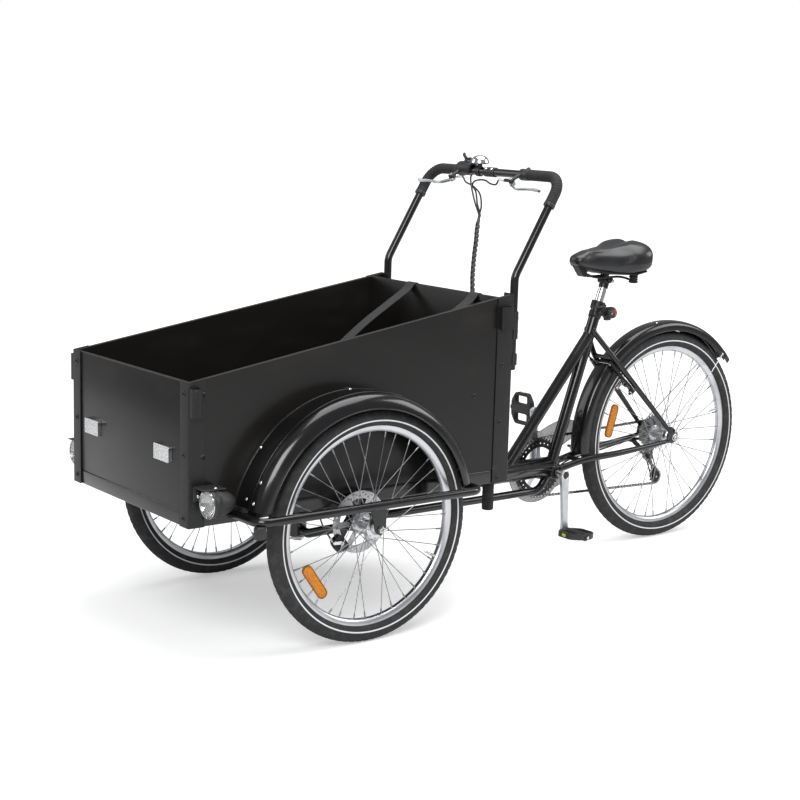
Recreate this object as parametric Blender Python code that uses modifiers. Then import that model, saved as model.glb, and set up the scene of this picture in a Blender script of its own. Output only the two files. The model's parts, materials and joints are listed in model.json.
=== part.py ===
"""Box cargo tricycle: a plywood box on two steered front wheels, a frame with one driven rear wheel.

Metres, +Z up. +X is the rider's left, +Y points backwards, and the tyres stand on z = 0.
Places are written as spot(x, y, z), with y counted backwards from the front axle.
"""

import math

import bmesh
import bpy
import numpy as np
from mathutils import Matrix, Vector

# Overall layout
WHEELBASE = 1.395
TRACK = 0.720
BOX_WIDTH = 0.593
BOX_LENGTH = 0.951
BOX_OVERHANG = 0.478
BOX_BASE_Z = 0.337
FRONT_WALL = 0.346
TOP_SLOPE = 0.1628
POST_DEPTH = 0.035
KINGPIN_SETBACK = 0.030

# Clearances
GAP = 0.0003
RUNNING = 0.0005

# Wheels
SEGMENTS = 24
FRONT_TYRE_R = 0.300
FRONT_BEAD_R = 0.2535
FRONT_TYRE_W = 0.047
REAR_TYRE_R = 0.330
REAR_BEAD_R = 0.2795
REAR_TYRE_W = 0.050
RIM_W = 0.025
RIM_WALL = 0.002
RIM_FLANGE = 0.006
RIM_DEPTH = 0.0155
SPOKES = 28
SPOKE_R = 0.0012
AXLE_R = 0.0048
NUT_R = 0.0095
NUT_T = 0.0075
FRONT_HUB_HALF = 0.048
FRONT_FLANGE_X = 0.029
FRONT_FLANGE_R = 0.029
REAR_HUB_HALF = 0.0625
REAR_FLANGE_R = 0.024
ROTOR_R = 0.080
ROTOR_T = 0.002
ROTOR_INSET = 0.0075
REFLECTOR_LENGTH = 0.104

# Box and carrier
PLY = 0.012
ANGLE_T = 0.0025
FRONT_POST_SIDE_LEG = 0.044
FRONT_POST_FRONT_LEG = 0.041
REAR_POST_SIDE_LEG = 0.0545
REAR_POST_BACK_LEG = 0.041
BASE_RAIL_H = 0.036
BASE_RAIL_W = 0.022
CROSS_H = 0.024
RAIL_R = 0.011
RAIL_Z = 0.362
RAIL_FRONT = 0.361
RAIL_REAR = 0.310
RAIL_BEND = 0.028
DROPOUT_T = 0.005
BRACE_R = 0.0125
BRACE_Z = 0.203
KINGPIN_R = 0.012
LAMP_R = 0.035

# Push bar
BAR_R = 0.011
BAR_INSET = 0.0165
BAR_FOOT_Z = 0.640
BAR_KNEE_Z = 0.887
BAR_TOP_Z = 1.147
BAR_LEAN = 0.599
GRIP_R = 0.0155
GRIP_LEG = 0.040

# Rear frame
BEAM_R = 0.030
BEAM_Z = 0.274
TRUSS_R = 0.0115
TRUSS_Z = 0.2045
HEAD_R = 0.031
HEAD_TOP = 0.3115
HEAD_BOTTOM = 0.237
SHELL_R = 0.021
SHELL_HALF = 0.034
CRANK_Z = 0.261
STAY_REACH = 0.463
SEAT_TUBE_R = 0.017
SEAT_TUBE_LENGTH = 0.528
SEAT_LEAN = 0.326
SEAT_POST_R = 0.0133
DOWN_TUBE_FOOT = 0.176
DOWN_TUBE_MEET = 0.426
CHAIN_STAY_R = 0.010
SEAT_STAY_R = 0.0085
FENDER_R = 0.360
FENDER_T = 0.0012

# Drive
CHAIN_PITCH = 0.0127
CHAIN_X = -0.047
RING_TEETH = 44
COG_TEETH = 18
PULLEY_TEETH = 11
CASSETTE = (28, 24, 22, 20, 18, 16, 14)
COG_SPACING = 0.005
COG_T = 0.0018
CASSETTE_START = CHAIN_X + CASSETTE.index(COG_TEETH) * COG_SPACING + COG_T / 2 + 0.0002
CAGE_LENGTH = 0.090
GUIDE_DROP = 0.068
GUIDE_BACK = 0.004
CRANK_LENGTH = 0.170

FLAT = math.cos(math.pi / SEGMENTS)
FRONT_Y = (BOX_OVERHANG + 0.008 - WHEELBASE - REAR_TYRE_R * FLAT) / 2
FRONT_AXLE_Z = FRONT_TYRE_R * FLAT
REAR_AXLE_Z = REAR_TYRE_R * FLAT
BOX_FRONT = -BOX_OVERHANG
BOX_REAR = BOX_LENGTH - BOX_OVERHANG
POST_BACK = BOX_REAR + POST_DEPTH
BOX_SIDE = BOX_WIDTH / 2
PANEL_SIDE = BOX_SIDE - ANGLE_T - GAP
CRANK_Y = WHEELBASE - STAY_REACH
WHEEL_X = TRACK / 2
RAIL_X = WHEEL_X + FRONT_HUB_HALF + RUNNING + DROPOUT_T + RAIL_R - 0.003
ROTOR_X = WHEEL_X - FRONT_HUB_HALF + ROTOR_INSET
BAR_X = BOX_SIDE - BAR_INSET
BAR_Y = POST_BACK + BAR_R + 0.0008


# Collections, materials and placing

for old in list(bpy.data.objects):
    bpy.data.objects.remove(old, do_unlink=True)

parts = bpy.data.collections.new("cargo_tricycle")
cutters = bpy.data.collections.new("cutters")
bpy.context.scene.collection.children.link(parts)
bpy.context.scene.collection.children.link(cutters)
cutters.hide_render = True

FINISHES = {
    "gloss_black_paint": ((0.012, 0.012, 0.013), 0.22, 0.0),
    "black_ply": ((0.016, 0.015, 0.015), 0.30, 0.0),
    "satin_black_steel": ((0.020, 0.020, 0.021), 0.42, 0.0),
    "black_plastic": ((0.025, 0.025, 0.026), 0.50, 0.0),
    "black_rubber": ((0.022, 0.022, 0.023), 0.85, 0.0),
    "tyre_rubber": ((0.028, 0.028, 0.030), 0.80, 0.0),
    "saddle_cover": ((0.020, 0.020, 0.021), 0.45, 0.0),
    "webbing": ((0.060, 0.060, 0.062), 0.90, 0.0),
    "rim_alloy": ((0.62, 0.63, 0.65), 0.30, 1.0),
    "bright_steel": ((0.66, 0.66, 0.67), 0.25, 1.0),
    "crank_alloy": ((0.58, 0.59, 0.61), 0.35, 1.0),
    "chrome": ((0.80, 0.80, 0.81), 0.12, 1.0),
    "chain_steel": ((0.30, 0.29, 0.27), 0.40, 1.0),
    "smoke_plastic": ((0.34, 0.33, 0.32), 0.35, 0.0),
    "lamp_housing": ((0.10, 0.10, 0.10), 0.35, 0.2),
    "red_lens": ((0.45, 0.01, 0.01), 0.20, 0.0),
    "cable_black": ((0.015, 0.015, 0.016), 0.45, 0.0),
}


def finish(name):
    """The Principled material of this name, made once from its colour, roughness and metallic value."""
    found = bpy.data.materials.get(name)
    if found:
        return found
    colour, roughness, metallic = FINISHES[name]
    made = bpy.data.materials.new(name)
    made.use_nodes = True
    shader = made.node_tree.nodes["Principled BSDF"]
    shader.inputs["Base Color"].default_value = (*colour, 1.0)
    shader.inputs["Roughness"].default_value = roughness
    shader.inputs["Metallic"].default_value = metallic
    made.diffuse_color = (*colour, 1.0)
    return made


def spot(x, y, z):
    """A point given by its distance left of the middle, behind the front axle and above the floor."""
    return Vector((x, FRONT_Y + y, z))


def pivot(name, where, parent=None):
    """An empty on a joint's axis, which carries the pieces that turn or slide there."""
    empty = bpy.data.objects.new(name, None)
    empty.empty_display_size = 0.03
    parts.objects.link(empty)
    empty.parent = parent
    empty.location = where - Vector(parent["place"]) if parent else where
    empty["place"] = tuple(where)
    return empty


def keep(name, piece, material, carrier, smooth_angle=35.0):
    """Puts a finished solid into the parts collection, with its origin on its carrier's axis."""
    mesh = piece.data
    mesh.transform(Matrix.Translation(-Vector(carrier["place"])))
    mesh.name = name
    mesh.materials.clear()
    mesh.materials.append(finish(material))
    mesh.shade_smooth()
    mesh.set_sharp_from_angle(angle=math.radians(smooth_angle))
    cutters.objects.unlink(piece)
    parts.objects.link(piece)
    piece.name = name
    piece.hide_render = False
    piece.display_type = "TEXTURED"
    piece.parent = carrier
    return piece


# Shapes

def loose(mesh):
    """A work piece in the cutters collection, in world coordinates."""
    piece = bpy.data.objects.new("work", mesh)
    piece.hide_render = True
    piece.display_type = "WIRE"
    cutters.objects.link(piece)
    return piece


def from_bmesh(shape):
    mesh = bpy.data.meshes.new("work")
    shape.to_mesh(mesh)
    shape.free()
    return loose(mesh)


def solidified(piece):
    """The evaluated mesh of a work piece, welded and facing outwards, in place of the piece."""
    bpy.context.view_layer.update()
    graph = bpy.context.evaluated_depsgraph_get()
    mesh = bpy.data.meshes.new_from_object(piece.evaluated_get(graph), depsgraph=graph)
    mesh.transform(piece.matrix_world)
    bpy.data.objects.remove(piece, do_unlink=True)
    shape = bmesh.new()
    shape.from_mesh(mesh)
    bmesh.ops.remove_doubles(shape, verts=shape.verts, dist=2e-6)
    bmesh.ops.recalc_face_normals(shape, faces=shape.faces)
    shape.to_mesh(mesh)
    shape.free()
    return loose(mesh)


def moved(piece, matrix):
    piece.data.transform(matrix)
    if matrix.determinant() < 0:
        piece.data.flip_normals()
    return piece


def mirrored(piece):
    """A copy of a work piece on the other side of the bike."""
    return moved(loose(piece.data.copy()), Matrix.Scale(-1, 4, (1, 0, 0)))


def box(low, high, bevel=0.0):
    """A block between two corners, with its edges bevelled."""
    low = Vector(low)
    high = Vector(high)
    shape = bmesh.new()
    bmesh.ops.create_cube(shape, size=1.0)
    bmesh.ops.scale(shape, verts=shape.verts, vec=high - low)
    bmesh.ops.translate(shape, verts=shape.verts, vec=(low + high) / 2)
    if bevel:
        bmesh.ops.bevel(shape, geom=shape.edges, offset=bevel, segments=1, affect="EDGES")
    return from_bmesh(shape)


def rod(start, end, radius, sides=8, end_radius=None, turn=0.0):
    """A straight round bar, tapered where an end radius is given."""
    start = Vector(start)
    end = Vector(end)
    along = end - start
    shape = bmesh.new()
    bmesh.ops.create_cone(
        shape, cap_ends=True, segments=sides, radius1=radius,
        radius2=radius if end_radius is None else end_radius, depth=along.length,
    )
    piece = from_bmesh(shape)
    facing = along.to_track_quat("Z", "Y").to_matrix().to_4x4()
    place = Matrix.Translation((start + end) / 2) @ facing @ Matrix.Rotation(turn, 4, "Z")
    return moved(piece, place)


def sphere(centre, radius, across=10, down=6):
    shape = bmesh.new()
    bmesh.ops.create_uvsphere(shape, u_segments=across, v_segments=down, radius=radius)
    return moved(from_bmesh(shape), Matrix.Translation(centre))


def rounded(points, radius, steps=4):
    """The path through these points with each inner corner replaced by an arc of this radius."""
    points = [Vector(p) for p in points]
    path = [points[0]]
    for before, corner, after in zip(points, points[1:], points[2:]):
        inward = (before - corner).normalized()
        outward = (after - corner).normalized()
        half = inward.angle(outward) / 2
        back = radius / math.tan(half)
        centre = corner + (inward + outward).normalized() * radius / math.sin(half)
        first = corner + inward * back - centre
        last = corner + outward * back - centre
        swing = first.angle(last)
        for step in range(steps + 1):
            part = step / steps
            place = first * math.sin((1 - part) * swing) + last * math.sin(part * swing)
            path.append(centre + place / math.sin(swing))
    path.append(points[-1])
    return path


def smooth(points, count):
    """Points at even parameter steps on a Catmull-Rom curve through the given points."""
    p = np.array([tuple(v) for v in points])
    p = np.vstack([2 * p[0] - p[1], p, 2 * p[-1] - p[-2]])
    t = np.linspace(0, len(p) - 3 - 1e-9, count)
    i = t.astype(int)
    f = (t - i)[:, None]
    a, b, c, d = p[i], p[i + 1], p[i + 2], p[i + 3]
    line = b + 0.5 * f * (c - a + f * (2 * a - 5 * b + 4 * c - d + f * (3 * (b - c) + d - a)))
    return [Vector(v) for v in line]


def curve_piece(points, radius, resolution, capped, radii=None):
    curve = bpy.data.curves.new("work", "CURVE")
    curve.dimensions = "3D"
    curve.bevel_depth = radius
    curve.bevel_resolution = resolution
    curve.use_fill_caps = capped
    spline = curve.splines.new("POLY")
    spline.points.add(len(points) - 1)
    for index, place in enumerate(points):
        spline.points[index].co = (*place, 1.0)
        spline.points[index].radius = radii[index] if radii else 1.0
    return loose(curve)


def tube(points, radius, resolution=2, radii=None):
    """A closed round tube along a path."""
    return solidified(curve_piece(points, radius, resolution, True, radii))


def pipe(points, radius, wall, resolution=2):
    """A tube along a path with an open bore, whose wall goes inwards."""
    piece = curve_piece(points, radius, resolution, False)
    bpy.context.view_layer.update()
    graph = bpy.context.evaluated_depsgraph_get()
    mesh = bpy.data.meshes.new_from_object(piece.evaluated_get(graph), depsgraph=graph)
    bpy.data.objects.remove(piece, do_unlink=True)
    return solidify(loose(mesh), wall, -1.0)


def solidify(piece, wall, offset):
    """A wall of even thickness on an open surface."""
    modifier = piece.modifiers.new("wall", "SOLIDIFY")
    modifier.thickness = wall
    modifier.offset = offset
    modifier.use_even_offset = True
    return solidified(piece)


FACING = {
    "X": Matrix(((0, 0, 1, 0), (1, 0, 0, 0), (0, 1, 0, 0), (0, 0, 0, 1))),
    "Y": Matrix(((1, 0, 0, 0), (0, 0, -1, 0), (0, 1, 0, 0), (0, 0, 0, 1))),
    "Z": Matrix.Identity(4),
}


def plate(outlines, thickness, facing, offset):
    """Flat outlines, the first cut by the others, filled and extruded about a plane square to an axis.

    Facing X takes (y, z) points, facing Y takes (x, z) and facing Z takes (x, y).
    """
    curve = bpy.data.curves.new("work", "CURVE")
    curve.dimensions = "2D"
    curve.fill_mode = "BOTH"
    curve.extrude = thickness / 2
    for outline in outlines:
        spline = curve.splines.new("POLY")
        spline.points.add(len(outline) - 1)
        for point, (u, v) in zip(spline.points, outline):
            point.co = (u, v, 0.0, 1.0)
        spline.use_cyclic_u = True
    piece = solidified(loose(curve))
    shift = {"X": (offset, 0, 0), "Y": (0, offset, 0), "Z": (0, 0, offset)}[facing]
    return moved(piece, Matrix.Translation(shift) @ FACING[facing])


def turned(profile, steps, centre, axis="Z", half_step=True):
    """A closed outline of (radius, height) points turned round an axis through its centre."""
    count = len(profile)
    mesh = bpy.data.meshes.new("work")
    mesh.from_pydata(
        [(radius, 0.0, height) for radius, height in profile],
        [(i, (i + 1) % count) for i in range(count)],
        [],
    )
    piece = loose(mesh)
    modifier = piece.modifiers.new("turn", "SCREW")
    modifier.steps = steps
    modifier.render_steps = steps
    modifier.use_merge_vertices = True
    modifier.merge_threshold = 1e-5
    piece = solidified(piece)
    facing = {"X": Matrix.Rotation(math.pi / 2, 4, "Y"), "Z": Matrix.Identity(4)}
    facing["Y"] = Matrix.Rotation(-math.pi / 2, 4, "X")
    half = Matrix.Rotation(math.pi / steps if half_step else 0.0, 4, "Z")
    return moved(piece, Matrix.Translation(centre) @ facing[axis] @ half)


def joined(first, *others):
    """One body from pieces that overlap."""
    for other in others:
        modifier = first.modifiers.new("join", "BOOLEAN")
        modifier.operation = "UNION"
        modifier.object = other
    made = solidified(first)
    for other in others:
        bpy.data.objects.remove(other, do_unlink=True)
    return made


def cut(first, *tools):
    """A piece with the shapes of its tools taken away."""
    for tool in tools:
        modifier = first.modifiers.new("cut", "BOOLEAN")
        modifier.operation = "DIFFERENCE"
        modifier.object = tool
    made = solidified(first)
    for tool in tools:
        bpy.data.objects.remove(tool, do_unlink=True)
    return made


def gathered(pieces):
    """Separate pieces in one mesh, as one tool for a join."""
    shape = bmesh.new()
    for piece in pieces:
        shape.from_mesh(piece.data)
        bpy.data.objects.remove(piece, do_unlink=True)
    return from_bmesh(shape)


def nut(centre, axis_end, radius=NUT_R):
    return rod(centre, axis_end, radius, 6)


# Wheels

def tyre(centre, outer, bead, width):
    seat = RIM_W / 2 - RIM_WALL - RUNNING
    half = [
        (outer, 0.22 * width), (outer - 0.016, 0.5 * width), (bead + RIM_FLANGE + RUNNING, RIM_W / 2 - RUNNING),
        (bead + GAP, seat),
    ]
    other = [(radius, -x) for radius, x in reversed(half)]
    return turned(half + other, SEGMENTS, centre, "X")


def rim(centre, bead):
    """Box-section rim whose two flanges lean out from the tyre's seat."""
    side = RIM_W / 2
    half = [(bead - RIM_DEPTH, 0.24 * RIM_W), (bead + RIM_FLANGE, side), (bead, side - RIM_WALL)]
    other = [(radius, -x) for radius, x in reversed(half)]
    return turned(half + other, SEGMENTS, centre, "X")


def spokes(centre, flange_x, flange_r, reach):
    """Crossed spokes from two flanges, leading and trailing ones offset so that crossings stay apart."""
    made = []
    for index in range(SPOKES):
        side = 1 if index % 2 == 0 else -1
        lead = 1 if (index // 2) % 2 == 0 else -1
        rim_angle = 2 * math.pi * index / SPOKES
        hub_angle = rim_angle + lead * math.radians(62)
        out = side * flange_x + lead * 0.0022
        start = Vector((out, (flange_r - 0.0035) * math.cos(hub_angle), (flange_r - 0.0035) * math.sin(hub_angle)))
        end = Vector((side * 0.0045 + lead * 0.0011, reach * math.cos(rim_angle), reach * math.sin(rim_angle)))
        made.append(rod(centre + start, centre + end, SPOKE_R, 3))
    return gathered(made)


def reflector(centre, angle, distance, x):
    """A wheel reflector clipped across the spokes of one flange, long side along the rim."""
    half = Vector((0.004, REFLECTOR_LENGTH / 2, 0.014))
    middle = Vector((x, 0, 0))
    piece = box(middle - half, middle + half, 0.003)
    turn = Matrix.Rotation(math.radians(angle), 4, "X")
    return moved(piece, Matrix.Translation(centre) @ turn @ Matrix.Translation((0, 0, distance)))


def front_wheel(side, carrier, centre, reflector_angle):
    """Tyre, rim, and hub with spokes, rotor and reflector, for one side of the carrier."""
    name = "front_left" if side > 0 else "front_right"
    keep(name + "_tyre", tyre(centre, FRONT_TYRE_R, FRONT_BEAD_R, FRONT_TYRE_W), "tyre_rubber", carrier)
    keep(name + "_rim", rim(centre, FRONT_BEAD_R), "rim_alloy", carrier)
    end = FRONT_HUB_HALF
    flange = FRONT_FLANGE_X
    bore = AXLE_R + RUNNING + 0.0003
    rotor_x = side * (ROTOR_X - WHEEL_X)
    shell = turned(
        [
            (bore, -end), (0.011, -end), (FRONT_FLANGE_R, -flange - 0.003), (FRONT_FLANGE_R, -flange + 0.003),
            (0.012, -flange + 0.010), (0.012, flange - 0.010), (FRONT_FLANGE_R, flange - 0.003),
            (FRONT_FLANGE_R, flange + 0.003), (0.011, end), (bore, end),
        ],
        12, centre, "X",
    )
    reach = (FRONT_BEAD_R - RIM_DEPTH) * FLAT - GAP - 0.0004
    disc = rotor(centre + Vector((rotor_x, 0, 0)))
    sign = reflector(centre, reflector_angle, reach - 0.030, side * 0.0115)
    hub = joined(shell, spokes(centre, flange, FRONT_FLANGE_R, reach), disc, sign)
    keep(name + "_hub", hub, "bright_steel", carrier)


def ring(radius, count, turn=0.0):
    """Even points round a circle."""
    angles = [turn + 2 * math.pi * i / count for i in range(count)]
    return [(radius * math.cos(a), radius * math.sin(a)) for a in angles]


def shifted(outline, u, v):
    return [(a + u, b + v) for a, b in outline]


def rotor(centre):
    """Brake rotor: a hub ring, five arms and the braking ring."""
    windows = []
    for index in range(5):
        turn = 2 * math.pi * index / 5
        points = [(0.0225, 0.30), (0.0225, 1.00), (0.0580, 1.06), (0.0580, 0.10)]
        windows.append([(r * math.cos(turn + a), r * math.sin(turn + a)) for r, a in points])
    outlines = [ring(ROTOR_R, 16), ring(0.0085, 6)] + windows
    outlines = [shifted(line, centre.y, centre.z) for line in outlines]
    return plate(outlines, ROTOR_T, "X", centre.x)


# Toothed wheels and chain

def pitch_radius(teeth):
    return CHAIN_PITCH / 2 / math.sin(math.pi / teeth)


ROLLER_HALF = 0.0025
PLATE_HALF = 0.0040
CHAIN_INNER = 0.0014
TOOTH_REACH = 2
CHAIN_WIDE = 0.0031
CHAIN_NARROW = 0.0024


def toothed_outline(teeth, phase):
    """Teeth that stand between the rollers; the phase is the angle of one roller."""
    radius = pitch_radius(teeth)
    valley = radius - PLATE_HALF - 0.0004
    base = (2 * math.pi * valley / teeth - 2 * ROLLER_HALF - 0.0012) / 2
    points = []
    for index in range(teeth):
        middle = phase + 2 * math.pi * (index + 0.5) / teeth
        for size, half in ((valley, -base), (radius + 0.0034, 0.0), (valley, base)):
            angle = middle + half / size
            points.append((size * math.cos(angle), size * math.sin(angle)))
    return points


def plain_toothed_outline(teeth, phase):
    """A cog that the chain isn't on, with one point for each tooth and each valley."""
    radius = pitch_radius(teeth)
    points = []
    for index in range(teeth):
        angle = phase + 2 * math.pi * index / teeth
        step = math.pi / teeth
        points.append(((radius - 0.0036) * math.cos(angle), (radius - 0.0036) * math.sin(angle)))
        points.append(((radius + 0.0022) * math.cos(angle + step), (radius + 0.0022) * math.sin(angle + step)))
    return points


def tangent(c1, r1, c2, r2):
    """Ends of the straight run that leaves circle 1 and joins circle 2.

    A positive radius is passed with the circle on the left of the run, a negative one on the right.
    """
    along = c2 - c1
    distance = along.length
    direction = math.atan2(along.y, along.x)
    heading = direction - math.asin((r2 - r1) / distance)
    left = Vector((-math.sin(heading), math.cos(heading)))
    return c1 - left * r1, c2 - left * r2, heading


def chain_layout(cage_angle):
    """Centres, signed radii and runs of the four toothed wheels in (y, z), and the path's length in links."""
    crank = Vector((CRANK_Y, CRANK_Z))
    rear = Vector((WHEELBASE, REAR_AXLE_Z))
    guide = rear + Vector((GUIDE_BACK, -GUIDE_DROP))
    lower = guide + CAGE_LENGTH * Vector((math.sin(cage_angle), -math.cos(cage_angle)))
    wheels = [
        (crank, RING_TEETH, 1), (lower, PULLEY_TEETH, 1), (guide, PULLEY_TEETH, -1), (rear, COG_TEETH, 1),
    ]
    runs = []
    for (c1, t1, s1), (c2, t2, s2) in zip(wheels, wheels[1:] + wheels[:1]):
        runs.append(tangent(c1, s1 * pitch_radius(t1), c2, s2 * pitch_radius(t2)))
    links = 0.0
    wraps = []
    for index, (centre, teeth, sign) in enumerate(wheels):
        arrive = runs[index - 1][2]
        leave = runs[index][2]
        wrap = (sign * (leave - arrive)) % (2 * math.pi)
        wraps.append(wrap)
        links += wrap * teeth / (2 * math.pi)
        links += (runs[index][1] - runs[index][0]).length / CHAIN_PITCH
    return wheels, runs, wraps, links


def settled_cage():
    """The cage angle at which the chain has a whole, even number of links."""
    low = math.radians(8)
    high = math.radians(60)
    wanted = 2 * round(chain_layout(math.radians(24))[3] / 2)
    for _ in range(60):
        middle = (low + high) / 2
        if (chain_layout(middle)[3] < wanted) == (chain_layout(low)[3] < wanted):
            low = middle
        else:
            high = middle
    return (low + high) / 2, wanted


def chain_path():
    """Rollers as (place in (y, z), heading, near teeth), and the roller phase of each toothed wheel."""
    angle, count = settled_cage()
    wheels, runs, wraps, _ = chain_layout(angle)
    stretches = []
    start = 0.0
    phases = []
    for index, (centre, teeth, sign) in enumerate(wheels):
        arrive = runs[index - 1][2]
        turn = wraps[index] * teeth / (2 * math.pi)
        stretches.append((start, start + turn, "arc", index, arrive))
        first = math.ceil(start - 1e-9)
        swing = arrive + sign * (first - start) * 2 * math.pi / teeth
        radius_angle = swing - sign * math.pi / 2
        phases.append(radius_angle)
        start += turn
        straight = (runs[index][1] - runs[index][0]).length / CHAIN_PITCH
        stretches.append((start, start + straight, "run", index, runs[index][2]))
        start += straight

    def place(position):
        position %= count
        for begin, end, kind, index, heading in stretches:
            if position <= end + 1e-9:
                break
        if kind == "run":
            way = Vector((math.cos(heading), math.sin(heading)))
            return runs[index][0] + way * (position - begin) * CHAIN_PITCH, heading, False
        centre, teeth, sign = wheels[index]
        swing = heading + sign * (position - begin) * 2 * math.pi / teeth
        radius = sign * pitch_radius(teeth)
        return centre + radius * Vector((math.sin(swing), -math.cos(swing))), swing, True

    places = [place(i) for i in range(int(count))]
    rollers = []
    for index, (centre, heading, _) in enumerate(places):
        near = range(index - TOOTH_REACH, index + TOOTH_REACH + 1)
        rollers.append((centre, heading, any(places[other % len(places)][2] for other in near)))
    return rollers, phases, wheels, angle


def fused_runs(rollers):
    """The rollers without each second pair of the straight runs, where one bar then stands for three links."""
    return [roller for index, roller in enumerate(rollers) if roller[2] or index % 8 in (0, 1)]


def chain_links(rollers):
    """The chain: a block at each roller, with two plates between blocks where the chain lies on teeth.

    Between blocks of the straight runs the plates are one solid, as no tooth enters there. Links are
    alternately wide and narrow.
    """
    rollers = fused_runs(rollers)
    count = len(rollers)
    shape = bmesh.new()

    def station(place, chord, width, split):
        """Corners right of the path, then left, each from outside to inside where plates part."""
        up = Vector((-chord.y, chord.x)) * PLATE_HALF
        outs = (width, CHAIN_INNER, -CHAIN_INNER, -width) if split else (width, -width)
        return [
            [shape.verts.new((CHAIN_X + out, FRONT_Y + (place + side * up).x, (place + side * up).y)) for out in outs]
            for side in (1, -1)
        ]

    ends = []
    for index, (place, _, wrapped) in enumerate(rollers):
        for way, link in ((-1, (index - 1) % count), (1, index)):
            other = rollers[(index + way) % count][0]
            chord = (other - place).normalized()
            width = CHAIN_WIDE if link % 2 == 0 else CHAIN_NARROW
            split = wrapped or rollers[(index + way) % count][2]
            ends.append((station(place + chord * ROLLER_HALF, chord * way, width, split), split))
    for index in range(count):
        (a, a_split), (b, b_split) = ends[2 * index], ends[2 * index + 1]
        for level in (0, 1):
            shape.faces.new(a[level] + b[level][::-1])
        shape.faces.new((a[0][0], a[1][0], b[1][0], b[0][0]))
        shape.faces.new((a[0][-1], b[0][-1], b[1][-1], a[1][-1]))
        for corners, split in ((a, a_split), (b, b_split)):
            if split:
                shape.faces.new((corners[0][1], corners[0][2], corners[1][2], corners[1][1]))
        c = ends[(2 * index + 2) % (2 * count)][0]
        sides = ((0, 1), (2, 3)) if b_split else ((0, 1),)
        for first, last in sides:
            loop = ((0, first), (0, last), (1, last), (1, first))
            for (u, m), (v, n) in zip(loop, loop[1:] + loop[:1]):
                shape.faces.new((b[u][m], b[v][n], c[v][n], c[u][m]))
    bmesh.ops.recalc_face_normals(shape, faces=shape.faces)
    return from_bmesh(shape)


def toothed(teeth, phase, centre, bore, thickness, x):
    outlines = [toothed_outline(teeth, phase), ring(bore, 8)]
    outlines = [shifted(line, centre.y, centre.z) for line in outlines]
    return plate(outlines, thickness, "X", x)


# Rear frame

SEAT_DIRECTION = Vector((0, SEAT_LEAN, math.sqrt(1 - SEAT_LEAN ** 2)))
CRANK_SPOT = spot(0, CRANK_Y, CRANK_Z)
REAR_SPOT = spot(0, WHEELBASE, REAR_AXLE_Z)
SEAT_TOP = CRANK_SPOT + SEAT_DIRECTION * SEAT_TUBE_LENGTH
DROPOUT_X = REAR_HUB_HALF + RUNNING + DROPOUT_T / 2
BRAKE_REACH = 0.243
BRAKE_ARM_TOP = 0.374
STAY_WAY = Vector((0, -0.697, 0.717))
BOSS_WAY = Vector((0, 0.717, 0.697))
BRAKE_X = 0.0515


def frame_tubes():
    """The welded rear frame: a head tube, a main beam with a thin truss tube under it, and the rear triangle."""
    head = rod(spot(0, KINGPIN_SETBACK, HEAD_BOTTOM), spot(0, KINGPIN_SETBACK, HEAD_TOP), HEAD_R, 12)
    beam = rod(spot(0, KINGPIN_SETBACK + 0.012, BEAM_Z), spot(0, CRANK_Y - 0.004, BEAM_Z), BEAM_R, 12)
    truss = tube(
        rounded(
            [
                spot(0, 0.150, BEAM_Z - 0.010), spot(0, 0.225, TRUSS_Z),
                spot(0, CRANK_Y - 0.040, TRUSS_Z), spot(0, CRANK_Y, CRANK_Z - 0.004),
            ],
            0.045, 2,
        ),
        TRUSS_R,
    )
    shell = rod(CRANK_SPOT - Vector((SHELL_HALF, 0, 0)), CRANK_SPOT + Vector((SHELL_HALF, 0, 0)), SHELL_R, 12)
    seat = rod(CRANK_SPOT, SEAT_TOP, SEAT_TUBE_R, 10)
    collar = rod(SEAT_TOP - SEAT_DIRECTION * 0.024, SEAT_TOP + SEAT_DIRECTION * 0.001, SEAT_TUBE_R + 0.004, 10)
    down = tube(
        [spot(0, CRANK_Y - DOWN_TUBE_FOOT, BEAM_Z + 0.012), CRANK_SPOT + SEAT_DIRECTION * DOWN_TUBE_MEET],
        SEAT_TUBE_R,
    )
    return [head, beam, truss, shell, seat, collar, down]


def chain_stay(side):
    x = side
    route = [
        spot(x * 0.028, CRANK_Y + 0.012, CRANK_Z + 0.008), spot(x * 0.033, CRANK_Y + 0.098, 0.286),
        spot(x * 0.042, CRANK_Y + 0.155, 0.293), spot(x * 0.052, CRANK_Y + 0.241, 0.299),
        spot(x * (DROPOUT_X - 0.0025), WHEELBASE - 0.052, REAR_AXLE_Z - 0.0125),
        spot(x * DROPOUT_X, WHEELBASE - 0.022, REAR_AXLE_Z - 0.005),
    ]
    return tube(route, CHAIN_STAY_R, 1, [1.0, 1.0, 1.0, 1.0, 0.72, 0.60])


def seat_stay(side):
    top = CRANK_SPOT + SEAT_DIRECTION * (SEAT_TUBE_LENGTH - 0.090)
    near = REAR_SPOT + STAY_WAY * 0.360
    middle = REAR_SPOT + STAY_WAY * BRAKE_REACH
    foot = REAR_SPOT + STAY_WAY * 0.022
    route = [
        top + Vector((side * 0.012, 0, 0)), Vector((side * 0.0445, near.y, near.z)),
        Vector((side * BRAKE_X, middle.y, middle.z)), Vector((side * DROPOUT_X, foot.y, foot.z)),
    ]
    return tube(route, SEAT_STAY_R, 1, [1.0, 1.0, 1.0, 0.68])


def dropout(side):
    """A plate between the ends of the two stays, with the axle through it."""
    outline = [
        (-0.034, -0.014), (-0.006, -0.017), (0.013, -0.010), (0.014, 0.010), (-0.006, 0.030),
        (-0.020, 0.038), (-0.028, 0.018),
    ]
    return plate([shifted(outline, REAR_SPOT.y, REAR_SPOT.z)], DROPOUT_T, "X", side * DROPOUT_X)


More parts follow.
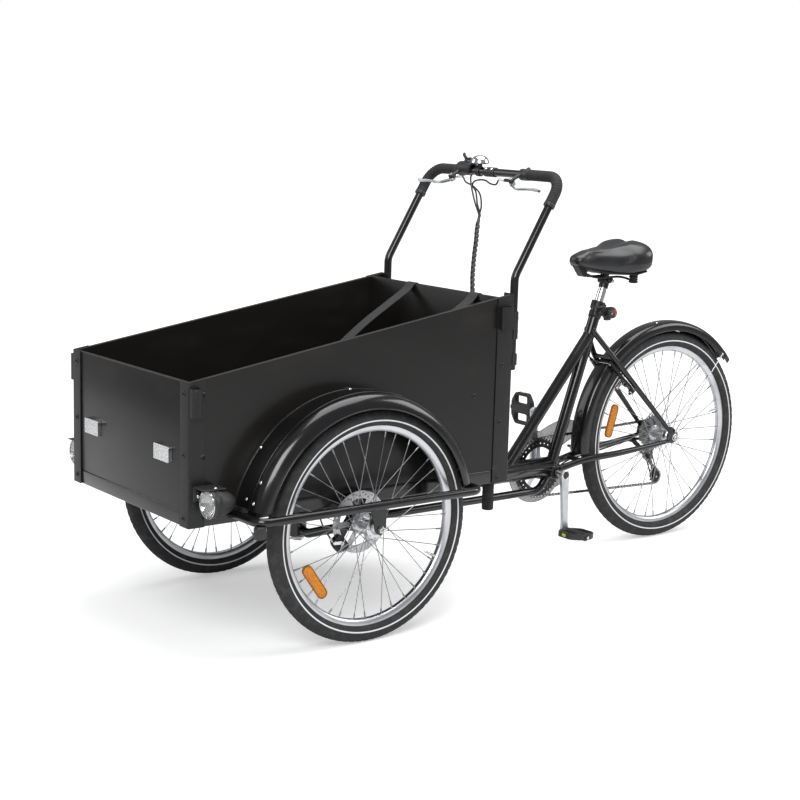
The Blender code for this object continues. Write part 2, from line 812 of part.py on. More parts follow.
def rear_axle():
    end = DROPOUT_X + DROPOUT_T / 2 + 0.014
    face = DROPOUT_X + DROPOUT_T / 2 - 0.0006
    axle = rod(REAR_SPOT - Vector((end, 0, 0)), REAR_SPOT + Vector((end, 0, 0)), AXLE_R, 8)
    nuts = []
    for side in (1, -1):
        first = REAR_SPOT + Vector((side * face, 0, 0))
        nuts.append(nut(first, first + Vector((side * (NUT_T + 0.001), 0, 0)), 0.0105))
    return [axle] + nuts


def brake_boss(side):
    middle = REAR_SPOT + STAY_WAY * BRAKE_REACH + Vector((side * BRAKE_X, 0, 0))
    return rod(middle, middle + BOSS_WAY * -0.0345, 0.0042, 8)


def bridges():
    """Cross tubes between the stays, above the mudguard and ahead of the tyre."""
    upper = REAR_SPOT + STAY_WAY * (FENDER_R + FENDER_T / 2 + 0.0062 + GAP)
    lower = spot(0, CRANK_Y + 0.102, 0.286)
    bridge = rod(upper - Vector((0.044, 0, 0)), upper + Vector((0.044, 0, 0)), 0.0062, 6)
    short = rod(lower - Vector((0.034, 0, 0)), lower + Vector((0.034, 0, 0)), 0.0070, 6)
    return [bridge, short]


def lamp_arm():
    """Clip below the collar that holds the rear lamp."""
    start = SEAT_TOP - SEAT_DIRECTION * 0.040
    return rod(start, start + Vector((0, LAMP_ARM_REACH, 0)), 0.006, 8)


LAMP_ARM_REACH = 0.040


def main_frame(carrier):
    pieces = frame_tubes()
    for side in (1, -1):
        pieces += [chain_stay(side), seat_stay(side), dropout(side), brake_boss(side)]
    pieces += bridges() + rear_axle() + guard_arms() + [lamp_arm()]
    frame = joined(*pieces)
    head_bore = rod(
        spot(0, KINGPIN_SETBACK, HEAD_BOTTOM - 0.02), spot(0, KINGPIN_SETBACK, HEAD_TOP + 0.02),
        KINGPIN_R + 0.0008, 12,
    )
    seat_bore = rod(
        SEAT_TOP - SEAT_DIRECTION * 0.250, SEAT_TOP + SEAT_DIRECTION * 0.010, SEAT_POST_R + 0.0007, 12,
    )
    slot = box((-0.0012, -0.030, -0.022), (0.0012, 0, 0.010))
    lean = Matrix.Rotation(-math.asin(SEAT_LEAN), 4, "X")
    moved(slot, Matrix.Translation(SEAT_TOP) @ lean)
    frame = cut(frame, head_bore, seat_bore, slot)
    keep("main_frame", frame, "gloss_black_paint", carrier)


def swept_sheet(profile, start, end, count, centre):
    """An open surface: a profile of (x, radius) carried round an axle."""
    shape = bmesh.new()
    rows = []
    for step in range(count):
        angle = math.radians(start + (end - start) * step / (count - 1))
        row = []
        for x, radius in profile:
            row.append(shape.verts.new((centre.x + x, centre.y + radius * math.cos(angle),
                                        centre.z + radius * math.sin(angle))))
        rows.append(row)
    for a, b in zip(rows, rows[1:]):
        for i in range(len(profile) - 1):
            shape.faces.new((a[i], a[i + 1], b[i + 1], b[i]))
    return from_bmesh(shape)


def rear_fender(carrier):
    """Round-backed mudguard from above the chain stays to the rear, with a wire stay on each side."""
    half = [(0.030, FENDER_R - 0.016), (0.026, FENDER_R - 0.005), (0.013, FENDER_R)]
    profile = half + [(-x, radius) for x, radius in reversed(half)]
    sheet = solidify(swept_sheet(profile, 44, 184, 15, REAR_SPOT), FENDER_T, 0.0)
    wires = []
    for side in (1, -1):
        angle = math.radians(50)
        end = REAR_SPOT + Vector((side * 0.030, 0.348 * math.cos(angle), 0.348 * math.sin(angle)))
        start = REAR_SPOT + Vector((side * (DROPOUT_X + DROPOUT_T / 2 + GAP + 0.0030), 0, 0.022))
        wires.append(tube([start, end], 0.0022, 0))
        wires.append(box(start - Vector((0.0030, 0.005, 0.005)), start + Vector((0.0030, 0.005, 0.005))))
    keep("rear_fender", joined(sheet, *wires), "gloss_black_paint", carrier, 50)


def rear_wheel(carrier):
    keep("rear_tyre", tyre(REAR_SPOT, REAR_TYRE_R, REAR_BEAD_R, REAR_TYRE_W), "tyre_rubber", carrier)
    keep("rear_rim", rim(REAR_SPOT, REAR_BEAD_R), "rim_alloy", carrier)
    bore = AXLE_R + RUNNING + 0.0003
    end = REAR_HUB_HALF
    inner_end = CASSETTE_START + GAP
    shell = turned(
        [
            (bore, inner_end), (0.0150, inner_end), (0.0150, -0.0245), (REAR_FLANGE_R, -0.0245),
            (REAR_FLANGE_R, -0.0185), (0.014, -0.012), (0.014, 0.026), (REAR_FLANGE_R, 0.032),
            (REAR_FLANGE_R, 0.039), (0.011, 0.040), (0.009, end), (bore, end),
        ],
        12, REAR_SPOT, "X",
    )
    reach = (REAR_BEAD_R - RIM_DEPTH) * FLAT - GAP - 0.0004
    made = []
    for index in range(SPOKES):
        side = 1 if index % 2 == 0 else -1
        lead = 1 if (index // 2) % 2 == 0 else -1
        rim_angle = 2 * math.pi * index / SPOKES
        hub_angle = rim_angle + lead * math.radians(62)
        flange = 0.0355 if side > 0 else -0.0215
        inner = REAR_FLANGE_R - 0.0035
        start = Vector((flange + lead * 0.0018, inner * math.cos(hub_angle), inner * math.sin(hub_angle)))
        finish_x = side * 0.0045 + lead * 0.0011
        outer = Vector((finish_x, reach * math.cos(rim_angle), reach * math.sin(rim_angle)))
        made.append(rod(REAR_SPOT + start, REAR_SPOT + outer, SPOKE_R, 3))
    sign = reflector(REAR_SPOT, 74, reach - 0.030, 0.0105)
    keep("rear_hub", joined(shell, gathered(made), sign), "bright_steel", carrier)


# Drive pieces

COG_CORE_R = 0.0205


def cassette(carrier, phase):
    """Seven cogs on a sleeve: a turned stack of plain ones, with the running one and the biggest one toothed."""
    bore = AXLE_R + RUNNING + 0.0003
    running = CASSETTE.index(COG_TEETH)
    places = [CHAIN_X + (running - index) * COG_SPACING for index in range(len(CASSETTE))]
    profile = [(bore, CASSETTE_START), (COG_CORE_R, CASSETTE_START)]
    for index in range(1, len(CASSETTE)):
        if index != running:
            cog = pitch_radius(CASSETTE[index])
            for size, side in ((COG_CORE_R, 1), (cog, 1), (cog, -1), (COG_CORE_R, -1)):
                profile.append((size, places[index] + side * COG_T / 2))
    profile += [(COG_CORE_R, places[-1] - 0.0025), (0.0120, -REAR_HUB_HALF), (bore, -REAR_HUB_HALF)]
    stack = turned(profile, 10, REAR_SPOT, "X")
    toothed_cogs = []
    for index, outline in ((0, plain_toothed_outline(CASSETTE[0], phase)), (running, toothed_outline(COG_TEETH, phase))):
        lines = [outline, ring(COG_CORE_R - 0.0025, 8)]
        lines = [shifted(line, REAR_SPOT.y, REAR_SPOT.z) for line in lines]
        toothed_cogs.append(plate(lines, COG_T, "X", places[index]))
    keep("cassette", joined(stack, gathered(toothed_cogs)), "bright_steel", carrier)


def link_outline(start, end, start_r, end_r, neck=0.0):
    """(y, z) points round a link with round ends, drawn in beside each eye where a neck is given."""
    along = (end - start).normalized()
    across = Vector((0, -along.z, along.y))
    points = []
    for centre, radius, turn, other, way in ((start, start_r, 90, along, -1), (end, end_r, -90, -along, 1)):
        for step in range(6):
            angle = math.radians(turn + 180 * step / 5)
            points.append(centre + along * radius * math.cos(angle) + across * radius * math.sin(angle))
        if neck:
            points.append(centre + other * radius * 1.8 + across * way * (radius - neck))
            far, far_r = (end, end_r) if way < 0 else (start, start_r)
            points.append(far - other * far_r * 1.8 + across * way * (far_r - neck))
    return [(p.y, p.z) for p in points]


ARM_X = 0.0685
ARM_T = 0.013
PEDAL_AXLE_R = 0.0045
PEDAL_START = 0.0765
PEDAL_SIDE = 0.1340


def left_crank(carrier):
    """Left arm, straight down, with the bottom bracket spindle and the pedal axle."""
    foot = CRANK_SPOT + Vector((0, 0.008, -CRANK_LENGTH))
    top = CRANK_SPOT.copy()
    arm = plate([link_outline(top, foot, 0.0165, 0.0135, 0.003)], ARM_T, "X", ARM_X)
    washer = rod(top + Vector((0.052, 0, 0)), top + Vector((ARM_X + 0.0075, 0, 0)), 0.0145, 12)
    tip = Vector((0, foot.y, foot.z))
    axle = rod(tip + Vector((ARM_X, 0, 0)), tip + Vector((PEDAL_SIDE + 0.040, 0, 0)), PEDAL_AXLE_R, 8)
    head = rod(tip + Vector((PEDAL_SIDE + 0.036, 0, 0)), tip + Vector((PEDAL_SIDE + 0.042, 0, 0)), 0.0075, 8)
    spindle = rod(top + Vector((SHELL_HALF + GAP, 0, 0)), top + Vector((0.055, 0, 0)), 0.0110, 10)
    keep("left_crank", joined(arm, washer, axle, head, spindle), "crank_alloy", carrier)
    return tip


def right_crank(carrier, phase):
    """Right arm, straight up, with a four-armed spider and the chainring."""
    foot = CRANK_SPOT + Vector((0, -0.008, CRANK_LENGTH))
    top = CRANK_SPOT.copy()
    arm = plate([link_outline(top, foot, 0.0165, 0.0135, 0.003)], ARM_T, "X", -ARM_X)
    tip = Vector((0, foot.y, foot.z))
    axle = rod(tip - Vector((ARM_X, 0, 0)), tip - Vector((PEDAL_SIDE + 0.040, 0, 0)), PEDAL_AXLE_R, 8)
    head = rod(tip - Vector((PEDAL_SIDE + 0.036, 0, 0)), tip - Vector((PEDAL_SIDE + 0.042, 0, 0)), 0.0075, 8)
    spindle = rod(top - Vector((SHELL_HALF + GAP, 0, 0)), top - Vector((0.064, 0, 0)), 0.0120, 12)
    boss = rod(top - Vector((0.0505, 0, 0)), top - Vector((ARM_X + 0.0075, 0, 0)), 0.0190, 10)
    star = []
    for index in range(5):
        for size, swing in ((0.0700, -0.095), (0.0700, 0.095), (0.0215, 0.628)):
            angle = phase + 2 * math.pi * index / 5 + swing
            star.append((top.y + size * math.cos(angle), top.z + size * math.sin(angle)))
    spider = plate([star], 0.0046, "X", -0.0500)
    lines = [toothed_outline(RING_TEETH, phase), ring(0.0620, 12)]
    lines = [shifted(line, top.y, top.z) for line in lines]
    chainring = plate(lines, 0.0022, "X", CHAIN_X)
    crank = joined(arm, boss, spindle, axle, head, spider, chainring)
    keep("right_crank", crank, "crank_alloy", carrier)
    return tip


def pedal(name, carrier, tip, side, upright):
    """Platform pedal: a toothed cage of two side rails and end rails round a bearing barrel."""
    centre = Vector((side * (PEDAL_START + PEDAL_SIDE + 0.030) / 2, tip.y, tip.z))
    length = 0.050
    width = (PEDAL_SIDE + 0.030 - PEDAL_START) / 2
    outer = [
        (-width, -0.022), (-width + 0.018, -length), (width - 0.018, -length), (width, -0.022),
        (width, 0.022), (width - 0.018, length), (-width + 0.018, length), (-width, 0.022),
    ]
    holes = []
    for way in (1, -1):
        near = way * 0.0145
        far = way * (length - 0.010)
        low = -width + 0.016
        holes.append([(low, near), (-low, near), (-low, far), (low, far)])
    body = plate([outer] + holes, 0.019, "Z", 0)
    barrel = rod((-width - 0.0010, 0, 0), (width + 0.0012, 0, 0), 0.0125, 8)
    body = joined(body, barrel)
    turn = Matrix.Rotation(math.pi / 2, 4, "X") if upright else Matrix.Rotation(math.radians(-4), 4, "X")
    moved(body, Matrix.Translation(centre) @ turn)
    bore = rod(
        centre - Vector((width + 0.01, 0, 0)), centre + Vector((width + 0.01, 0, 0)), PEDAL_AXLE_R + 0.0009, 8,
    )
    keep(name, cut(body, bore), "black_plastic", carrier)


def pulley(name, carrier, centre, phase):
    wheel = toothed(PULLEY_TEETH, phase, centre, 0.0030 + RUNNING + 0.0004, 0.0022, CHAIN_X)
    keep(name, wheel, "black_plastic", carrier)


def derailleur_cage(carrier, guide, lower):
    """Two plates either side of the pulleys, joined by the pulley bolts."""
    plates = []
    for x, wide in ((CHAIN_X - 0.0062, 0.0135), (CHAIN_X + 0.0062, 0.0120)):
        plates.append(plate([link_outline(guide, lower, wide, wide)], 0.0018, "X", x))
    bolts = []
    for centre in (guide, lower):
        start = Vector((CHAIN_X - 0.0095, centre.y, centre.z))
        bolts.append(rod(start, start + Vector((0.0185, 0, 0)), 0.0030, 8))
    return keep("derailleur_cage", joined(*plates, *bolts), "satin_black_steel", carrier)


def derailleur_pivot():
    """Inner end of the pivot that the derailleur hangs on, below and behind the axle."""
    return REAR_SPOT + Vector((-0.0695, 0.008, -0.030))


def derailleur_front():
    """Front knuckle of the derailleur, where the gear cable ends."""
    return derailleur_pivot() + Vector((-0.012, -0.046, 0.002))


def derailleur_body(carrier, guide):
    """Hanger, upper and lower knuckles and the two parallel links between them."""
    hanger_x = -DROPOUT_X - 0.0009
    hanger = plate(
        [[(REAR_SPOT.y - 0.006, REAR_SPOT.z - 0.0120), (REAR_SPOT.y + 0.012, REAR_SPOT.z - 0.0120),
          (REAR_SPOT.y + 0.016, REAR_SPOT.z - 0.034), (REAR_SPOT.y - 0.002, REAR_SPOT.z - 0.036)]],
        DROPOUT_T, "X", hanger_x - 0.0045 - GAP,
    )
    upper = derailleur_pivot()
    lower = Vector((CHAIN_X - 0.0215, guide.y + 0.001, guide.z + 0.001))
    upper_knuckle = rod(upper - Vector((0.018, 0, 0)), upper + Vector((0.0005, 0, 0)), 0.0105, 10)
    front = derailleur_front()
    link = joined(
        tube([upper - Vector((0.010, 0, 0)), front], 0.0085, 1),
        sphere(front, 0.0115, 6, 5),
        tube([front, lower - Vector((0.002, 0, 0))], 0.0085, 1),
    )
    lower_knuckle = rod(lower - Vector((0.0085, 0, 0)), lower + Vector((0.0112, 0, 0)), 0.0115, 10)
    body = joined(hanger, upper_knuckle, link, lower_knuckle)
    keep("derailleur_body", body, "satin_black_steel", carrier)


GUARD_X = -0.0590
GUARD_R = 0.109
GUARD_T = 0.0018


def chain_guard(carrier):
    """Translucent ring outside the chainring, with a tail over the upper chain run and a short one below."""
    crank = Vector((CRANK_SPOT.y, CRANK_SPOT.z))
    front = [(GUARD_R * math.cos(math.radians(a)), GUARD_R * math.sin(math.radians(a))) for a in range(84, 320, 15)]
    lower_tail = [(0.122, -0.060), (0.112, -0.034), (0.0905, -0.016)]
    upper_tail = [(0.0905, 0.050), (0.150, 0.078), (0.162, 0.124), (0.105, 0.140), (0.040, 0.121)]
    outline = shifted(front + lower_tail + upper_tail, crank.x, crank.y)
    hole = shifted(ring(0.0830, 16), crank.x, crank.y)
    keep("chain_guard", plate([outline, hole], GUARD_T, "X", GUARD_X), "smoke_plastic", carrier)


def guard_arms():
    """Two short arms on the frame that the chain guard is screwed to, ahead of and behind the chainring."""
    reach = GUARD_X + GUARD_T / 2 + GAP
    made = []
    for root_x, y, z in ((-0.020, -0.1005, -0.002), (-0.036, 0.130, 0.052)):
        root = CRANK_SPOT + Vector((root_x, y, z if y < 0 else 0.030))
        out = CRANK_SPOT + Vector((reach, y, z))
        elbow = Vector((root.x - 0.012, out.y, out.z)) if y > 0 else None
        made.append(tube([root, elbow, out] if elbow else [root, out], 0.0042, 1))
    return made


# Seat

SEAT_CLAMP = 0.070
SEAT_POST_DOWN = 0.190
LEVER_BARREL_R = 0.0065
SADDLE_Z = 0.9480


def clamp_spot():
    """Middle of the saddle clamp, on the seat post's line above the collar."""
    return SEAT_TOP + SEAT_DIRECTION * SEAT_CLAMP


def seat_post(carrier):
    """Straight post with a clamp head for the two saddle rails."""
    clamp = clamp_spot()
    post = rod(SEAT_TOP - SEAT_DIRECTION * SEAT_POST_DOWN, clamp - SEAT_DIRECTION * 0.004, SEAT_POST_R, 12)
    head = box(clamp + Vector((-0.024, -0.021, -0.010)), clamp + Vector((0.024, 0.021, 0.0055)), 0.004)
    keep("seat_post", joined(post, head), "chrome", carrier)


RAIL_HALF = 0.022
SEAT_RAIL_R = 0.0035


def saddle_ring(y, half, top, bottom, crown):
    """Cross-section of the saddle: a crowned top with drawn-in sides, eight points round."""
    rise = crown * (top - bottom)
    middle = (top + bottom) / 2
    return [
        (half * 0.45, y, top - 0.10 * rise), (half * 0.90, y, top - 0.45 * rise), (half, y, middle),
        (half * 0.88, y, bottom + 0.002), (half * 0.40, y, bottom), (-half * 0.40, y, bottom),
        (-half * 0.88, y, bottom + 0.002), (-half, y, middle), (-half * 0.90, y, top - 0.45 * rise),
        (-half * 0.45, y, top - 0.10 * rise),
    ]


def lofted(rings):
    """A closed body through rings of as many points."""
    shape = bmesh.new()
    rows = [[shape.verts.new(point) for point in line] for line in rings]
    count = len(rows[0])
    for a, b in zip(rows, rows[1:]):
        for i in range(count):
            shape.faces.new((a[i], a[(i + 1) % count], b[(i + 1) % count], b[i]))
    shape.faces.new(rows[0])
    shape.faces.new(list(reversed(rows[-1])))
    bmesh.ops.recalc_face_normals(shape, faces=shape.faces)
    return from_bmesh(shape)


SADDLE_LOFT = (
    (-0.140, 0.018, -0.050, -0.084), (-0.122, 0.032, -0.043, -0.095), (-0.060, 0.047, -0.032, -0.100),
    (0.000, 0.083, -0.025, -0.102), (0.045, 0.112, -0.012, -0.104), (0.095, 0.116, -0.003, -0.096),
    (0.122, 0.078, -0.016, -0.072),
)


def saddle(carrier):
    """Wide padded cover, its nose forward, made as a loft with one level of subdivision."""
    centre = clamp_spot()
    rings = []
    for y, half, top, bottom in SADDLE_LOFT:
        ring_points = saddle_ring(centre.y + y, half, SADDLE_Z + top, SADDLE_Z + bottom, 0.55)
        rings.append(ring_points)
    piece = lofted(rings)
    modifier = piece.modifiers.new("soft", "SUBSURF")
    modifier.levels = 1
    modifier.render_levels = 1
    keep("saddle", solidified(piece), "saddle_cover", carrier, 60)


def saddle_frame(carrier):
    """Two rails held at the nose and by a pair of rubber springs at the rear, under a pan."""
    centre = clamp_spot()
    under = SADDLE_Z - 0.1025
    pieces = []
    outline = [
        (0.020, -0.112), (0.048, -0.040), (0.086, 0.036), (0.080, 0.070), (-0.080, 0.070), (-0.086, 0.036),
        (-0.048, -0.040), (-0.020, -0.112),
    ]
    pan = plate([shifted(outline, 0, centre.y)], 0.004, "Z", under - 0.0022)
    rail_z = centre.z + 0.0055 + SEAT_RAIL_R + GAP
    for side in (1, -1):
        route = [
            Vector((side * 0.010, centre.y - 0.104, under - 0.003)),
            Vector((side * 0.014, centre.y - 0.070, rail_z)),
            Vector((side * RAIL_HALF, centre.y - 0.030, rail_z)),
            Vector((side * RAIL_HALF, centre.y + 0.030, rail_z)),
            Vector((side * 0.050, centre.y + 0.052, rail_z - 0.006)),
            Vector((side * 0.062, centre.y + 0.056, under - 0.032)),
        ]
        pieces.append(tube(route, SEAT_RAIL_R, 1))
        foot = Vector((side * 0.062, centre.y + 0.056, under - 0.003))
        spring = rod(foot, foot - Vector((0, 0, 0.036)), 0.0150, 8)
        pieces.append(spring)
    keep("saddle_frame", joined(pan, *pieces), "satin_black_steel", carrier)


def lever_place():
    """Middle of the quick-release barrel, on the left of the seat collar."""
    out = (SEAT_TUBE_R + 0.004) * math.cos(math.pi / 10) + LEVER_BARREL_R + RUNNING
    return SEAT_TOP - SEAT_DIRECTION * 0.012 + Vector((out, 0, 0))


def seat_lever(carrier):
    """Quick-release lever on a cam barrel that stands along the seat collar."""
    place = lever_place()
    barrel = rod(place - SEAT_DIRECTION * 0.007, place + SEAT_DIRECTION * 0.007, LEVER_BARREL_R, 10)
    route = [place, place + Vector((0.006, -0.018, 0.002)), place + Vector((0.004, -0.052, 0))]
    keep("seat_quick_release", joined(barrel, tube(route, 0.0042)), "satin_black_steel", carrier)


def rear_light(carrier):
    start = SEAT_TOP - SEAT_DIRECTION * 0.040 + Vector((0, LAMP_ARM_REACH + GAP, 0))
    body = box(start + Vector((-0.022, 0, -0.016)), start + Vector((0.022, 0.034, 0.020)), 0.006)
    lens = rod(start + Vector((0, 0.032, 0.002)), start + Vector((0, 0.040, 0.002)), 0.0150, 12)
    keep("rear_light", joined(body, lens), "red_lens", carrier)


# Rear rim brake

BRAKE_FRAME = Matrix.Translation(REAR_SPOT) @ Matrix((
    (1, 0, 0, 0), (0, STAY_WAY.y, -BOSS_WAY.y, 0), (0, STAY_WAY.z, -BOSS_WAY.z, 0), (0, 0, 0, 1),
))


def brake_arm():
    """Left arm in the brake's own frame: across, along the stays and away from them."""
    outline = [
        (0.0435, 0.236), (0.0595, 0.236), (0.0605, 0.262), (0.0500, 0.300), (0.0455, BRAKE_ARM_TOP), (0.0365, BRAKE_ARM_TOP),
        (0.0365, 0.300), (0.0435, 0.262),
    ]
    arm = plate([outline], 0.010, "Z", 0.0195)
    barrel = rod((BRAKE_X, BRAKE_REACH, 0.0095), (BRAKE_X, BRAKE_REACH, 0.0310), 0.0090, 8)
    pad = box((0.0170, 0.2655, -0.004), (0.0243, 0.2775, 0.044))
    post = rod((0.0230, 0.2715, 0.0195), (0.0480, 0.2715, 0.0195), 0.0042, 6)
    arm = joined(arm, barrel, pad, post)
    bore = rod((BRAKE_X, BRAKE_REACH, -0.01), (BRAKE_X, BRAKE_REACH, 0.06), 0.0042 + RUNNING + 0.0004, 8)
    return moved(cut(arm, bore), BRAKE_FRAME)


# Front carrier

CROSS_HALF = 0.015
KING_CROSS_HALF = 0.035
STOP_R = 0.016
STOP_X = BOX_SIDE - 0.0365
STOP_Y = BOX_REAR - 0.001
STOP_DROP = 0.081
BASE_TOP = BOX_BASE_Z + BASE_RAIL_H
BASE_FRONT = BOX_FRONT + ANGLE_T + GAP
BASE_BACK = POST_BACK - ANGLE_T - GAP
CROSS_TOP = BOX_BASE_Z + CROSS_H
KINGPIN_NUT_R = 0.018
BOSS_BOTTOM = BRACE_Z - 0.017
PLATE_IN_X = WHEEL_X - FRONT_HUB_HALF - RUNNING - DROPOUT_T / 2
PLATE_OUT_X = WHEEL_X + FRONT_HUB_HALF + RUNNING + DROPOUT_T / 2


def top_line(y):
    """Height of the box's sloping top edge at a distance behind the front axle."""
    return BOX_BASE_Z + FRONT_WALL + TOP_SLOPE * (y - BOX_FRONT)


def base_frame():
    """Rectangle of flat rails with three cross members, as one body."""
    side = PANEL_SIDE
    outer = box(spot(-side, BASE_FRONT, BOX_BASE_Z), spot(side, BASE_BACK, BASE_TOP))
    inner = box(
        spot(-side + BASE_RAIL_W, BASE_FRONT + BASE_RAIL_W, BOX_BASE_Z - 0.01),
        spot(side - BASE_RAIL_W, BASE_BACK - BASE_RAIL_W, BASE_TOP + 0.01),
    )
    pieces = [cut(outer, inner)]
    reach = side - BASE_RAIL_W + 0.003
    for middle, half in ((-0.340, CROSS_HALF), (KINGPIN_SETBACK, KING_CROSS_HALF), (0.360, CROSS_HALF)):
        low = spot(-reach, middle - half, BOX_BASE_Z + 0.0004)
        pieces.append(box(low, spot(reach, middle + half, CROSS_TOP)))
    return pieces


def wheel_rail():
    """Left outer rail, bent in at both ends to the base rail, with its plug and the two dropout plates."""
    inside = PANEL_SIDE - 0.006
    route = [
        spot(inside, -RAIL_FRONT, RAIL_Z), spot(RAIL_X, -RAIL_FRONT, RAIL_Z), spot(RAIL_X, RAIL_REAR, RAIL_Z),
        spot(inside, RAIL_REAR, RAIL_Z),
    ]
    rail = tube(rounded(route, RAIL_BEND, 2), RAIL_R)
    plug = box(
        spot(RAIL_X - 0.010, -RAIL_FRONT - 0.011, RAIL_Z - 0.038), spot(RAIL_X + 0.010, -RAIL_FRONT + 0.015, RAIL_Z - 0.004),
        0.003,
    )
    axle = FRONT_AXLE_Z
    outer = [
        (-0.034, RAIL_Z), (0.016, RAIL_Z), (0.014, axle + 0.002), (0.008, axle - 0.012), (-0.006, axle - 0.014),
        (-0.016, axle - 0.007),
    ]
    inner = [
        (-0.020, RAIL_Z + 0.004), (0.020, RAIL_Z + 0.004), (0.016, axle), (0.008, axle - 0.013),
        (-0.006, axle - 0.015), (-0.020, axle - 0.008), (-0.046, axle - 0.049), (-0.066, axle - 0.036),
        (-0.026, axle + 0.024),
    ]
    made = [rail, plug]
    made.append(plate([shifted(outer, FRONT_Y, 0)], DROPOUT_T, "X", PLATE_OUT_X))
    made.append(plate([shifted(inner, FRONT_Y, 0)], DROPOUT_T, "X", PLATE_IN_X))
    made.append(box(spot(PANEL_SIDE - 0.0015, -0.016, 0.344), spot(PLATE_IN_X + 0.001, 0.016, RAIL_Z + 0.0015)))
    inner_face = PLATE_IN_X - DROPOUT_T / 2
    outer_face = PLATE_OUT_X + DROPOUT_T / 2
    made.append(rod(spot(inner_face - 0.009, 0, axle), spot(outer_face + 0.0145, 0, axle), AXLE_R, 8))
    made.append(nut(spot(inner_face + 0.0005, 0, axle), spot(inner_face - NUT_T, 0, axle)))
    made.append(nut(spot(outer_face - 0.0005, 0, axle), spot(outer_face + NUT_T, 0, axle)))
    return made


def steering_stop():
    """Left rubber stop on a steel tab under the rear corner, which meets the main beam at full lock."""
    tab = box(
        spot(STOP_X - 0.020, STOP_Y - 0.022, BOX_BASE_Z + 0.0008), spot(PANEL_SIDE - 0.004, STOP_Y + 0.018, BOX_BASE_Z + 0.010),
    )
    post = rod(spot(STOP_X, STOP_Y, BOX_BASE_Z + 0.004), spot(STOP_X, STOP_Y, BOX_BASE_Z - STOP_DROP), STOP_R, 10)
    return [tab, post]


def carrier_frame(carrier):
    pieces = base_frame()
    for piece in wheel_rail() + steering_stop():
        pieces += [piece, mirrored(piece)]
    half = [(PANEL_SIDE - 0.0147, BOX_BASE_Z + 0.009), (PANEL_SIDE - 0.0237, 0.276), (0.052, BRACE_Z)]
    line = half + [(-x, z) for x, z in reversed(half)]
    pieces.append(tube(rounded([spot(x, KINGPIN_SETBACK, z) for x, z in line], 0.030, 2), BRACE_R, 1))
    pieces.append(rod(
        spot(0, KINGPIN_SETBACK, BOSS_BOTTOM), spot(0, KINGPIN_SETBACK, HEAD_BOTTOM - RUNNING), 0.0240, 12,
    ))
    pieces.append(rod(
        spot(0, KINGPIN_SETBACK, HEAD_TOP + RUNNING), spot(0, KINGPIN_SETBACK, CROSS_TOP - 0.006), 0.0280, 12,
    ))
    frame = joined(*pieces)
    bore = rod(
        spot(0, KINGPIN_SETBACK, BOSS_BOTTOM - 0.01), spot(0, KINGPIN_SETBACK, CROSS_TOP - 0.003),
        KINGPIN_R + 0.0004, 12,
    )
    keep("carrier_frame", cut(frame, bore), "gloss_black_paint", carrier)


def kingpin(carrier):
    """Hardened pin through both bosses and the head tube, with a nut below."""
    low = BOSS_BOTTOM - GAP
    pin = rod(spot(0, KINGPIN_SETBACK, low - 0.012), spot(0, KINGPIN_SETBACK, CROSS_TOP - 0.0035), KINGPIN_R, 12)
    end = nut(spot(0, KINGPIN_SETBACK, low - 0.011), spot(0, KINGPIN_SETBACK, low), KINGPIN_NUT_R)
    keep("kingpin", joined(pin, end), "bright_steel", carrier)


# Box

def panels(carrier):
    """Floor inside the rails, side panels over them, front and rear panels between the sides."""
    inside = PANEL_SIDE - BASE_RAIL_W - GAP
    floor_low = spot(-inside, BASE_FRONT + BASE_RAIL_W + GAP, CROSS_TOP + GAP)
    floor_high = spot(inside, BASE_BACK - BASE_RAIL_W - GAP, CROSS_TOP + GAP + PLY)
    floor_top = floor_high.z
    keep("floor_panel", box(floor_low, floor_high), "black_ply", carrier)
    bottom = BASE_TOP + GAP
    side = [
        (BASE_FRONT, bottom), (BASE_BACK, bottom), (BASE_BACK, top_line(BASE_BACK)), (BASE_FRONT, top_line(BASE_FRONT)),
    ]
    left = plate([shifted(side, FRONT_Y, 0)], PLY, "X", PANEL_SIDE - PLY / 2)
    right = mirrored(left)
    keep("left_panel", left, "black_ply", carrier)
    keep("right_panel", right, "black_ply", carrier)
    across = PANEL_SIDE - PLY - GAP
    front = box(spot(-across, BASE_FRONT, bottom), spot(across, BASE_FRONT + PLY, top_line(BASE_FRONT)))
    tiles = []
    for x in (-REFLECTOR_X, REFLECTOR_X):
        low = spot(x - 0.036, BOX_FRONT - 0.008, REFLECTOR_Z - 0.019)
        tiles.append(box(low, spot(x + 0.036, BASE_FRONT + 0.002, REFLECTOR_Z + 0.019), 0.002))
    keep("front_panel", joined(front, *tiles), "black_ply", carrier)
    rear_bottom = max(floor_top, BASE_TOP) + GAP
    rear = box(spot(-across, BOX_REAR - PLY, rear_bottom), spot(across, BOX_REAR, REAR_TOP))
    keep("rear_panel", rear, "black_ply", carrier)


REFLECTOR_X = BOX_SIDE - 0.1165
REFLECTOR_Z = 0.500
REAR_TOP = top_line(BOX_REAR - PLY)


def angle_post(outline):
    """Left post: an outline in plan, its foot at the base and its top cut to the sloping edge."""
    piece = plate([shifted(outline, 0, FRONT_Y)], 1.0, "Z", 0.5)
    for vertex in piece.data.vertices:
        vertex.co.z = top_line(vertex.co.y - FRONT_Y) + 0.001 if vertex.co.z > 0.5 else BOX_BASE_Z
    return piece


def stake_pocket(y_low, y_high, z_low, z_high, depth):
    """Left socket for a stake: a short square tube against the post's side leg."""
    x_low = BOX_SIDE - 0.001
    body = box(spot(x_low, y_low, z_low), spot(BOX_SIDE + depth, y_high, z_high))
    bore = box(spot(BOX_SIDE + 0.003, y_low + 0.003, z_low - 0.01), spot(BOX_SIDE + depth - 0.003, y_high - 0.003, z_high + 0.01))
    return cut(body, bore)


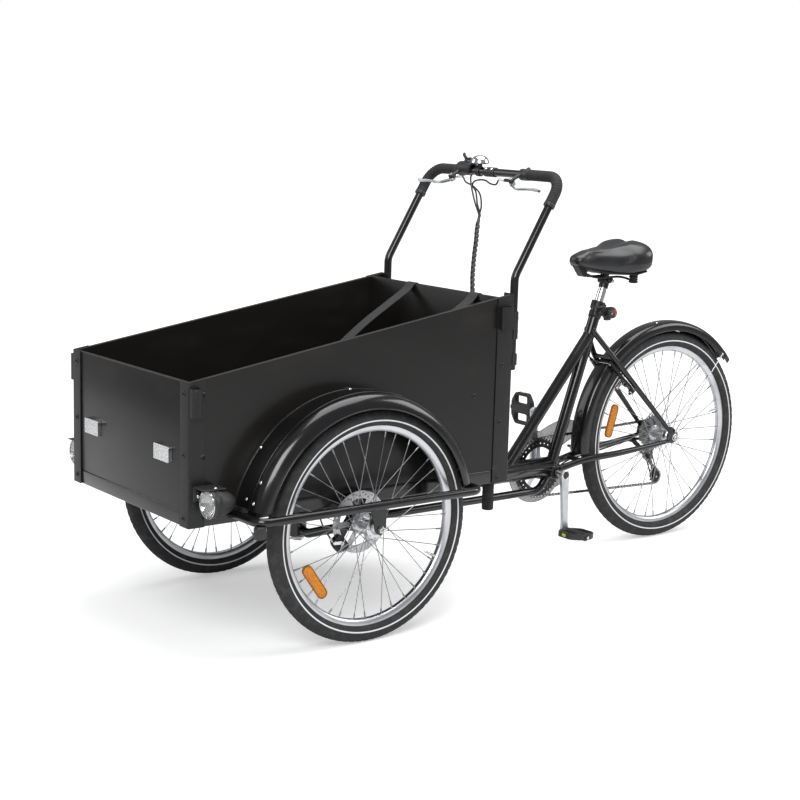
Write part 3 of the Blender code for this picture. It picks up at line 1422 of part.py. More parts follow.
def posts(carrier):
    """Four angle-section corner posts, the front ones with stake pockets, the rear ones with bar clamps."""
    side = BOX_SIDE
    inner = side - ANGLE_T
    front = BOX_FRONT
    outline = [
        (side, front), (side, front + FRONT_POST_SIDE_LEG), (inner, front + FRONT_POST_SIDE_LEG),
        (inner, front + ANGLE_T), (side - FRONT_POST_FRONT_LEG, front + ANGLE_T), (side - FRONT_POST_FRONT_LEG, front),
    ]
    left = joined(angle_post(outline), stake_pocket(front + 0.002, front + 0.028, 0.603, 0.671, 0.019))
    right = mirrored(left)
    keep("front_left_post", left, "satin_black_steel", carrier)
    keep("front_right_post", right, "satin_black_steel", carrier)
    back = POST_BACK
    outline = [
        (side, back), (side, back - REAR_POST_SIDE_LEG), (inner, back - REAR_POST_SIDE_LEG), (inner, back - ANGLE_T),
        (side - REAR_POST_BACK_LEG, back - ANGLE_T), (side - REAR_POST_BACK_LEG, back),
    ]
    pieces = [angle_post(outline), stake_pocket(back - 0.052, back - 0.012, 0.753, 0.812, 0.017)]
    for low, high in CLAMP_HEIGHTS:
        pieces.append(box(spot(BAR_X - 0.0155, back - 0.001, low), spot(BAR_X + 0.0155, BAR_Y + BAR_R + 0.005, high)))
    left = joined(*pieces)
    bore = rod(spot(BAR_X, BAR_Y, BAR_FOOT_Z - 0.02), spot(BAR_X, BAR_Y, BAR_KNEE_Z), BAR_R + 0.0010, 12)
    left = cut(left, bore)
    right = mirrored(left)
    keep("rear_left_post", left, "satin_black_steel", carrier)
    keep("rear_right_post", right, "satin_black_steel", carrier)


CLAMP_HEIGHTS = ((0.652, 0.682), (0.722, 0.795))


FRONT_FENDER_R = 0.338
FRONT_FENDER_EDGE = 14.3


def front_fender():
    """Left mudguard from the rail's front cross part over to its rear one, with a foot at each end."""
    middle = (RAIL_REAR - RAIL_FRONT) / 2
    centre = spot(WHEEL_X, middle, FRONT_AXLE_Z)
    inner = BOX_SIDE + 0.0012 - WHEEL_X
    profile = [
        (inner, FRONT_FENDER_R - 0.002), (0.004, FRONT_FENDER_R + 0.001), (0.030, FRONT_FENDER_R - 0.004),
        (0.0415, FRONT_FENDER_R - 0.017), (0.0450, FRONT_FENDER_R - 0.036),
    ]
    sheet = solidify(swept_sheet(profile, FRONT_FENDER_EDGE, 180 - FRONT_FENDER_EDGE, 15, centre), FENDER_T, 0.0)
    feet = []
    edge = math.radians(FRONT_FENDER_EDGE)
    end_z = centre.z + FRONT_FENDER_R * math.sin(edge)
    for way in (1, -1):
        y = centre.y + way * FRONT_FENDER_R * math.cos(edge)
        rail_y = spot(0, RAIL_REAR if way > 0 else -RAIL_FRONT, 0).y
        near, far = sorted((y - way * 0.003, rail_y + way * 0.003))
        low = Vector((WHEEL_X - 0.030, near, RAIL_Z + RAIL_R + GAP))
        feet.append(box(low, Vector((WHEEL_X - 0.005, far, end_z + 0.004))))
    return joined(sheet, *feet)


def headlight():
    """Left lamp: a tapered round housing under an angle bracket on the corner post."""
    profile = [
        (0.0, 0.0), (0.0310, 0.0), (LAMP_R, 0.006), (0.0335, 0.026), (0.024, 0.058), (0.014, 0.074), (0.0, 0.074),
    ]
    centre = spot(LAMP_X, LAMP_Y, LAMP_Z)
    shell = turned(profile, 14, centre, "Y")
    shelf_z = LAMP_Z + LAMP_R
    shelf = box(spot(BOX_SIDE + GAP, LAMP_Y - 0.014, shelf_z - 0.003), spot(LAMP_X + 0.012, LAMP_Y + 0.046, shelf_z + 0.002))
    flange = box(spot(BOX_SIDE + GAP, LAMP_Y - 0.014, LAMP_Z), spot(BOX_SIDE + 0.003, LAMP_Y + 0.016, shelf_z - 0.001))
    return joined(shell, shelf, flange)


LAMP_X = BOX_SIDE + 0.0415
LAMP_Y = BOX_FRONT + 0.025
LAMP_Z = 0.402
CALIPER_WAY = Vector((0, -0.787, -0.617))


def caliper():
    """Left disc caliper: a block astride the rotor, on the arm of the inner dropout."""
    inner = PLATE_IN_X + DROPOUT_T / 2 + GAP
    body = box((inner, -0.022, 0.060), (inner + 0.0178, 0.022, 0.094), 0.003)
    slot = box((ROTOR_X - 0.0023, -0.04, 0.050), (ROTOR_X + 0.0023, 0.04, ROTOR_R + 0.0025))
    tangent_way = CALIPER_WAY.cross(Vector((1, 0, 0)))
    place = Matrix.Translation(spot(0, 0, FRONT_AXLE_Z)) @ Matrix((
        (1, 0, 0, 0), (0, tangent_way.y, CALIPER_WAY.y, 0), (0, tangent_way.z, CALIPER_WAY.z, 0), (0, 0, 0, 1),
    ))
    return moved(cut(body, slot), place)


# Push bar and controls

BAR_TOP_Y = BAR_Y + (BAR_TOP_Z - BAR_KNEE_Z) * BAR_LEAN
BAR_CORNER_R = 0.050
LEVER_CLAMP_X = 0.1277
LEVER_CLAMP_HALF = 0.012
LEVER_WAY = Vector((0, -0.880, -0.475))
LEVER_AXIS = Vector((0, 0.475, -0.880))
LEVER_DROP = 0.046
LEVER_PIVOT_X = 0.122
LEVER_TIP_X = 0.256
LEVER_GAP = 0.068
RIGHT_OUTSET = 0.017


def push_bar(carrier):
    """One bent tube: two uprights, a knee, a lean to the rear and a crossbar."""
    route = [
        spot(BAR_X, BAR_Y, BAR_FOOT_Z), spot(BAR_X, BAR_Y, BAR_KNEE_Z), spot(BAR_X, BAR_TOP_Y, BAR_TOP_Z),
        spot(-BAR_X, BAR_TOP_Y, BAR_TOP_Z), spot(-BAR_X, BAR_Y, BAR_KNEE_Z), spot(-BAR_X, BAR_Y, BAR_FOOT_Z),
    ]
    keep("push_bar", tube(rounded(route, BAR_CORNER_R, 3), BAR_R), "gloss_black_paint", carrier)


def grip(outset):
    """Left rubber grip round the top corner of the bar, from the lever clamp to the leaning leg."""
    corner = spot(BAR_X, BAR_TOP_Y, BAR_TOP_Z)
    down = (spot(BAR_X, BAR_Y, BAR_KNEE_Z) - corner).normalized()
    inner_end = LEVER_CLAMP_X + LEVER_CLAMP_HALF + outset + GAP
    route = [corner + down * (BAR_CORNER_R + GRIP_LEG), corner, spot(inner_end, BAR_TOP_Y, BAR_TOP_Z)]
    return pipe(rounded(route, BAR_CORNER_R, 3), GRIP_R, GRIP_R - BAR_R - 0.0011)


def outset(piece):
    """A left piece's mirror image, further out by the width of the gear shifter."""
    return moved(mirrored(piece), Matrix.Translation((-RIGHT_OUTSET, 0, 0)))


def bar_ring(x_low, x_high, radius):
    return rod(spot(x_low, BAR_TOP_Y, BAR_TOP_Z), spot(x_high, BAR_TOP_Y, BAR_TOP_Z), radius, 10)


def bar_bore(x_low, x_high):
    return rod(spot(x_low, BAR_TOP_Y, BAR_TOP_Z), spot(x_high, BAR_TOP_Y, BAR_TOP_Z), BAR_R + 0.0010, 12)


def lever_pivot():
    return spot(LEVER_PIVOT_X, BAR_TOP_Y, BAR_TOP_Z) + LEVER_WAY * LEVER_DROP


def barrel_end():
    """Where the left brake cable leaves its lever."""
    return lever_pivot() - LEVER_AXIS * 0.0064 - Vector((0.040, 0, 0))


def lever_mount():
    """Left clamp on the bar with an arm down to the lever's pivot pin and a cable barrel."""
    clamp = bar_ring(LEVER_CLAMP_X - LEVER_CLAMP_HALF, LEVER_CLAMP_X + LEVER_CLAMP_HALF, 0.0165)
    start = spot(LEVER_CLAMP_X - 0.004, BAR_TOP_Y, BAR_TOP_Z) - LEVER_AXIS * 0.0064 + LEVER_WAY * 0.0122
    pin_spot = lever_pivot()
    arm = tube([start, pin_spot - LEVER_AXIS * 0.0068 + LEVER_WAY * 0.002], 0.0049, 1)
    disc = rod(pin_spot - LEVER_AXIS * 0.0115, pin_spot - LEVER_AXIS * 0.0014, 0.0085, 10)
    pin = rod(pin_spot - LEVER_AXIS * 0.006, pin_spot + LEVER_AXIS * 0.0095, 0.0030, 8)
    barrel = rod(pin_spot - LEVER_AXIS * 0.0064 - Vector((0.003, 0, 0)), barrel_end(), 0.0048, 7)
    return joined(clamp, arm, disc, pin, barrel)


def lever_blade():
    """Left brake lever: an eye on the pivot pin and a curved blade below the grip."""
    pin_spot = lever_pivot()
    eye = rod(pin_spot - LEVER_AXIS * 0.0009, pin_spot + LEVER_AXIS * 0.0085, 0.0085, 10)
    middle = pin_spot + LEVER_AXIS * 0.0042
    drop = LEVER_GAP - LEVER_DROP
    reach = LEVER_TIP_X - LEVER_PIVOT_X
    route = [
        middle, middle + Vector((0.018, 0, 0)) + LEVER_WAY * 0.014, middle + Vector((0.040, 0, 0)) + LEVER_WAY * (drop + 0.001),
        middle + Vector((0.085, 0, 0)) + LEVER_WAY * (drop - 0.003), middle + Vector((reach, 0, 0)) + LEVER_WAY * drop,
    ]
    route.append(route[-1] + Vector((0.004, 0, 0)))
    blade = tube(route, 0.0046, 1, [1.0, 1.0, 1.0, 0.9, 1.4, 0.8])
    piece = joined(eye, blade)
    return cut(piece, rod(pin_spot - LEVER_AXIS * 0.03, pin_spot + LEVER_AXIS * 0.03, 0.0030 + 0.0009, 8))


SHIFTER_X = -0.119
GEAR_Z = BAR_TOP_Z + 0.0300


def shifter_body():
    """Gear shifter housing on the right side of the bar, with a stub for its lever."""
    shell = rod(
        spot(SHIFTER_X - 0.034, BAR_TOP_Y, BAR_TOP_Z + 0.006), spot(SHIFTER_X + 0.025, BAR_TOP_Y, BAR_TOP_Z + 0.006),
        0.0200, 14,
    )
    stub = rod(spot(SHIFTER_X, BAR_TOP_Y, BAR_TOP_Z + 0.015), spot(SHIFTER_X, BAR_TOP_Y, GEAR_Z - RUNNING), 0.0110, 10)
    pin = rod(spot(SHIFTER_X, BAR_TOP_Y, BAR_TOP_Z + 0.015), spot(SHIFTER_X, BAR_TOP_Y, GEAR_Z + 0.009), 0.0030, 8)
    return [shell, stub, pin]


def gear_lever(carrier):
    hub = rod(spot(SHIFTER_X, BAR_TOP_Y, GEAR_Z), spot(SHIFTER_X, BAR_TOP_Y, GEAR_Z + 0.007), 0.0105, 10)
    start = spot(SHIFTER_X - 0.0055, BAR_TOP_Y, GEAR_Z + 0.0040)
    arm = tube([start, start + Vector((-0.013, 0.005, 0.003)), start + Vector((-0.028, 0.010, 0.013))], 0.0045, 1)
    bore = rod(spot(SHIFTER_X, BAR_TOP_Y, GEAR_Z - 0.01), spot(SHIFTER_X, BAR_TOP_Y, GEAR_Z + 0.03), 0.0039, 8)
    keep("gear_lever", cut(joined(hub, arm), bore), "black_plastic", carrier)


BELL_X = -0.066


def bell(carrier):
    clamp = bar_ring(BELL_X - 0.008, BELL_X + 0.008, 0.0150)
    stem = rod(spot(BELL_X, BAR_TOP_Y, BAR_TOP_Z + 0.012), spot(BELL_X, BAR_TOP_Y, BAR_TOP_Z + 0.024), 0.0075, 10)
    dome = turned(
        [(0.0, 0.046), (0.014, 0.043), (0.0235, 0.034), (0.0265, 0.023), (0.0, 0.021)],
        12, spot(BELL_X, BAR_TOP_Y, BAR_TOP_Z), "Z",
    )
    piece = cut(joined(clamp, stem, dome), bar_bore(BELL_X - 0.03, BELL_X + 0.03))
    keep("bell", piece, "chrome", carrier)


# Straps and cables

STRAP_T = 0.002
STRAP_W = 0.040
STRAP_X = (-0.093, 0.184)
CABLE_R = 0.0025
HOSE_R = 0.0022
BUNDLE_R = 0.0045
WRAP_TURNS = 17
WRAP_LENGTH = 0.265
WRAP_END = (0.132, 0.4945, 0.72)
WRAP_STEPS = 6
WRAP_T = 0.0011
WRAP_BAND = 0.0115
WRAP_INNER_R = 0.0055
CABLE_MEET = spot(-0.040, 0.100, 0.318)
CABLE_MEET_WAY = Vector((0, -0.75, -0.66)).normalized()
BUNDLE_ROUTE = [
    (0.0265, 0.601, 1.019), (0.042, 0.583, 0.990), (0.0587, 0.5677, 0.9652), (0.073, 0.5515, 0.9325),
    (0.0889, 0.5353, 0.9002), (0.1064, 0.5192, 0.8682), (0.125, 0.505, 0.8335), (0.1315, 0.4965, 0.795),
    (0.132, 0.4945, 0.72), (0.132, 0.4945, 0.63), (0.132, 0.4945, 0.54), (0.132, 0.503, 0.45),
    (0.132, 0.5125, 0.385), (0.1318, 0.5130, 0.348), (0.1312, 0.5110, 0.3330), (0.1300, 0.5030, 0.3270),
    (0.1280, 0.4900, 0.3262),
    (0.110, 0.400, 0.3290), (0.075, 0.300, 0.3295), (0.020, 0.215, 0.3295), (-0.022, 0.160, 0.3290),
    (-0.036, 0.128, 0.3265),
]


def strap(x):
    """Webbing over the rear panel's top edge, down inside the box to the floor."""
    half = STRAP_T / 2
    near = half + GAP
    edge = REAR_TOP + near
    top = [(BOX_REAR + near, 0.770), (BOX_REAR + near, edge), (BOX_REAR - PLY - near, edge)]
    rest = smooth(
        [(0, BOX_REAR - PLY - near - 0.004, edge - 0.003), (0, 0.300, 0.730), (0, 0.120, 0.590), (0, -0.020, 0.440),
         (0, -0.080, CROSS_TOP + GAP + PLY + near + 0.0006)], 12,
    )
    line = [Vector(point) for point in top] + [Vector((p.y, p.z)) for p in rest]
    sides = ([], [])
    for index, point in enumerate(line):
        before = (point - line[index - 1]).normalized() if index else (line[1] - point).normalized()
        after = (line[index + 1] - point).normalized() if index + 1 < len(line) else before
        normal = Vector((-before.y - after.y, before.x + after.x)).normalized()
        reach = half / max(0.5, normal.dot(Vector((-after.y, after.x))))
        sides[0].append(point + normal * reach)
        sides[1].append(point - normal * reach)
    outline = [(p.x, p.y) for p in sides[0] + sides[1][::-1]]
    return plate([shifted(outline, FRONT_Y, 0)], STRAP_W, "X", x)


def routed(points, count, radius, resolution=0):
    """A cable along the smooth curve through its route."""
    return tube(smooth(points, count), radius, resolution)


def lengths(line):
    """Distance along a polyline at each of its points."""
    return np.concatenate([[0.0], np.cumsum(np.linalg.norm(np.diff(line, axis=0), axis=1))])


def bundle_line():
    """Points of the cable bundle, closer together where the spiral wrap lies on it."""
    route = [spot(*point) for point in BUNDLE_ROUTE]
    fine = np.array([tuple(p) for p in smooth(route, 400)])
    along = lengths(fine)
    places = np.linspace(0.0, WRAP_LENGTH + 0.03, 16)
    wrapped = np.stack([np.interp(places, along, fine[:, k]) for k in range(3)], 1)
    bare = route[BUNDLE_ROUTE.index(WRAP_END) + 1:]
    return np.vstack([wrapped, np.array([tuple(p) for p in bare])])


def control_cables(carrier):
    """Three housings from the levers and the shifter, one bundle behind the box and the runs under it."""
    left_end = barrel_end() - Vector((GAP, 0, 0))
    right_end = Vector((-barrel_end().x - RIGHT_OUTSET + GAP, barrel_end().y, barrel_end().z))
    gear_end = spot(SHIFTER_X + 0.025 + GAP + 0.0005, 0.6640, 1.1385)
    left = [
        left_end, left_end - Vector((0.012, 0, 0)), spot(0.052, 0.637, 1.1165), spot(0.010, 0.652, 1.1165),
        spot(-0.030, 0.669, 1.1225), spot(-0.056, 0.672, 1.1235), spot(-0.068, 0.660, 1.119),
        spot(-0.054, 0.641, 1.108), spot(-0.0239, 0.629, 1.092), spot(0.0007, 0.6155, 1.060),
    ]
    gear = [
        gear_end, gear_end + Vector((0.010, -0.004, -0.003)), spot(-0.062, 0.640, 1.127), spot(-0.035, 0.622, 1.105),
        spot(-0.004, 0.609, 1.068),
    ]
    right = [
        right_end, right_end + Vector((0.012, 0, 0)), spot(-0.070, 0.630, 1.1165), spot(-0.0357, 0.628, 1.1075),
        spot(0.002, 0.622, 1.088), spot(0.0200, 0.614, 1.055),
    ]
    pieces = [tube([Vector(point) for point in bundle_line()], BUNDLE_R, 1)]
    top = spot(*BUNDLE_ROUTE[0])
    way = (spot(*BUNDLE_ROUTE[1]) - top).normalized()
    across = way.cross(Vector((0, 1, 0))).normalized()
    for route, count, beside in ((left, 14, across), (gear, 9, way.cross(across)), (right, 11, -across)):
        for back, out in ((0.016, 0.0026), (0.003, 0.0017), (-0.004, 0.0012)):
            route.append(top - way * back + beside * out)
        pieces.append(routed(route, count, CABLE_R))
    lead = [
        spot(-0.034, 0.132, 0.3270), spot(-0.0385, 0.112, 0.3235), CABLE_MEET - CABLE_MEET_WAY * 0.006,
        CABLE_MEET - CABLE_MEET_WAY * GAP / 2,
    ]
    pieces.append(tube(lead, BUNDLE_R - 0.0003, 1))
    up = Vector((0, CALIPER_WAY.z, -CALIPER_WAY.y))
    end = spot(ROTOR_X + 0.0012, 0, FRONT_AXLE_Z) + CALIPER_WAY * 0.088 + up * (0.022 + GAP)
    for side, first in ((1, (0.052, 0.262, 0.3297)), (-1, (-0.012, 0.174, 0.3293))):
        route = [
            spot(*first), spot(side * 0.090, 0.150, 0.3300), spot(side * 0.150, 0.075, 0.3300),
            spot(side * 0.210, 0.000, 0.3300), spot(side * 0.258, -0.060, 0.3295), spot(side * 0.292, -0.100, 0.3235),
            spot(side * 0.313, -0.106, 0.300), Vector((side * end.x, end.y, end.z)) + up * 0.010,
            Vector((side * end.x, end.y, end.z)),
        ]
        pieces.append(routed(route, 12, HOSE_R))
    keep("control_cables", joined(*pieces), "cable_black", carrier)


def cable_wrap(carrier):
    """Flat band wound round the cable bundle in one unbroken helix, from its top to behind the box."""
    line = bundle_line()
    along = lengths(line)
    pitch = WRAP_LENGTH / WRAP_TURNS
    count = WRAP_TURNS * WRAP_STEPS + 1
    middle = 0.012 + np.arange(count) / WRAP_STEPS * pitch
    turn = 2 * np.pi * np.arange(count) / WRAP_STEPS
    edges = []
    for shift in (-WRAP_BAND / 2, WRAP_BAND / 2):
        place = np.clip(middle + shift, 0.0, along[-1])
        point = np.stack([np.interp(place, along, line[:, k]) for k in range(3)], 1)
        ahead = np.stack([np.interp(place + 0.004, along, line[:, k]) for k in range(3)], 1)
        way = ahead - point
        way /= np.linalg.norm(way, axis=1)[:, None]
        across = np.cross(way, (0.0, 1.0, 0.0))
        across /= np.linalg.norm(across, axis=1)[:, None]
        other = np.cross(way, across)
        edges.append(point + WRAP_INNER_R * (across * np.cos(turn)[:, None] + other * np.sin(turn)[:, None]))
    first, second = edges
    shape = bmesh.new()
    rows = [(shape.verts.new(a), shape.verts.new(b)) for a, b in zip(first, second)]
    for (a, b), (c, d) in zip(rows, rows[1:]):
        shape.faces.new((a, b, d, c))
    bmesh.ops.recalc_face_normals(shape, faces=shape.faces)
    band = from_bmesh(shape)
    normal = band.data.polygons[0].normal
    outward = Vector(first[0]) - Vector([np.interp(middle[0], along, line[:, k]) for k in range(3)])
    keep("cable_wrap", solidify(band, WRAP_T, 1.0 if normal.dot(outward) > 0 else -1.0), "black_plastic", carrier, 40)


def rear_cables(carrier):
    """Brake and gear cables: one loop from under the box to the beam, then a run for each."""
    meet = CABLE_MEET + CABLE_MEET_WAY * GAP / 2
    loop = [
        meet, meet + CABLE_MEET_WAY * 0.008, spot(-0.0395, 0.0865, 0.300), spot(-0.0385, 0.0885, 0.287),
        spot(-0.0365, 0.100, 0.2770), spot(-0.0352, 0.122, 0.2740), spot(-0.0350, 0.155, 0.2740),
        spot(-0.0350, 0.195, 0.2740),
    ]
    low = BEAM_R + CABLE_R + 0.0006
    diagonal = low * math.sqrt(0.5)
    under = BEAM_Z - diagonal
    shell_under = CRANK_Z - SHELL_R - CABLE_R - 0.0014
    gear = [
        spot(-0.0348, 0.185, 0.2735), spot(-0.0322, 0.235, BEAM_Z - 0.0130), spot(-diagonal, 0.290, under),
        spot(-diagonal, 0.500, under), spot(-diagonal, 0.700, under), spot(-diagonal, CRANK_Y - 0.060, under),
        spot(-0.0240, CRANK_Y - 0.024, shell_under), spot(-0.0240, CRANK_Y + 0.014, shell_under),
        spot(-0.0300, CRANK_Y + 0.060, 0.2550),
        spot(-0.0345, CRANK_Y + 0.100, 0.2715), spot(-0.0430, CRANK_Y + 0.160, 0.2790),
        spot(-0.0520, CRANK_Y + 0.241, 0.2850), spot(-0.0620, CRANK_Y + 0.345, 0.2960),
        spot(-0.0720, WHEELBASE - 0.060, 0.2990), derailleur_front() + Vector((0.0030, -0.0122, 0.0)),
    ]
    side = SEAT_TUBE_R + CABLE_R + 0.0006
    brake_end = BRAKE_FRAME @ Vector((-0.0410, BRAKE_ARM_TOP + GAP + 0.0005, 0.0195))
    brake = [
        spot(-0.0348, 0.185, 0.2745), spot(-0.0318, 0.235, BEAM_Z + 0.0125), spot(-0.0290, 0.290, BEAM_Z + 0.0170),
        spot(-0.0290, 0.500, BEAM_Z + 0.0170), spot(-0.0290, 0.690, BEAM_Z + 0.0170), spot(-0.0255, 0.745, 0.2990),
        spot(-side, 0.800, 0.3388), spot(-side, 0.880, 0.4347), spot(-side, 0.960, 0.5307), spot(-side, 1.030, 0.6120),
        spot(-0.0215, 1.065, 0.6350), spot(-0.0270, 1.092, 0.6290), spot(-0.0360, 1.111, 0.6065),
        brake_end + STAY_WAY * 0.008, brake_end,
    ]
    pieces = [routed(loop, 12, BUNDLE_R - 0.0003), routed(gear, 32, CABLE_R), routed(brake, 32, CABLE_R)]
    keep("rear_cables", joined(*pieces), "cable_black", carrier)


# The whole tricycle

frame = pivot("rear_frame", Vector((0, 0, 0)))
steering = pivot("steering", spot(0, KINGPIN_SETBACK, BRACE_Z), frame)

rollers, phases, wheels, cage_angle = chain_path()
crank_phase, lower_phase, guide_phase, cog_phase = phases
lower_spot = spot(CHAIN_X, 0, 0) + Vector((0, wheels[1][0].x, wheels[1][0].y))
guide_spot = spot(CHAIN_X, 0, 0) + Vector((0, wheels[2][0].x, wheels[2][0].y))

main_frame(frame)
rear_fender(frame)
chain_guard(frame)
derailleur_body(frame, guide_spot)
derailleur_cage(frame, guide_spot, lower_spot)
rear_light(frame)
rear_cables(frame)
keep("chain", chain_links(rollers), "chain_steel", frame)

rear_wheel(pivot("rear_wheel", REAR_SPOT, frame))
cassette(pivot("cassette_axis", REAR_SPOT, frame), cog_phase)
pulley("guide_pulley", pivot("guide_pulley_axis", guide_spot, frame), guide_spot, guide_phase)
pulley("tension_pulley", pivot("tension_pulley_axis", lower_spot, frame), lower_spot, lower_phase)

crank = pivot("crank", CRANK_SPOT, frame)
left_tip = left_crank(crank)
right_tip = right_crank(crank, crank_phase)
pedal_out = Vector((PEDAL_SIDE, 0, 0))
pedal("left_pedal", pivot("left_pedal_axis", left_tip + pedal_out, crank), left_tip, 1, False)
pedal("right_pedal", pivot("right_pedal_axis", right_tip - pedal_out, crank), right_tip, -1, True)

slide = pivot("seat_slide", SEAT_TOP, frame)
seat_post(slide)
saddle(slide)
saddle_frame(slide)
seat_lever(pivot("quick_release_axis", lever_place(), frame))

left_arm = brake_arm()
right_arm = mirrored(left_arm)
left_boss = BRAKE_FRAME @ Vector((BRAKE_X, BRAKE_REACH, 0))
right_boss = BRAKE_FRAME @ Vector((-BRAKE_X, BRAKE_REACH, 0))
keep("left_brake_arm", left_arm, "satin_black_steel", pivot("left_boss_axis", left_boss, frame))
keep("right_brake_arm", right_arm, "satin_black_steel", pivot("right_boss_axis", right_boss, frame))

carrier_frame(steering)
kingpin(steering)
panels(steering)
posts(steering)
left_guard = front_fender()
keep("front_right_fender", mirrored(left_guard), "gloss_black_paint", steering, 50)
keep("front_left_fender", left_guard, "gloss_black_paint", steering, 50)
left_lamp = headlight()
keep("right_headlight", mirrored(left_lamp), "lamp_housing", steering)
keep("left_headlight", left_lamp, "lamp_housing", steering)
left_caliper = caliper()
keep("right_caliper", mirrored(left_caliper), "satin_black_steel", steering)
keep("left_caliper", left_caliper, "satin_black_steel", steering)
left_hub_spot = spot(WHEEL_X, 0, FRONT_AXLE_Z)
right_hub_spot = spot(-WHEEL_X, 0, FRONT_AXLE_Z)
front_wheel(1, pivot("front_left_wheel", left_hub_spot, steering), left_hub_spot, 125)
front_wheel(-1, pivot("front_right_wheel", right_hub_spot, steering), right_hub_spot, 40)

push_bar(steering)
keep("left_grip", grip(0), "black_rubber", steering)
keep("right_grip", mirrored(grip(RIGHT_OUTSET)), "black_rubber", steering)
reach = LEVER_CLAMP_X + LEVER_CLAMP_HALF + 0.02
left_mount = lever_mount()
right_mount = joined(outset(left_mount), *shifter_body())
right_bore = bar_bore(-reach - RIGHT_OUTSET, SHIFTER_X + 0.05)
keep("right_lever_mount", cut(right_mount, right_bore), "black_plastic", steering)
keep("left_lever_mount", cut(left_mount, bar_bore(LEVER_PIVOT_X - 0.02, reach)), "black_plastic", steering)
left_blade = lever_blade()
left_lever_spot = lever_pivot()
right_lever_spot = Vector((-left_lever_spot.x - RIGHT_OUTSET, left_lever_spot.y, left_lever_spot.z))
right_axis = pivot("right_lever_axis", right_lever_spot, steering)
keep("right_brake_lever", outset(left_blade), "rim_alloy", right_axis)
keep("left_brake_lever", left_blade, "rim_alloy", pivot("left_lever_axis", left_lever_spot, steering))
gear_lever(pivot("gear_lever_axis", spot(SHIFTER_X, BAR_TOP_Y, GEAR_Z), steering))
bell(steering)
for name, x in zip(("right_strap", "left_strap"), STRAP_X):
    keep(name, strap(x), "webbing", steering)
control_cables(steering)
cable_wrap(steering)
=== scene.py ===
"""Looks of the box cargo tricycle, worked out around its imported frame.

Metres, +Z up. +X is the rider's left and +Y points backwards. spot(x, y, z) counts y backwards from the
front axle, as the part's source does.
"""

import json
import math

import bpy
import numpy as np
from mathutils import Matrix, Vector
from mathutils.geometry import tessellate_polygon

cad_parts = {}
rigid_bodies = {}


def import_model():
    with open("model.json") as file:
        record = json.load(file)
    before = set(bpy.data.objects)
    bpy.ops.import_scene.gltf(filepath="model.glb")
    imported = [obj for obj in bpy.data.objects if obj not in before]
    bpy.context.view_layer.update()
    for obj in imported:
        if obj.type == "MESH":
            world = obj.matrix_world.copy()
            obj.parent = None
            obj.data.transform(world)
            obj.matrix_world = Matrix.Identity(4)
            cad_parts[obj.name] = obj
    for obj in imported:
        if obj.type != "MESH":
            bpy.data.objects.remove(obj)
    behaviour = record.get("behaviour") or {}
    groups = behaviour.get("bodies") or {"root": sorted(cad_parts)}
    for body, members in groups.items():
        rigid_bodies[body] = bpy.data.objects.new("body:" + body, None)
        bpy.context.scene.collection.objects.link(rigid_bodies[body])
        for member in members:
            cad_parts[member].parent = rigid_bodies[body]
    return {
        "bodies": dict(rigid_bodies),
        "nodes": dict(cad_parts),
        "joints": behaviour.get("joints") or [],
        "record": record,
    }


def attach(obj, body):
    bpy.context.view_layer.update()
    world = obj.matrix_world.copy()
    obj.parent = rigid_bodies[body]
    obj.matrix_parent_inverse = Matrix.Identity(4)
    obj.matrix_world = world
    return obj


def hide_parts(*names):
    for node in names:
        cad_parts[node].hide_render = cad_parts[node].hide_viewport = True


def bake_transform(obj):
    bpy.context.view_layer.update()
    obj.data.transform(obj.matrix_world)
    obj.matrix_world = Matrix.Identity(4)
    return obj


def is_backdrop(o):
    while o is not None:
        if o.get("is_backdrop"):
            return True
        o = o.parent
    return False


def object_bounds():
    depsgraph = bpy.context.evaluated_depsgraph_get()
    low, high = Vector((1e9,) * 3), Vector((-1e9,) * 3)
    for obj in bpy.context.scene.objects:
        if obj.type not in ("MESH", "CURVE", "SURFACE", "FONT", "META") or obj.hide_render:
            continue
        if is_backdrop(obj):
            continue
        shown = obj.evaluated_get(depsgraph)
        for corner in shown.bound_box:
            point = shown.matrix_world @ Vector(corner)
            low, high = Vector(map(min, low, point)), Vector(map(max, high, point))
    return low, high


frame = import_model()

bl_info = {
    "name": "Box cargo tricycle",
    "version": (1, 0, 0),
    "blender": (4, 5, 0),
    "location": "3D View > Sidebar > Tricycle",
    "description": "Builds the visible pieces of a box cargo tricycle around its packed frame",
    "category": "Add Mesh",
}

# Places that the part's source gives

JOINTS = {joint["name"]: joint for joint in frame["joints"]}


def axle(joint):
    """The point of a joint, as an array."""
    return np.array(JOINTS[joint]["pos_m"])


FRONT_AXLE = axle("front_left_wheel_spin")
REAR_AXLE = axle("rear_wheel_spin")
CRANK = axle("crank_spin")
FRONT_Y = FRONT_AXLE[1]


def spot(x, y, z):
    """A point whose y is counted backwards from the front axle."""
    return np.array([x, FRONT_Y + y, z])


# Shapes as arrays

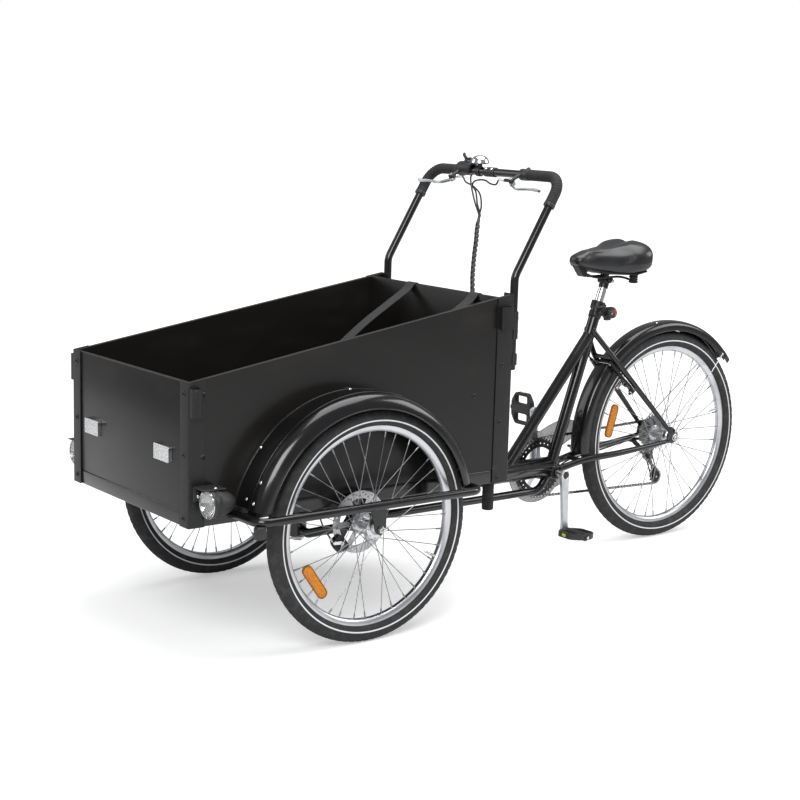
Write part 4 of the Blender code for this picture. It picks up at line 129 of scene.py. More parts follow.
class Shape:
    """Points, faces and a pattern place for each point.

    The faces are arrays, each of one number of sides.
    """

    def __init__(self, points, faces, place=None):
        self.points = np.asarray(points, float).reshape(-1, 3)
        self.faces = [np.asarray(group, int) for group in faces]
        self.place = np.zeros((len(self.points), 2)) if place is None else np.asarray(place, float)

    def __add__(self, other):
        shift = len(self.points)
        faces = self.faces + [group + shift for group in other.faces]
        return Shape(
            np.vstack([self.points, other.points]), faces, np.vstack([self.place, other.place])
        )

    def by(self, matrix):
        """The shape carried by a 4 x 4 matrix. A mirroring one also turns the faces round."""
        matrix = np.array(matrix, float)
        points = self.points @ matrix[:3, :3].T + matrix[:3, 3]
        turn = np.linalg.det(matrix[:3, :3]) < 0
        return Shape(points, [group[:, ::-1] if turn else group for group in self.faces], self.place)

    def at(self, *offset):
        """The shape moved by an offset."""
        return Shape(self.points + np.array(offset, float).ravel(), self.faces, self.place)

    def mirror(self):
        """The shape on the other side of the tricycle."""
        return self.by(np.diag([-1, 1, 1, 1]))

    def outward(self):
        """The shape with its faces out: its volume, a sum of fans of corner tetrahedra, is positive."""
        volume = 0.0
        for group in self.faces:
            p = self.points[group]
            for i in range(1, group.shape[1] - 1):
                volume += np.einsum("ij,ij->i", p[:, 0], np.cross(p[:, i], p[:, i + 1])).sum()
        if volume >= 0:
            return self
        return Shape(self.points, [group[:, ::-1] for group in self.faces], self.place)


def together(shapes):
    """One shape from several, with their arrays laid end to end."""
    shapes = list(shapes)
    starts = np.cumsum([0] + [len(shape.points) for shape in shapes])
    faces = [group + start for shape, start in zip(shapes, starts) for group in shape.faces]
    return Shape(np.vstack([s.points for s in shapes]), faces, np.vstack([s.place for s in shapes]))


def both(shape):
    """A shape and its mirror image."""
    return together([shape, shape.mirror()])


def copies(shape, matrices):
    """The shape once for each 4 x 4 matrix, all at once."""
    matrices = np.asarray(matrices, float)
    count = len(matrices)
    points = np.einsum("kij,pj->kpi", matrices[:, :3, :3], shape.points) + matrices[:, None, :3, 3]
    shifts = np.arange(count)[:, None, None] * len(shape.points)
    faces = [(group[None] + shifts).reshape(-1, group.shape[1]) for group in shape.faces]
    return Shape(points, faces, np.tile(shape.place, (count, 1)))


def unit(vectors):
    """Vectors divided by their lengths."""
    vectors = np.asarray(vectors, float)
    return vectors / np.linalg.norm(vectors, axis=-1, keepdims=True)


def quads(rows, columns, wrap_rows=False, wrap_columns=False):
    """Corner numbers of the squares of a grid that is stored row by row."""
    r = np.arange(rows if wrap_rows else rows - 1)[:, None]
    c = np.arange(columns if wrap_columns else columns - 1)[None, :]
    s, d = (r + 1) % rows, (c + 1) % columns
    corners = np.broadcast_arrays(r * columns + c, r * columns + d, s * columns + d, s * columns + c)
    return np.stack(corners, -1).reshape(-1, 4)


def around(count, start=0.0, end=2 * np.pi):
    """Even angles from start up to, but without, end."""
    return np.linspace(start, end, count, endpoint=False)


def polar(radius, angle):
    """(radius cos angle, radius sin angle) for arrays of either."""
    return np.stack([radius * np.cos(angle), radius * np.sin(angle)], -1)


def circle(radius, count):
    """Points (radius cos t, radius sin t) at even t."""
    return polar(radius, around(count))


def on_axle(x, radius, angle, centre):
    """Points centre + (x, radius cos angle, radius sin angle)."""
    x, radius, angle = np.broadcast_arrays(x, radius, angle)
    return np.stack([x, radius * np.cos(angle), radius * np.sin(angle)], -1) + centre


def rounded_rectangle(a, b, radius, steps=4):
    """Corners of half sizes a and b, each replaced by a quarter circle."""
    t = np.linspace(0, np.pi / 2, steps)
    quarter = np.arange(4)[:, None] * np.pi / 2 + t
    a, b = a - radius, b - radius
    centres = np.array([(a, b), (-a, b), (-a, -b), (a, -b)])
    return (centres[:, None] + polar(radius, quarter)).reshape(-1, 2)


def spline(points, count):
    """Points at even distances on the Catmull-Rom curve through the given ones."""
    p = np.asarray(points, float)
    p = np.vstack([2 * p[0] - p[1], p, 2 * p[-1] - p[-2]])
    t = np.linspace(0, len(p) - 3 - 1e-9, 60 * len(p))
    i = t.astype(int)
    f = (t - i)[:, None]
    a, b, c, d = p[i], p[i + 1], p[i + 2], p[i + 3]
    line = b + 0.5 * f * (c - a + f * (2 * a - 5 * b + 4 * c - d + f * (3 * (b - c) + d - a)))
    return evenly(line, count)


def distances(line):
    """Distance along a line at each of its points."""
    return np.concatenate([[0.0], np.cumsum(np.linalg.norm(np.diff(line, axis=0), axis=1))])


def evenly(line, count):
    """Points at even distances along a line."""
    along = distances(line)
    where = np.linspace(0, along[-1], count)
    return np.stack([np.interp(where, along, line[:, k]) for k in range(line.shape[1])], 1)


def bent(points, radius, steps=9):
    """The path through the points with each inner corner replaced by an arc of this radius."""
    p = np.asarray(points, float)
    before, corner, after = unit(p[:-2] - p[1:-1]), p[1:-1], unit(p[2:] - p[1:-1])
    half = np.arccos(np.clip((before * after).sum(1), -1, 1)) / 2
    back = (radius / np.tan(half))[:, None]
    centre = corner + unit(before + after) * (radius / np.sin(half))[:, None]
    first, last = corner + before * back - centre, corner + after * back - centre
    swing = (np.pi - 2 * half)[:, None, None]
    t = np.linspace(0, 1, steps)[None, :, None]
    arc = (first[:, None] * np.sin((1 - t) * swing) + last[:, None] * np.sin(t * swing)) / np.sin(swing)
    arcs = (centre[:, None] + arc).reshape(-1, p.shape[1])
    return np.vstack([p[:1], arcs, p[-1:]])


def carried(path, closed=False, reference=None):
    """Two unit vectors square to a path at each point.

    The first is the tangent crossed with a fixed direction: a given one, or else the one that the
    tangents lean least to.
    """
    if closed:
        tangent = np.roll(path, -1, 0) - np.roll(path, 1, 0)
    else:
        tangent = np.gradient(path, axis=0)
    tangent = unit(tangent)
    if reference is None:
        reference = np.linalg.svd(tangent)[2][-1]
    side = unit(np.cross(tangent, np.asarray(reference, float)))
    return side, np.cross(tangent, side)


def swept(path, profile, scale=1.0, closed=False, reference=None, capped=True):
    """A profile of (a, b) carried along a path: point = path + scale (a side + b up)."""
    path = np.asarray(path, float)
    profile = np.asarray(profile, float)
    side, up = carried(path, closed, reference)
    scale = np.broadcast_to(np.asarray(scale, float), (len(path),))[:, None, None]
    ring = profile[None, :, :1] * side[:, None] + profile[None, :, 1:] * up[:, None]
    points = path[:, None] + scale * ring
    rows, columns = len(path), len(profile)
    faces = [quads(rows, columns, closed, True)]
    if capped and not closed:
        ends = np.arange(columns)
        faces += [ends[None, ::-1], (rows - 1) * columns + ends[None]]
    along = np.broadcast_to(distances(path)[:, None], (rows, columns))
    across = np.broadcast_to(np.arange(columns)[None] / columns, (rows, columns))
    return Shape(points, faces, np.stack([along, across], -1).reshape(-1, 2)).outward()


def tube(path, radius, sides=16, closed=False, reference=None):
    """A round bar along a path; the radius may be one number or one for each point."""
    return swept(path, circle(1.0, sides), radius, closed, reference)


def rod(start, end, radius, sides=20, edge=0.0):
    """A straight round bar whose ends are chamfered by the edge."""
    start, end = np.asarray(start, float), np.asarray(end, float)
    if not edge:
        return tube(np.stack([start, end]), radius, sides)
    step = unit(end - start) * edge
    path = np.stack([start, start + step, end - step, end])
    return tube(path, np.array([radius - edge, radius, radius, radius - edge]), sides)


def rods(starts, ends, radius, sides=6):
    """Thin round bars between many pairs of points at once."""
    starts, ends = np.asarray(starts, float), np.asarray(ends, float)
    way = unit(ends - starts)
    side = unit(np.cross(way, [0.31, 0.57, 0.76]))
    up = np.cross(way, side)
    ring = circle(radius, sides)
    wall = ring[None, :, :1] * side[:, None] + ring[None, :, 1:] * up[:, None]
    points = np.stack([starts[:, None] + wall, ends[:, None] + wall], 1)
    one = quads(2, sides, False, True)
    caps = np.stack([np.arange(sides)[::-1], sides + np.arange(sides)])
    shifts = np.arange(len(starts))[:, None, None] * 2 * sides
    faces = [(one[None] + shifts).reshape(-1, 4), (caps[None] + shifts).reshape(-1, sides)]
    return Shape(points, faces).outward()


# What carries +Z to each axis
AXES = {
    "X": np.array([[0, 0, 1], [1, 0, 0], [0, 1, 0]]),
    "Y": np.array([[0, 1, 0], [0, 0, 1], [1, 0, 0]]),
    "Z": np.eye(3),
}


def turned(profile, centre, axis="X", count=48, closed=True):
    """(radius, height) points turned round an axis: (radius cos t, radius sin t, height)."""
    profile = np.asarray(profile, float)
    t = around(count)[:, None]
    radius, height = profile[None, :, 0], profile[None, :, 1]
    points = np.stack(np.broadcast_arrays(radius * np.cos(t), radius * np.sin(t), height), -1)
    columns = len(profile)
    faces = [quads(count, columns, True, closed)]
    if not closed:
        ends = np.arange(count) * columns
        faces += [ends[None], ends[None, ::-1] + columns - 1]
    place = np.stack(np.broadcast_arrays(t / (2 * np.pi), np.linspace(0, 1, columns)[None]), -1)
    return Shape(points.reshape(-1, 3) @ AXES[axis].T + centre, faces, place.reshape(-1, 2)).outward()


def block(low, high, edge=0.002, steps=3):
    """A block with rounded edges.

    It is a rounded rectangle whose inset is the edge times (1 - cos t) near each end.
    """
    low, high = np.asarray(low, float), np.asarray(high, float)
    half = (high - low) / 2
    edge = min(edge, 0.98 * half.min())
    t = np.linspace(0, np.radians(80), steps)
    inset = edge * (1 - np.cos(t))
    height = half[2] - edge + edge * np.sin(t)
    inset = np.concatenate([inset[::-1], inset])
    height = np.concatenate([-height[::-1], height])
    core = rounded_rectangle(half[0], half[1], edge)
    middle = np.sign(core) * np.maximum(half[:2] - edge, 0)
    ring = middle[None] + (core - middle)[None] * (1 - inset / edge)[:, None, None]
    level = np.broadcast_to(height[:, None, None], (len(height), len(core), 1))
    points = np.concatenate([ring, level], -1) + (low + high) / 2
    ends = np.arange(len(core))
    faces = [
        quads(len(height), len(core), False, True), ends[None, ::-1],
        (len(height) - 1) * len(core) + ends[None]
    ]
    return Shape(points, faces).outward()


def filled(outlines):
    """Triangles that fill the first flat outline and leave out the others, as numbers of points."""
    return np.array(tessellate_polygon([[Vector((*point, 0)) for point in line] for line in outlines]))


def cut_plate(outlines, thickness, axis="X", offset=0.0):
    """Flat outlines, the first cut by the others, given a thickness about a plane square to an axis.

    Axis X takes (y, z) points, Y takes (z, x) and Z takes (x, y).
    """
    outlines = [np.asarray(line, float) for line in outlines]
    flat = np.vstack(outlines)
    triangles = filled(outlines)
    count = len(flat)
    levels = np.array([-thickness / 2, thickness / 2]) + offset
    points = np.concatenate([np.column_stack([flat, np.full(count, z)]) for z in levels])
    corner = flat[triangles]
    area = np.cross(corner[:, 1] - corner[:, 0], corner[:, 2] - corner[:, 0])
    triangles = np.where(area[:, None] > 0, triangles, triangles[:, ::-1])
    walls = []
    start = 0
    for index, line in enumerate(outlines):
        here = np.arange(len(line)) + start
        there = np.roll(here, -1)
        nxt = np.roll(line, -1, 0)
        anticlockwise = (line[:, 0] * nxt[:, 1] - nxt[:, 0] * line[:, 1]).sum() > 0
        wall = np.stack([here, there, there + count, here + count], 1)
        walls.append(wall if anticlockwise == (index == 0) else wall[:, ::-1])
        start += len(line)
    faces = [triangles[:, ::-1], triangles + count, np.vstack(walls)]
    return Shape(points @ AXES[axis].T, faces)


def softened(outline, radius, steps=4):
    """A closed flat outline with its corners rounded by quadratic curves."""
    p = np.asarray(outline, float)
    before, after = np.roll(p, 1, 0), np.roll(p, -1, 0)
    reach_b = np.minimum(radius, 0.48 * np.linalg.norm(before - p, axis=1))[:, None]
    reach_a = np.minimum(radius, 0.48 * np.linalg.norm(after - p, axis=1))[:, None]
    start, end = p + unit(before - p) * reach_b, p + unit(after - p) * reach_a
    t = np.linspace(0, 1, steps)[None, :, None]
    line = (1 - t) ** 2 * start[:, None] + 2 * t * (1 - t) * p[:, None] + t ** 2 * end[:, None]
    return line.reshape(-1, 2)


def facing(place, way, up=(0.0, 0.0, 1.0)):
    """A matrix that puts the origin at a place and turns +Z to a direction."""
    way = unit(way)
    side = np.cross(up, way)
    side = unit(side) if np.linalg.norm(side) > 1e-4 else np.array([1.0, 0.0, 0.0])
    matrix = np.eye(4)
    matrix[:3] = np.stack([side, np.cross(way, side), way, place], 1)
    return matrix


def dome_bolt(radius, height):
    """A round-headed bolt along +Z with a six-sided socket, whose profile is a quarter ellipse."""
    t = np.linspace(0, np.radians(62), 5)
    outer = np.stack([radius * np.cos(t), height * np.sin(t)], 1)
    socket = [(0.45 * radius, 0.93 * height), (0.40 * radius, 0.35 * height)]
    profile = np.vstack([[(radius, -0.001)], outer, socket])
    return turned(profile, (0, 0, 0), "Z", 18, closed=False)


def hex_bolt(radius, height):
    """A six-sided bolt head along +Z with a turned chamfer."""
    ring = circle(radius, 6)
    path = np.array([(0, 0, -0.0005), (0, 0, height * 0.8), (0, 0, height)])
    return swept(path, ring, np.array([1.0, 1.0, 0.86]), reference=(1, 0, 0))


def linked(name, data):
    """An object of some data, in the scene."""
    made = bpy.data.objects.new(name, data)
    bpy.context.scene.collection.objects.link(made)
    return made


def placed(name, shape, finish, angle=40.0):
    """An object at the origin whose mesh is the shape, with its pattern map."""
    mesh = bpy.data.meshes.new(name)
    mesh.vertices.add(len(shape.points))
    mesh.vertices.foreach_set("co", shape.points.astype(np.float32).ravel())
    corners = np.concatenate([group.ravel() for group in shape.faces])
    sides = np.concatenate([np.full(len(group), group.shape[1]) for group in shape.faces])
    mesh.loops.add(len(corners))
    mesh.loops.foreach_set("vertex_index", corners.astype(np.int32))
    mesh.polygons.add(len(sides))
    starts = np.concatenate([[0], np.cumsum(sides)[:-1]])
    mesh.polygons.foreach_set("loop_start", starts.astype(np.int32))
    mesh.update(calc_edges=True)
    layer = mesh.uv_layers.new(name="pattern")
    layer.uv.foreach_set("vector", shape.place[corners].astype(np.float32).ravel())
    mesh.shade_smooth()
    mesh.set_sharp_from_angle(angle=math.radians(angle))
    mesh.materials.append(finish)
    return linked(name, mesh)


def piece(name, shape, finish, body, stands_for=None, slot=None, angle=40.0, bevel=0.0):
    """A shape as a piece that rides on a body and may stand for a CAD node.

    Edges sharper than the angle, in degrees, are left sharp, or cut by the bevel's width.
    """
    made = placed(name, shape, finish, angle)
    if bevel:
        modifier = made.modifiers.new("edges", "BEVEL")
        modifier.width = bevel
        modifier.segments = 2
        modifier.limit_method = "ANGLE"
    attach(made, body)
    if stands_for:
        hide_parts(stands_for)
    return made


# Finishes

class Wire:
    """A socket of one material. Arithmetic on it adds Math nodes."""

    def __init__(self, finish, socket):
        self.finish = finish
        self.socket = socket

    def maths(self, operation, first, second=None):
        """A Math node on one or two values."""
        inputs = {0: first} if second is None else {0: first, 1: second}
        return self.finish.add("ShaderNodeMath", {"operation": operation}, inputs)

    def __add__(self, other):
        return self.maths("ADD", self, other)

    def __radd__(self, other):
        return self.maths("ADD", other, self)

    def __sub__(self, other):
        return self.maths("SUBTRACT", self, other)

    def __rsub__(self, other):
        return self.maths("SUBTRACT", other, self)

    def __mul__(self, other):
        return self.maths("MULTIPLY", self, other)

    def __rmul__(self, other):
        return self.maths("MULTIPLY", other, self)

    def __truediv__(self, other):
        return self.maths("DIVIDE", self, other)

    def __pow__(self, other):
        return self.maths("POWER", self, other)

    def __gt__(self, other):
        return self.maths("GREATER_THAN", self, other)

    def __abs__(self):
        return self.maths("ABSOLUTE", self)

    def sine(self):
        return self.maths("SINE", self)

    def waves(self, period):
        """sin(2 pi value / period)"""
        return (self * (2 * math.pi / period)).sine()

    def step(self, low, high):
        """0 below low, 1 above high, and smooth between them."""
        ranges = {"Value": self, "From Min": low, "From Max": high}
        return self.finish.add("ShaderNodeMapRange", {"interpolation_type": "SMOOTHSTEP"}, ranges)


class Finish:
    """A Principled material, and the method that adds any node to it."""

    def __init__(self, name, colour, roughness, metallic=0.0, **fixed):
        self.material = bpy.data.materials.new(name)
        self.material.use_nodes = True
        self.tree = self.material.node_tree
        self.shader = self.tree.nodes["Principled BSDF"]
        self.set("Base Color", (*colour, 1.0))
        self.set("Roughness", roughness)
        self.set("Metallic", metallic)
        for key, value in fixed.items():
            self.set(key.replace("_", " ").title().replace("Ior", "IOR"), value)

    def plug(self, target, value):
        """Link a wire to a socket, or give the socket a plain value."""
        if isinstance(value, Wire):
            self.tree.links.new(value.socket, target)
        else:
            target.default_value = value

    def set(self, socket, value):
        """Value or wire of a socket of the shader."""
        self.plug(self.shader.inputs[socket], value)

    def add(self, kind, settings=None, inputs=None, output=0):
        """A node of any kind, with its settings made first and then its sockets' values or links."""
        node = self.tree.nodes.new(kind)
        for key, value in (settings or {}).items():
            if key == "stops":
                ramp = node.color_ramp.elements
                for index, (at, level) in enumerate(value):
                    stop = ramp[index] if index < 2 else ramp.new(at)
                    stop.position, stop.color = at, (level, level, level, 1.0)
            else:
                setattr(node, key, value)
        for key, value in (inputs or {}).items():
            self.plug(node.inputs[key], value)
        return Wire(self, node.outputs[output])

    def here(self):
        """The place of a point of the surface."""
        return self.add("ShaderNodeTexCoord", output="Object")

    def pattern(self):
        """The piece's own pattern map."""
        return self.add("ShaderNodeUVMap", {"uv_map": "pattern"})

    def parts_of(self, vector):
        """The three numbers of a vector."""
        node = self.tree.nodes.new("ShaderNodeSeparateXYZ")
        self.tree.links.new(vector.socket, node.inputs[0])
        return [Wire(self, output) for output in node.outputs]

    def noise(self, scale, detail=2.0, vector=None, stretch=None):
        """Noise on object coordinates; stretch divides the pattern's size along each axis."""
        vector = vector or self.here()
        if stretch:
            vector = self.add("ShaderNodeMapping", {}, {"Vector": vector, "Scale": stretch})
        return self.add("ShaderNodeTexNoise", {}, {"Vector": vector, "Scale": scale, "Detail": detail})

    def cells(self, scale):
        """Distance to the nearest of scattered points."""
        inputs = {"Vector": self.here(), "Scale": scale}
        return self.add("ShaderNodeTexVoronoi", {"feature": "F1"}, inputs, "Distance")

    def blend(self, amount, first, second):
        """The first colour where the amount is 0, the second where it is 1."""
        first, second = (c if isinstance(c, Wire) else (*c, 1.0) for c in (first, second))
        inputs = {"Factor": amount, 6: first, 7: second}
        return self.add("ShaderNodeMix", {"data_type": "RGBA"}, inputs, 2)

    def bump(self, height, depth, strength=1.0):
        """Bumps of a depth in metres, where the height runs from 0 to 1."""
        inputs = {"Height": height, "Distance": depth, "Strength": strength}
        self.set("Normal", self.add("ShaderNodeBump", {}, inputs))

    def radius_from(self, centre):
        """Distance from a line along X through a centre."""
        _, y, z = self.parts_of(self.here())
        return ((y - float(centre[1])) ** 2.0 + (z - float(centre[2])) ** 2.0) ** 0.5


_finishes = {}


def finished(make):
    """Keeps each finish, so that it is made once for each set of its values."""
    def kept(*values):
        key = (make.__name__, *(round(float(value), 4) for value in values))
        if key not in _finishes:
            _finishes[key] = make(*values).material
        return _finishes[key]
    return kept


def palette():
    """The settings that the panel shows."""
    return bpy.context.scene.tricycle


@finished
def gloss_paint():
    """Black gloss powder coat: slight orange peel, faint dust and softer gloss in patches."""
    paint = palette().paint
    f = Finish(
        "gloss_black_paint", paint, 0.2, specular_ior_level=0.35, coat_weight=0.45, coat_roughness=0.06
    )
    patches = f.noise(9.0, 3.0)
    f.set("Base Color", f.blend(patches.step(0.52, 0.75) * 0.35, paint, (0.030, 0.029, 0.028)))
    f.set("Roughness", patches * 0.10 + 0.16)
    f.bump(f.noise(420.0, 1.0), 0.00012, 0.35)
    return f


@finished
def ply_film():
    """Black phenolic film on plywood: fine pressed grain and handling marks."""
    film = palette().film
    f = Finish(
        "black_ply_film", film, 0.26, specular_ior_level=0.30, coat_weight=0.14, coat_roughness=0.12
    )
    marks = f.noise(5.0, 5.0, stretch=(1.0, 1.0, 2.5))
    fine = f.noise(900.0, 1.0)
    grain = f.noise(60.0, 4.0, stretch=(1.0, 1.0, 14.0))
    f.set("Base Color", f.blend(marks.step(0.50, 0.78) * 0.5, film, (0.020, 0.017, 0.015)))
    f.set("Roughness", marks * 0.16 + fine * 0.06 + 0.20)
    f.bump(fine * 0.5 + grain * 0.5, 0.00014, 0.30)
    return f


@finished
def satin_steel():
    """Black satin coating on folded steel, a little rubbed."""
    f = Finish("satin_black_steel", (0.012, 0.012, 0.013), 0.38, specular_ior_level=0.38)
    rub = f.noise(38.0, 4.0)
    rubbed = rub.step(0.58, 0.80) * 0.5
    f.set("Base Color", f.blend(rubbed, (0.010, 0.010, 0.011), (0.040, 0.039, 0.038)))
    f.set("Roughness", rub * 0.16 + 0.28)
    f.bump(f.noise(700.0, 1.0), 0.0001, 0.4)
    return f


@finished
def moulded_plastic():
    """Black moulded plastic with a fine spark-eroded texture."""
    f = Finish("black_plastic", (0.020, 0.020, 0.021), 0.45)
    fine = f.noise(1400.0, 2.0)
    f.set("Roughness", f.noise(30.0, 3.0) * 0.15 + 0.38)
    f.bump(fine, 0.00012, 0.5)
    return f


@finished
def grip_rubber():
    """Soft black foam rubber with rings moulded across it, along the piece's own length."""
    f = Finish("grip_rubber", (0.016, 0.016, 0.017), 0.75)
    along = f.parts_of(f.pattern())[0]
    worn = f.noise(80.0, 3.0).step(0.5, 0.8) * 0.5
    f.set("Base Color", f.blend(worn, (0.014, 0.014, 0.015), (0.040, 0.040, 0.040)))
    f.bump(along.waves(0.0042) * 0.5 + f.noise(1500.0, 2.0) * 0.5, 0.0005, 0.8)
    return f


@finished
def tyre_rubber(y, z, stripe):
    """Black dusty tyre whose pale stripe is a band of distance from the axle."""
    f = Finish("tyre_rubber", (0.020, 0.020, 0.021), 0.75)
    radius = f.radius_from((0, y, z))
    inside = 1.0 - radius.step(stripe + 0.0015, stripe + 0.0021)
    band = radius.step(stripe - 0.0021, stripe - 0.0015) * inside
    dust = f.noise(55.0, 4.0).step(0.45, 0.75)
    rubber = f.blend(dust * 0.6, (0.016, 0.016, 0.017), (0.050, 0.048, 0.045))
    f.set("Base Color", f.blend(band, rubber, (0.72, 0.73, 0.74)))
    f.set("Roughness", 0.78 - band * 0.35 - f.noise(25.0, 3.0) * 0.12)
    rings = (radius.waves(0.0026) * 0.3 + f.noise(900.0, 2.0)) * (1.0 - band)
    f.bump(rings, 0.00035, 0.6)
    return f


@finished
def rim_alloy(y, z):
    """Anodised alloy with fine machined rings round the axle."""
    f = Finish("rim_alloy", (0.62, 0.63, 0.65), 0.32, 1.0)
    radius = f.radius_from((0, y, z))
    rings = radius.waves(0.0009)
    stain = f.noise(14.0, 4.0)
    f.set("Base Color", f.blend(stain.step(0.40, 0.80), (0.66, 0.67, 0.69), (0.50, 0.51, 0.53)))
    f.set("Roughness", stain * 0.14 + 0.24)
    f.bump(rings * 0.4 + f.noise(500.0, 1.0) * 0.6, 0.00006, 0.5)
    return f


@finished
def bright_steel():
    """Stainless steel and zinc-plated parts, faintly brushed."""
    f = Finish("bright_steel", (0.68, 0.68, 0.69), 0.22, 1.0)
    stain = f.noise(30.0, 4.0)
    f.set("Base Color", f.blend(stain.step(0.45, 0.80), (0.72, 0.72, 0.73), (0.52, 0.52, 0.52)))
    f.set("Roughness", stain * 0.18 + 0.14)
    f.bump(f.noise(600.0, 2.0, stretch=(0.2, 1.0, 1.0)), 0.00008, 0.4)
    return f


@finished
def spoke_steel():
    """Drawn stainless wire, greyer than plate, with faint draw lines."""
    f = Finish("spoke_steel", (0.30, 0.30, 0.31), 0.34, 1.0)
    stain = f.noise(40.0, 3.0)
    f.set("Base Color", f.blend(stain.step(0.35, 0.75), (0.36, 0.36, 0.37), (0.22, 0.22, 0.23)))
    f.set("Roughness", stain * 0.15 + 0.28)
    f.bump(f.noise(900.0, 2.0), 0.00005, 0.4)
    return f


@finished
def clear_disc():
    """Clear moulded plastic, seen through, with faint scratches and a little dust."""
    f = Finish("clear_disc", (0.45, 0.46, 0.47), 0.18, coat_weight=0.3, coat_roughness=0.1)
    dust = f.noise(34.0, 4.0)
    f.set("Base Color", f.blend(dust.step(0.4, 0.8), (0.36, 0.37, 0.38), (0.60, 0.60, 0.60)))
    f.set("Alpha", dust.step(0.40, 0.80) * 0.10 + 0.08)
    f.bump(f.noise(300.0, 2.0), 0.00005, 0.3)
    return f


@finished
def rotor_steel(y, z):
    """Ground steel disc with circular scratches."""
    f = Finish("rotor_steel", (0.50, 0.50, 0.51), 0.3, 1.0)
    radius = f.radius_from((0, y, z))
    rings = f.noise(1.0, 3.0, vector=f.add("ShaderNodeCombineXYZ", {}, {0: radius * 2200.0}))
    f.set("Base Color", f.blend(rings, (0.60, 0.60, 0.61), (0.36, 0.36, 0.37)))
    f.set("Roughness", rings * 0.15 + 0.22)
    f.bump(rings, 0.00006, 0.6)
    return f


@finished
def cast_alloy():
    """Forged and tumbled alloy, as on cranks and levers."""
    f = Finish("crank_alloy", (0.60, 0.61, 0.63), 0.34, 1.0)
    cast = f.noise(160.0, 3.0)
    dull = f.noise(20.0, 3.0).step(0.4, 0.8)
    f.set("Base Color", f.blend(dull, (0.64, 0.65, 0.67), (0.47, 0.48, 0.50)))
    f.set("Roughness", cast * 0.16 + 0.26)
    f.bump(cast, 0.0001, 0.5)
    return f


@finished
def chrome():
    """Polished plating with faint haze."""
    f = Finish("chrome", (0.82, 0.82, 0.83), 0.08, 1.0)
    f.set("Roughness", f.noise(60.0, 3.0) * 0.10 + 0.04)
    f.bump(f.noise(240.0, 1.0), 0.00003, 0.4)
    return f


@finished
def chain_steel():
    """Oiled steel links: dark in the joints, worn bright on the plates."""
    f = Finish("chain_steel", (0.26, 0.25, 0.24), 0.36, 1.0)
    oil = f.noise(260.0, 3.0).step(0.42, 0.66)
    f.set("Base Color", f.blend(oil, (0.24, 0.235, 0.23), (0.06, 0.057, 0.054)))
    f.set("Roughness", oil * 0.2 + 0.26)
    f.bump(f.noise(800.0, 2.0), 0.00006, 0.5)
    return f


@finished
def smoke_plastic():
    """Translucent smoky guard: seen through a little, cloudier at its scuffs."""
    f = Finish("smoke_plastic", (0.30, 0.28, 0.26), 0.25)
    scuff = f.noise(26.0, 5.0).step(0.45, 0.75)
    f.set("Base Color", f.blend(scuff, (0.22, 0.21, 0.20), (0.42, 0.40, 0.38)))
    f.set("Alpha", scuff * 0.25 + 0.55)
    f.set("Roughness", scuff * 0.3 + 0.18)
    f.bump(f.noise(500.0, 2.0), 0.00008, 0.4)
    return f


@finished
def reflector_plastic(red, green, blue):
    """Moulded reflector: small corner prisms behind a glossy face."""
    colour = (red, green, blue)
    f = Finish(
        "reflector_plastic", colour, 0.12, specular_ior_level=0.3, coat_weight=0.25, coat_roughness=0.03
    )
    prism = f.cells(420.0)
    deep = tuple(c * 0.45 for c in colour)
    f.set("Base Color", f.blend(prism.step(0.15, 0.75), colour, deep))
    f.set("Roughness", prism * 0.18 + 0.08)
    f.bump(prism, 0.0006, 0.8)
    return f


@finished
def vinyl():
    """Saddle cover: black vinyl with pebbled grain and a worn sheen on its crown."""
    f = Finish("saddle_vinyl", (0.008, 0.008, 0.009), 0.36, coat_weight=0.35, coat_roughness=0.22)
    pebble = f.cells(520.0) * 0.7 + f.noise(900.0, 2.0) * 0.3
    wear = f.noise(12.0, 3.0)
    worn = wear.step(0.45, 0.75) * 0.6
    f.set("Base Color", f.blend(worn, (0.007, 0.007, 0.008), (0.018, 0.018, 0.019)))
    f.set("Roughness", wear * 0.16 + 0.28)
    f.bump(pebble, 0.00022, 0.40)
    return f


@finished
def webbing():
    """Woven strap: warp and weft as crossed sines over the strap's own length and width."""
    f = Finish("webbing", (0.030, 0.030, 0.031), 0.85)
    along, across, _ = f.parts_of(f.pattern())
    weave = along.waves(0.0022) * across.waves(1 / 22)
    f.set("Base Color", f.blend(weave.step(-1.0, 1.0), (0.016, 0.016, 0.017), (0.060, 0.060, 0.062)))
    f.bump(weave, 0.0005, 0.8)
    return f


@finished
def housing():
    """Glossy black cable housing."""
    f = Finish("cable_housing", (0.014, 0.014, 0.015), 0.32)
    f.set("Roughness", f.noise(40.0, 2.0) * 0.15 + 0.24)
    f.bump(f.noise(300.0, 1.0), 0.0001, 0.3)
    return f


@finished
def lens(red, green, blue, clear):
    """Clear or coloured lamp glass with moulded ribs, part see-through."""
    colour = (red, green, blue)
    f = Finish("lens", colour, 0.06, coat_weight=1.0, coat_roughness=0.02)
    x, _, z = f.parts_of(f.here())
    ribs = x.waves(0.004) * z.waves(0.004)
    f.set("Base Color", f.blend(ribs.step(-1.0, 1.0), tuple(0.6 * c for c in colour), colour))
    f.set("Alpha", ribs * 0.08 + clear)
    f.bump(ribs, 0.0004, 0.5)
    return f


# Stage

# Place, size and power of each lamp; all of them aim at the same point
LAMP_AIM = (0, 0, 0.45)
STUDIO = {
    "key": ((3.2, -3.6, 3.4), 2.6, 190.0),
    "fill": ((-3.4, -3.0, 2.6), 2.6, 36.0),
    "top": ((0.2, 0.4, 4.2), 3.6, 150.0),
    "back": ((2.4, 4.0, 2.8), 2.4, 80.0),
}
SKY = (0.30, 0.305, 0.315, 1.0)
WHITE = (1.0, 1.0, 1.0, 1.0)
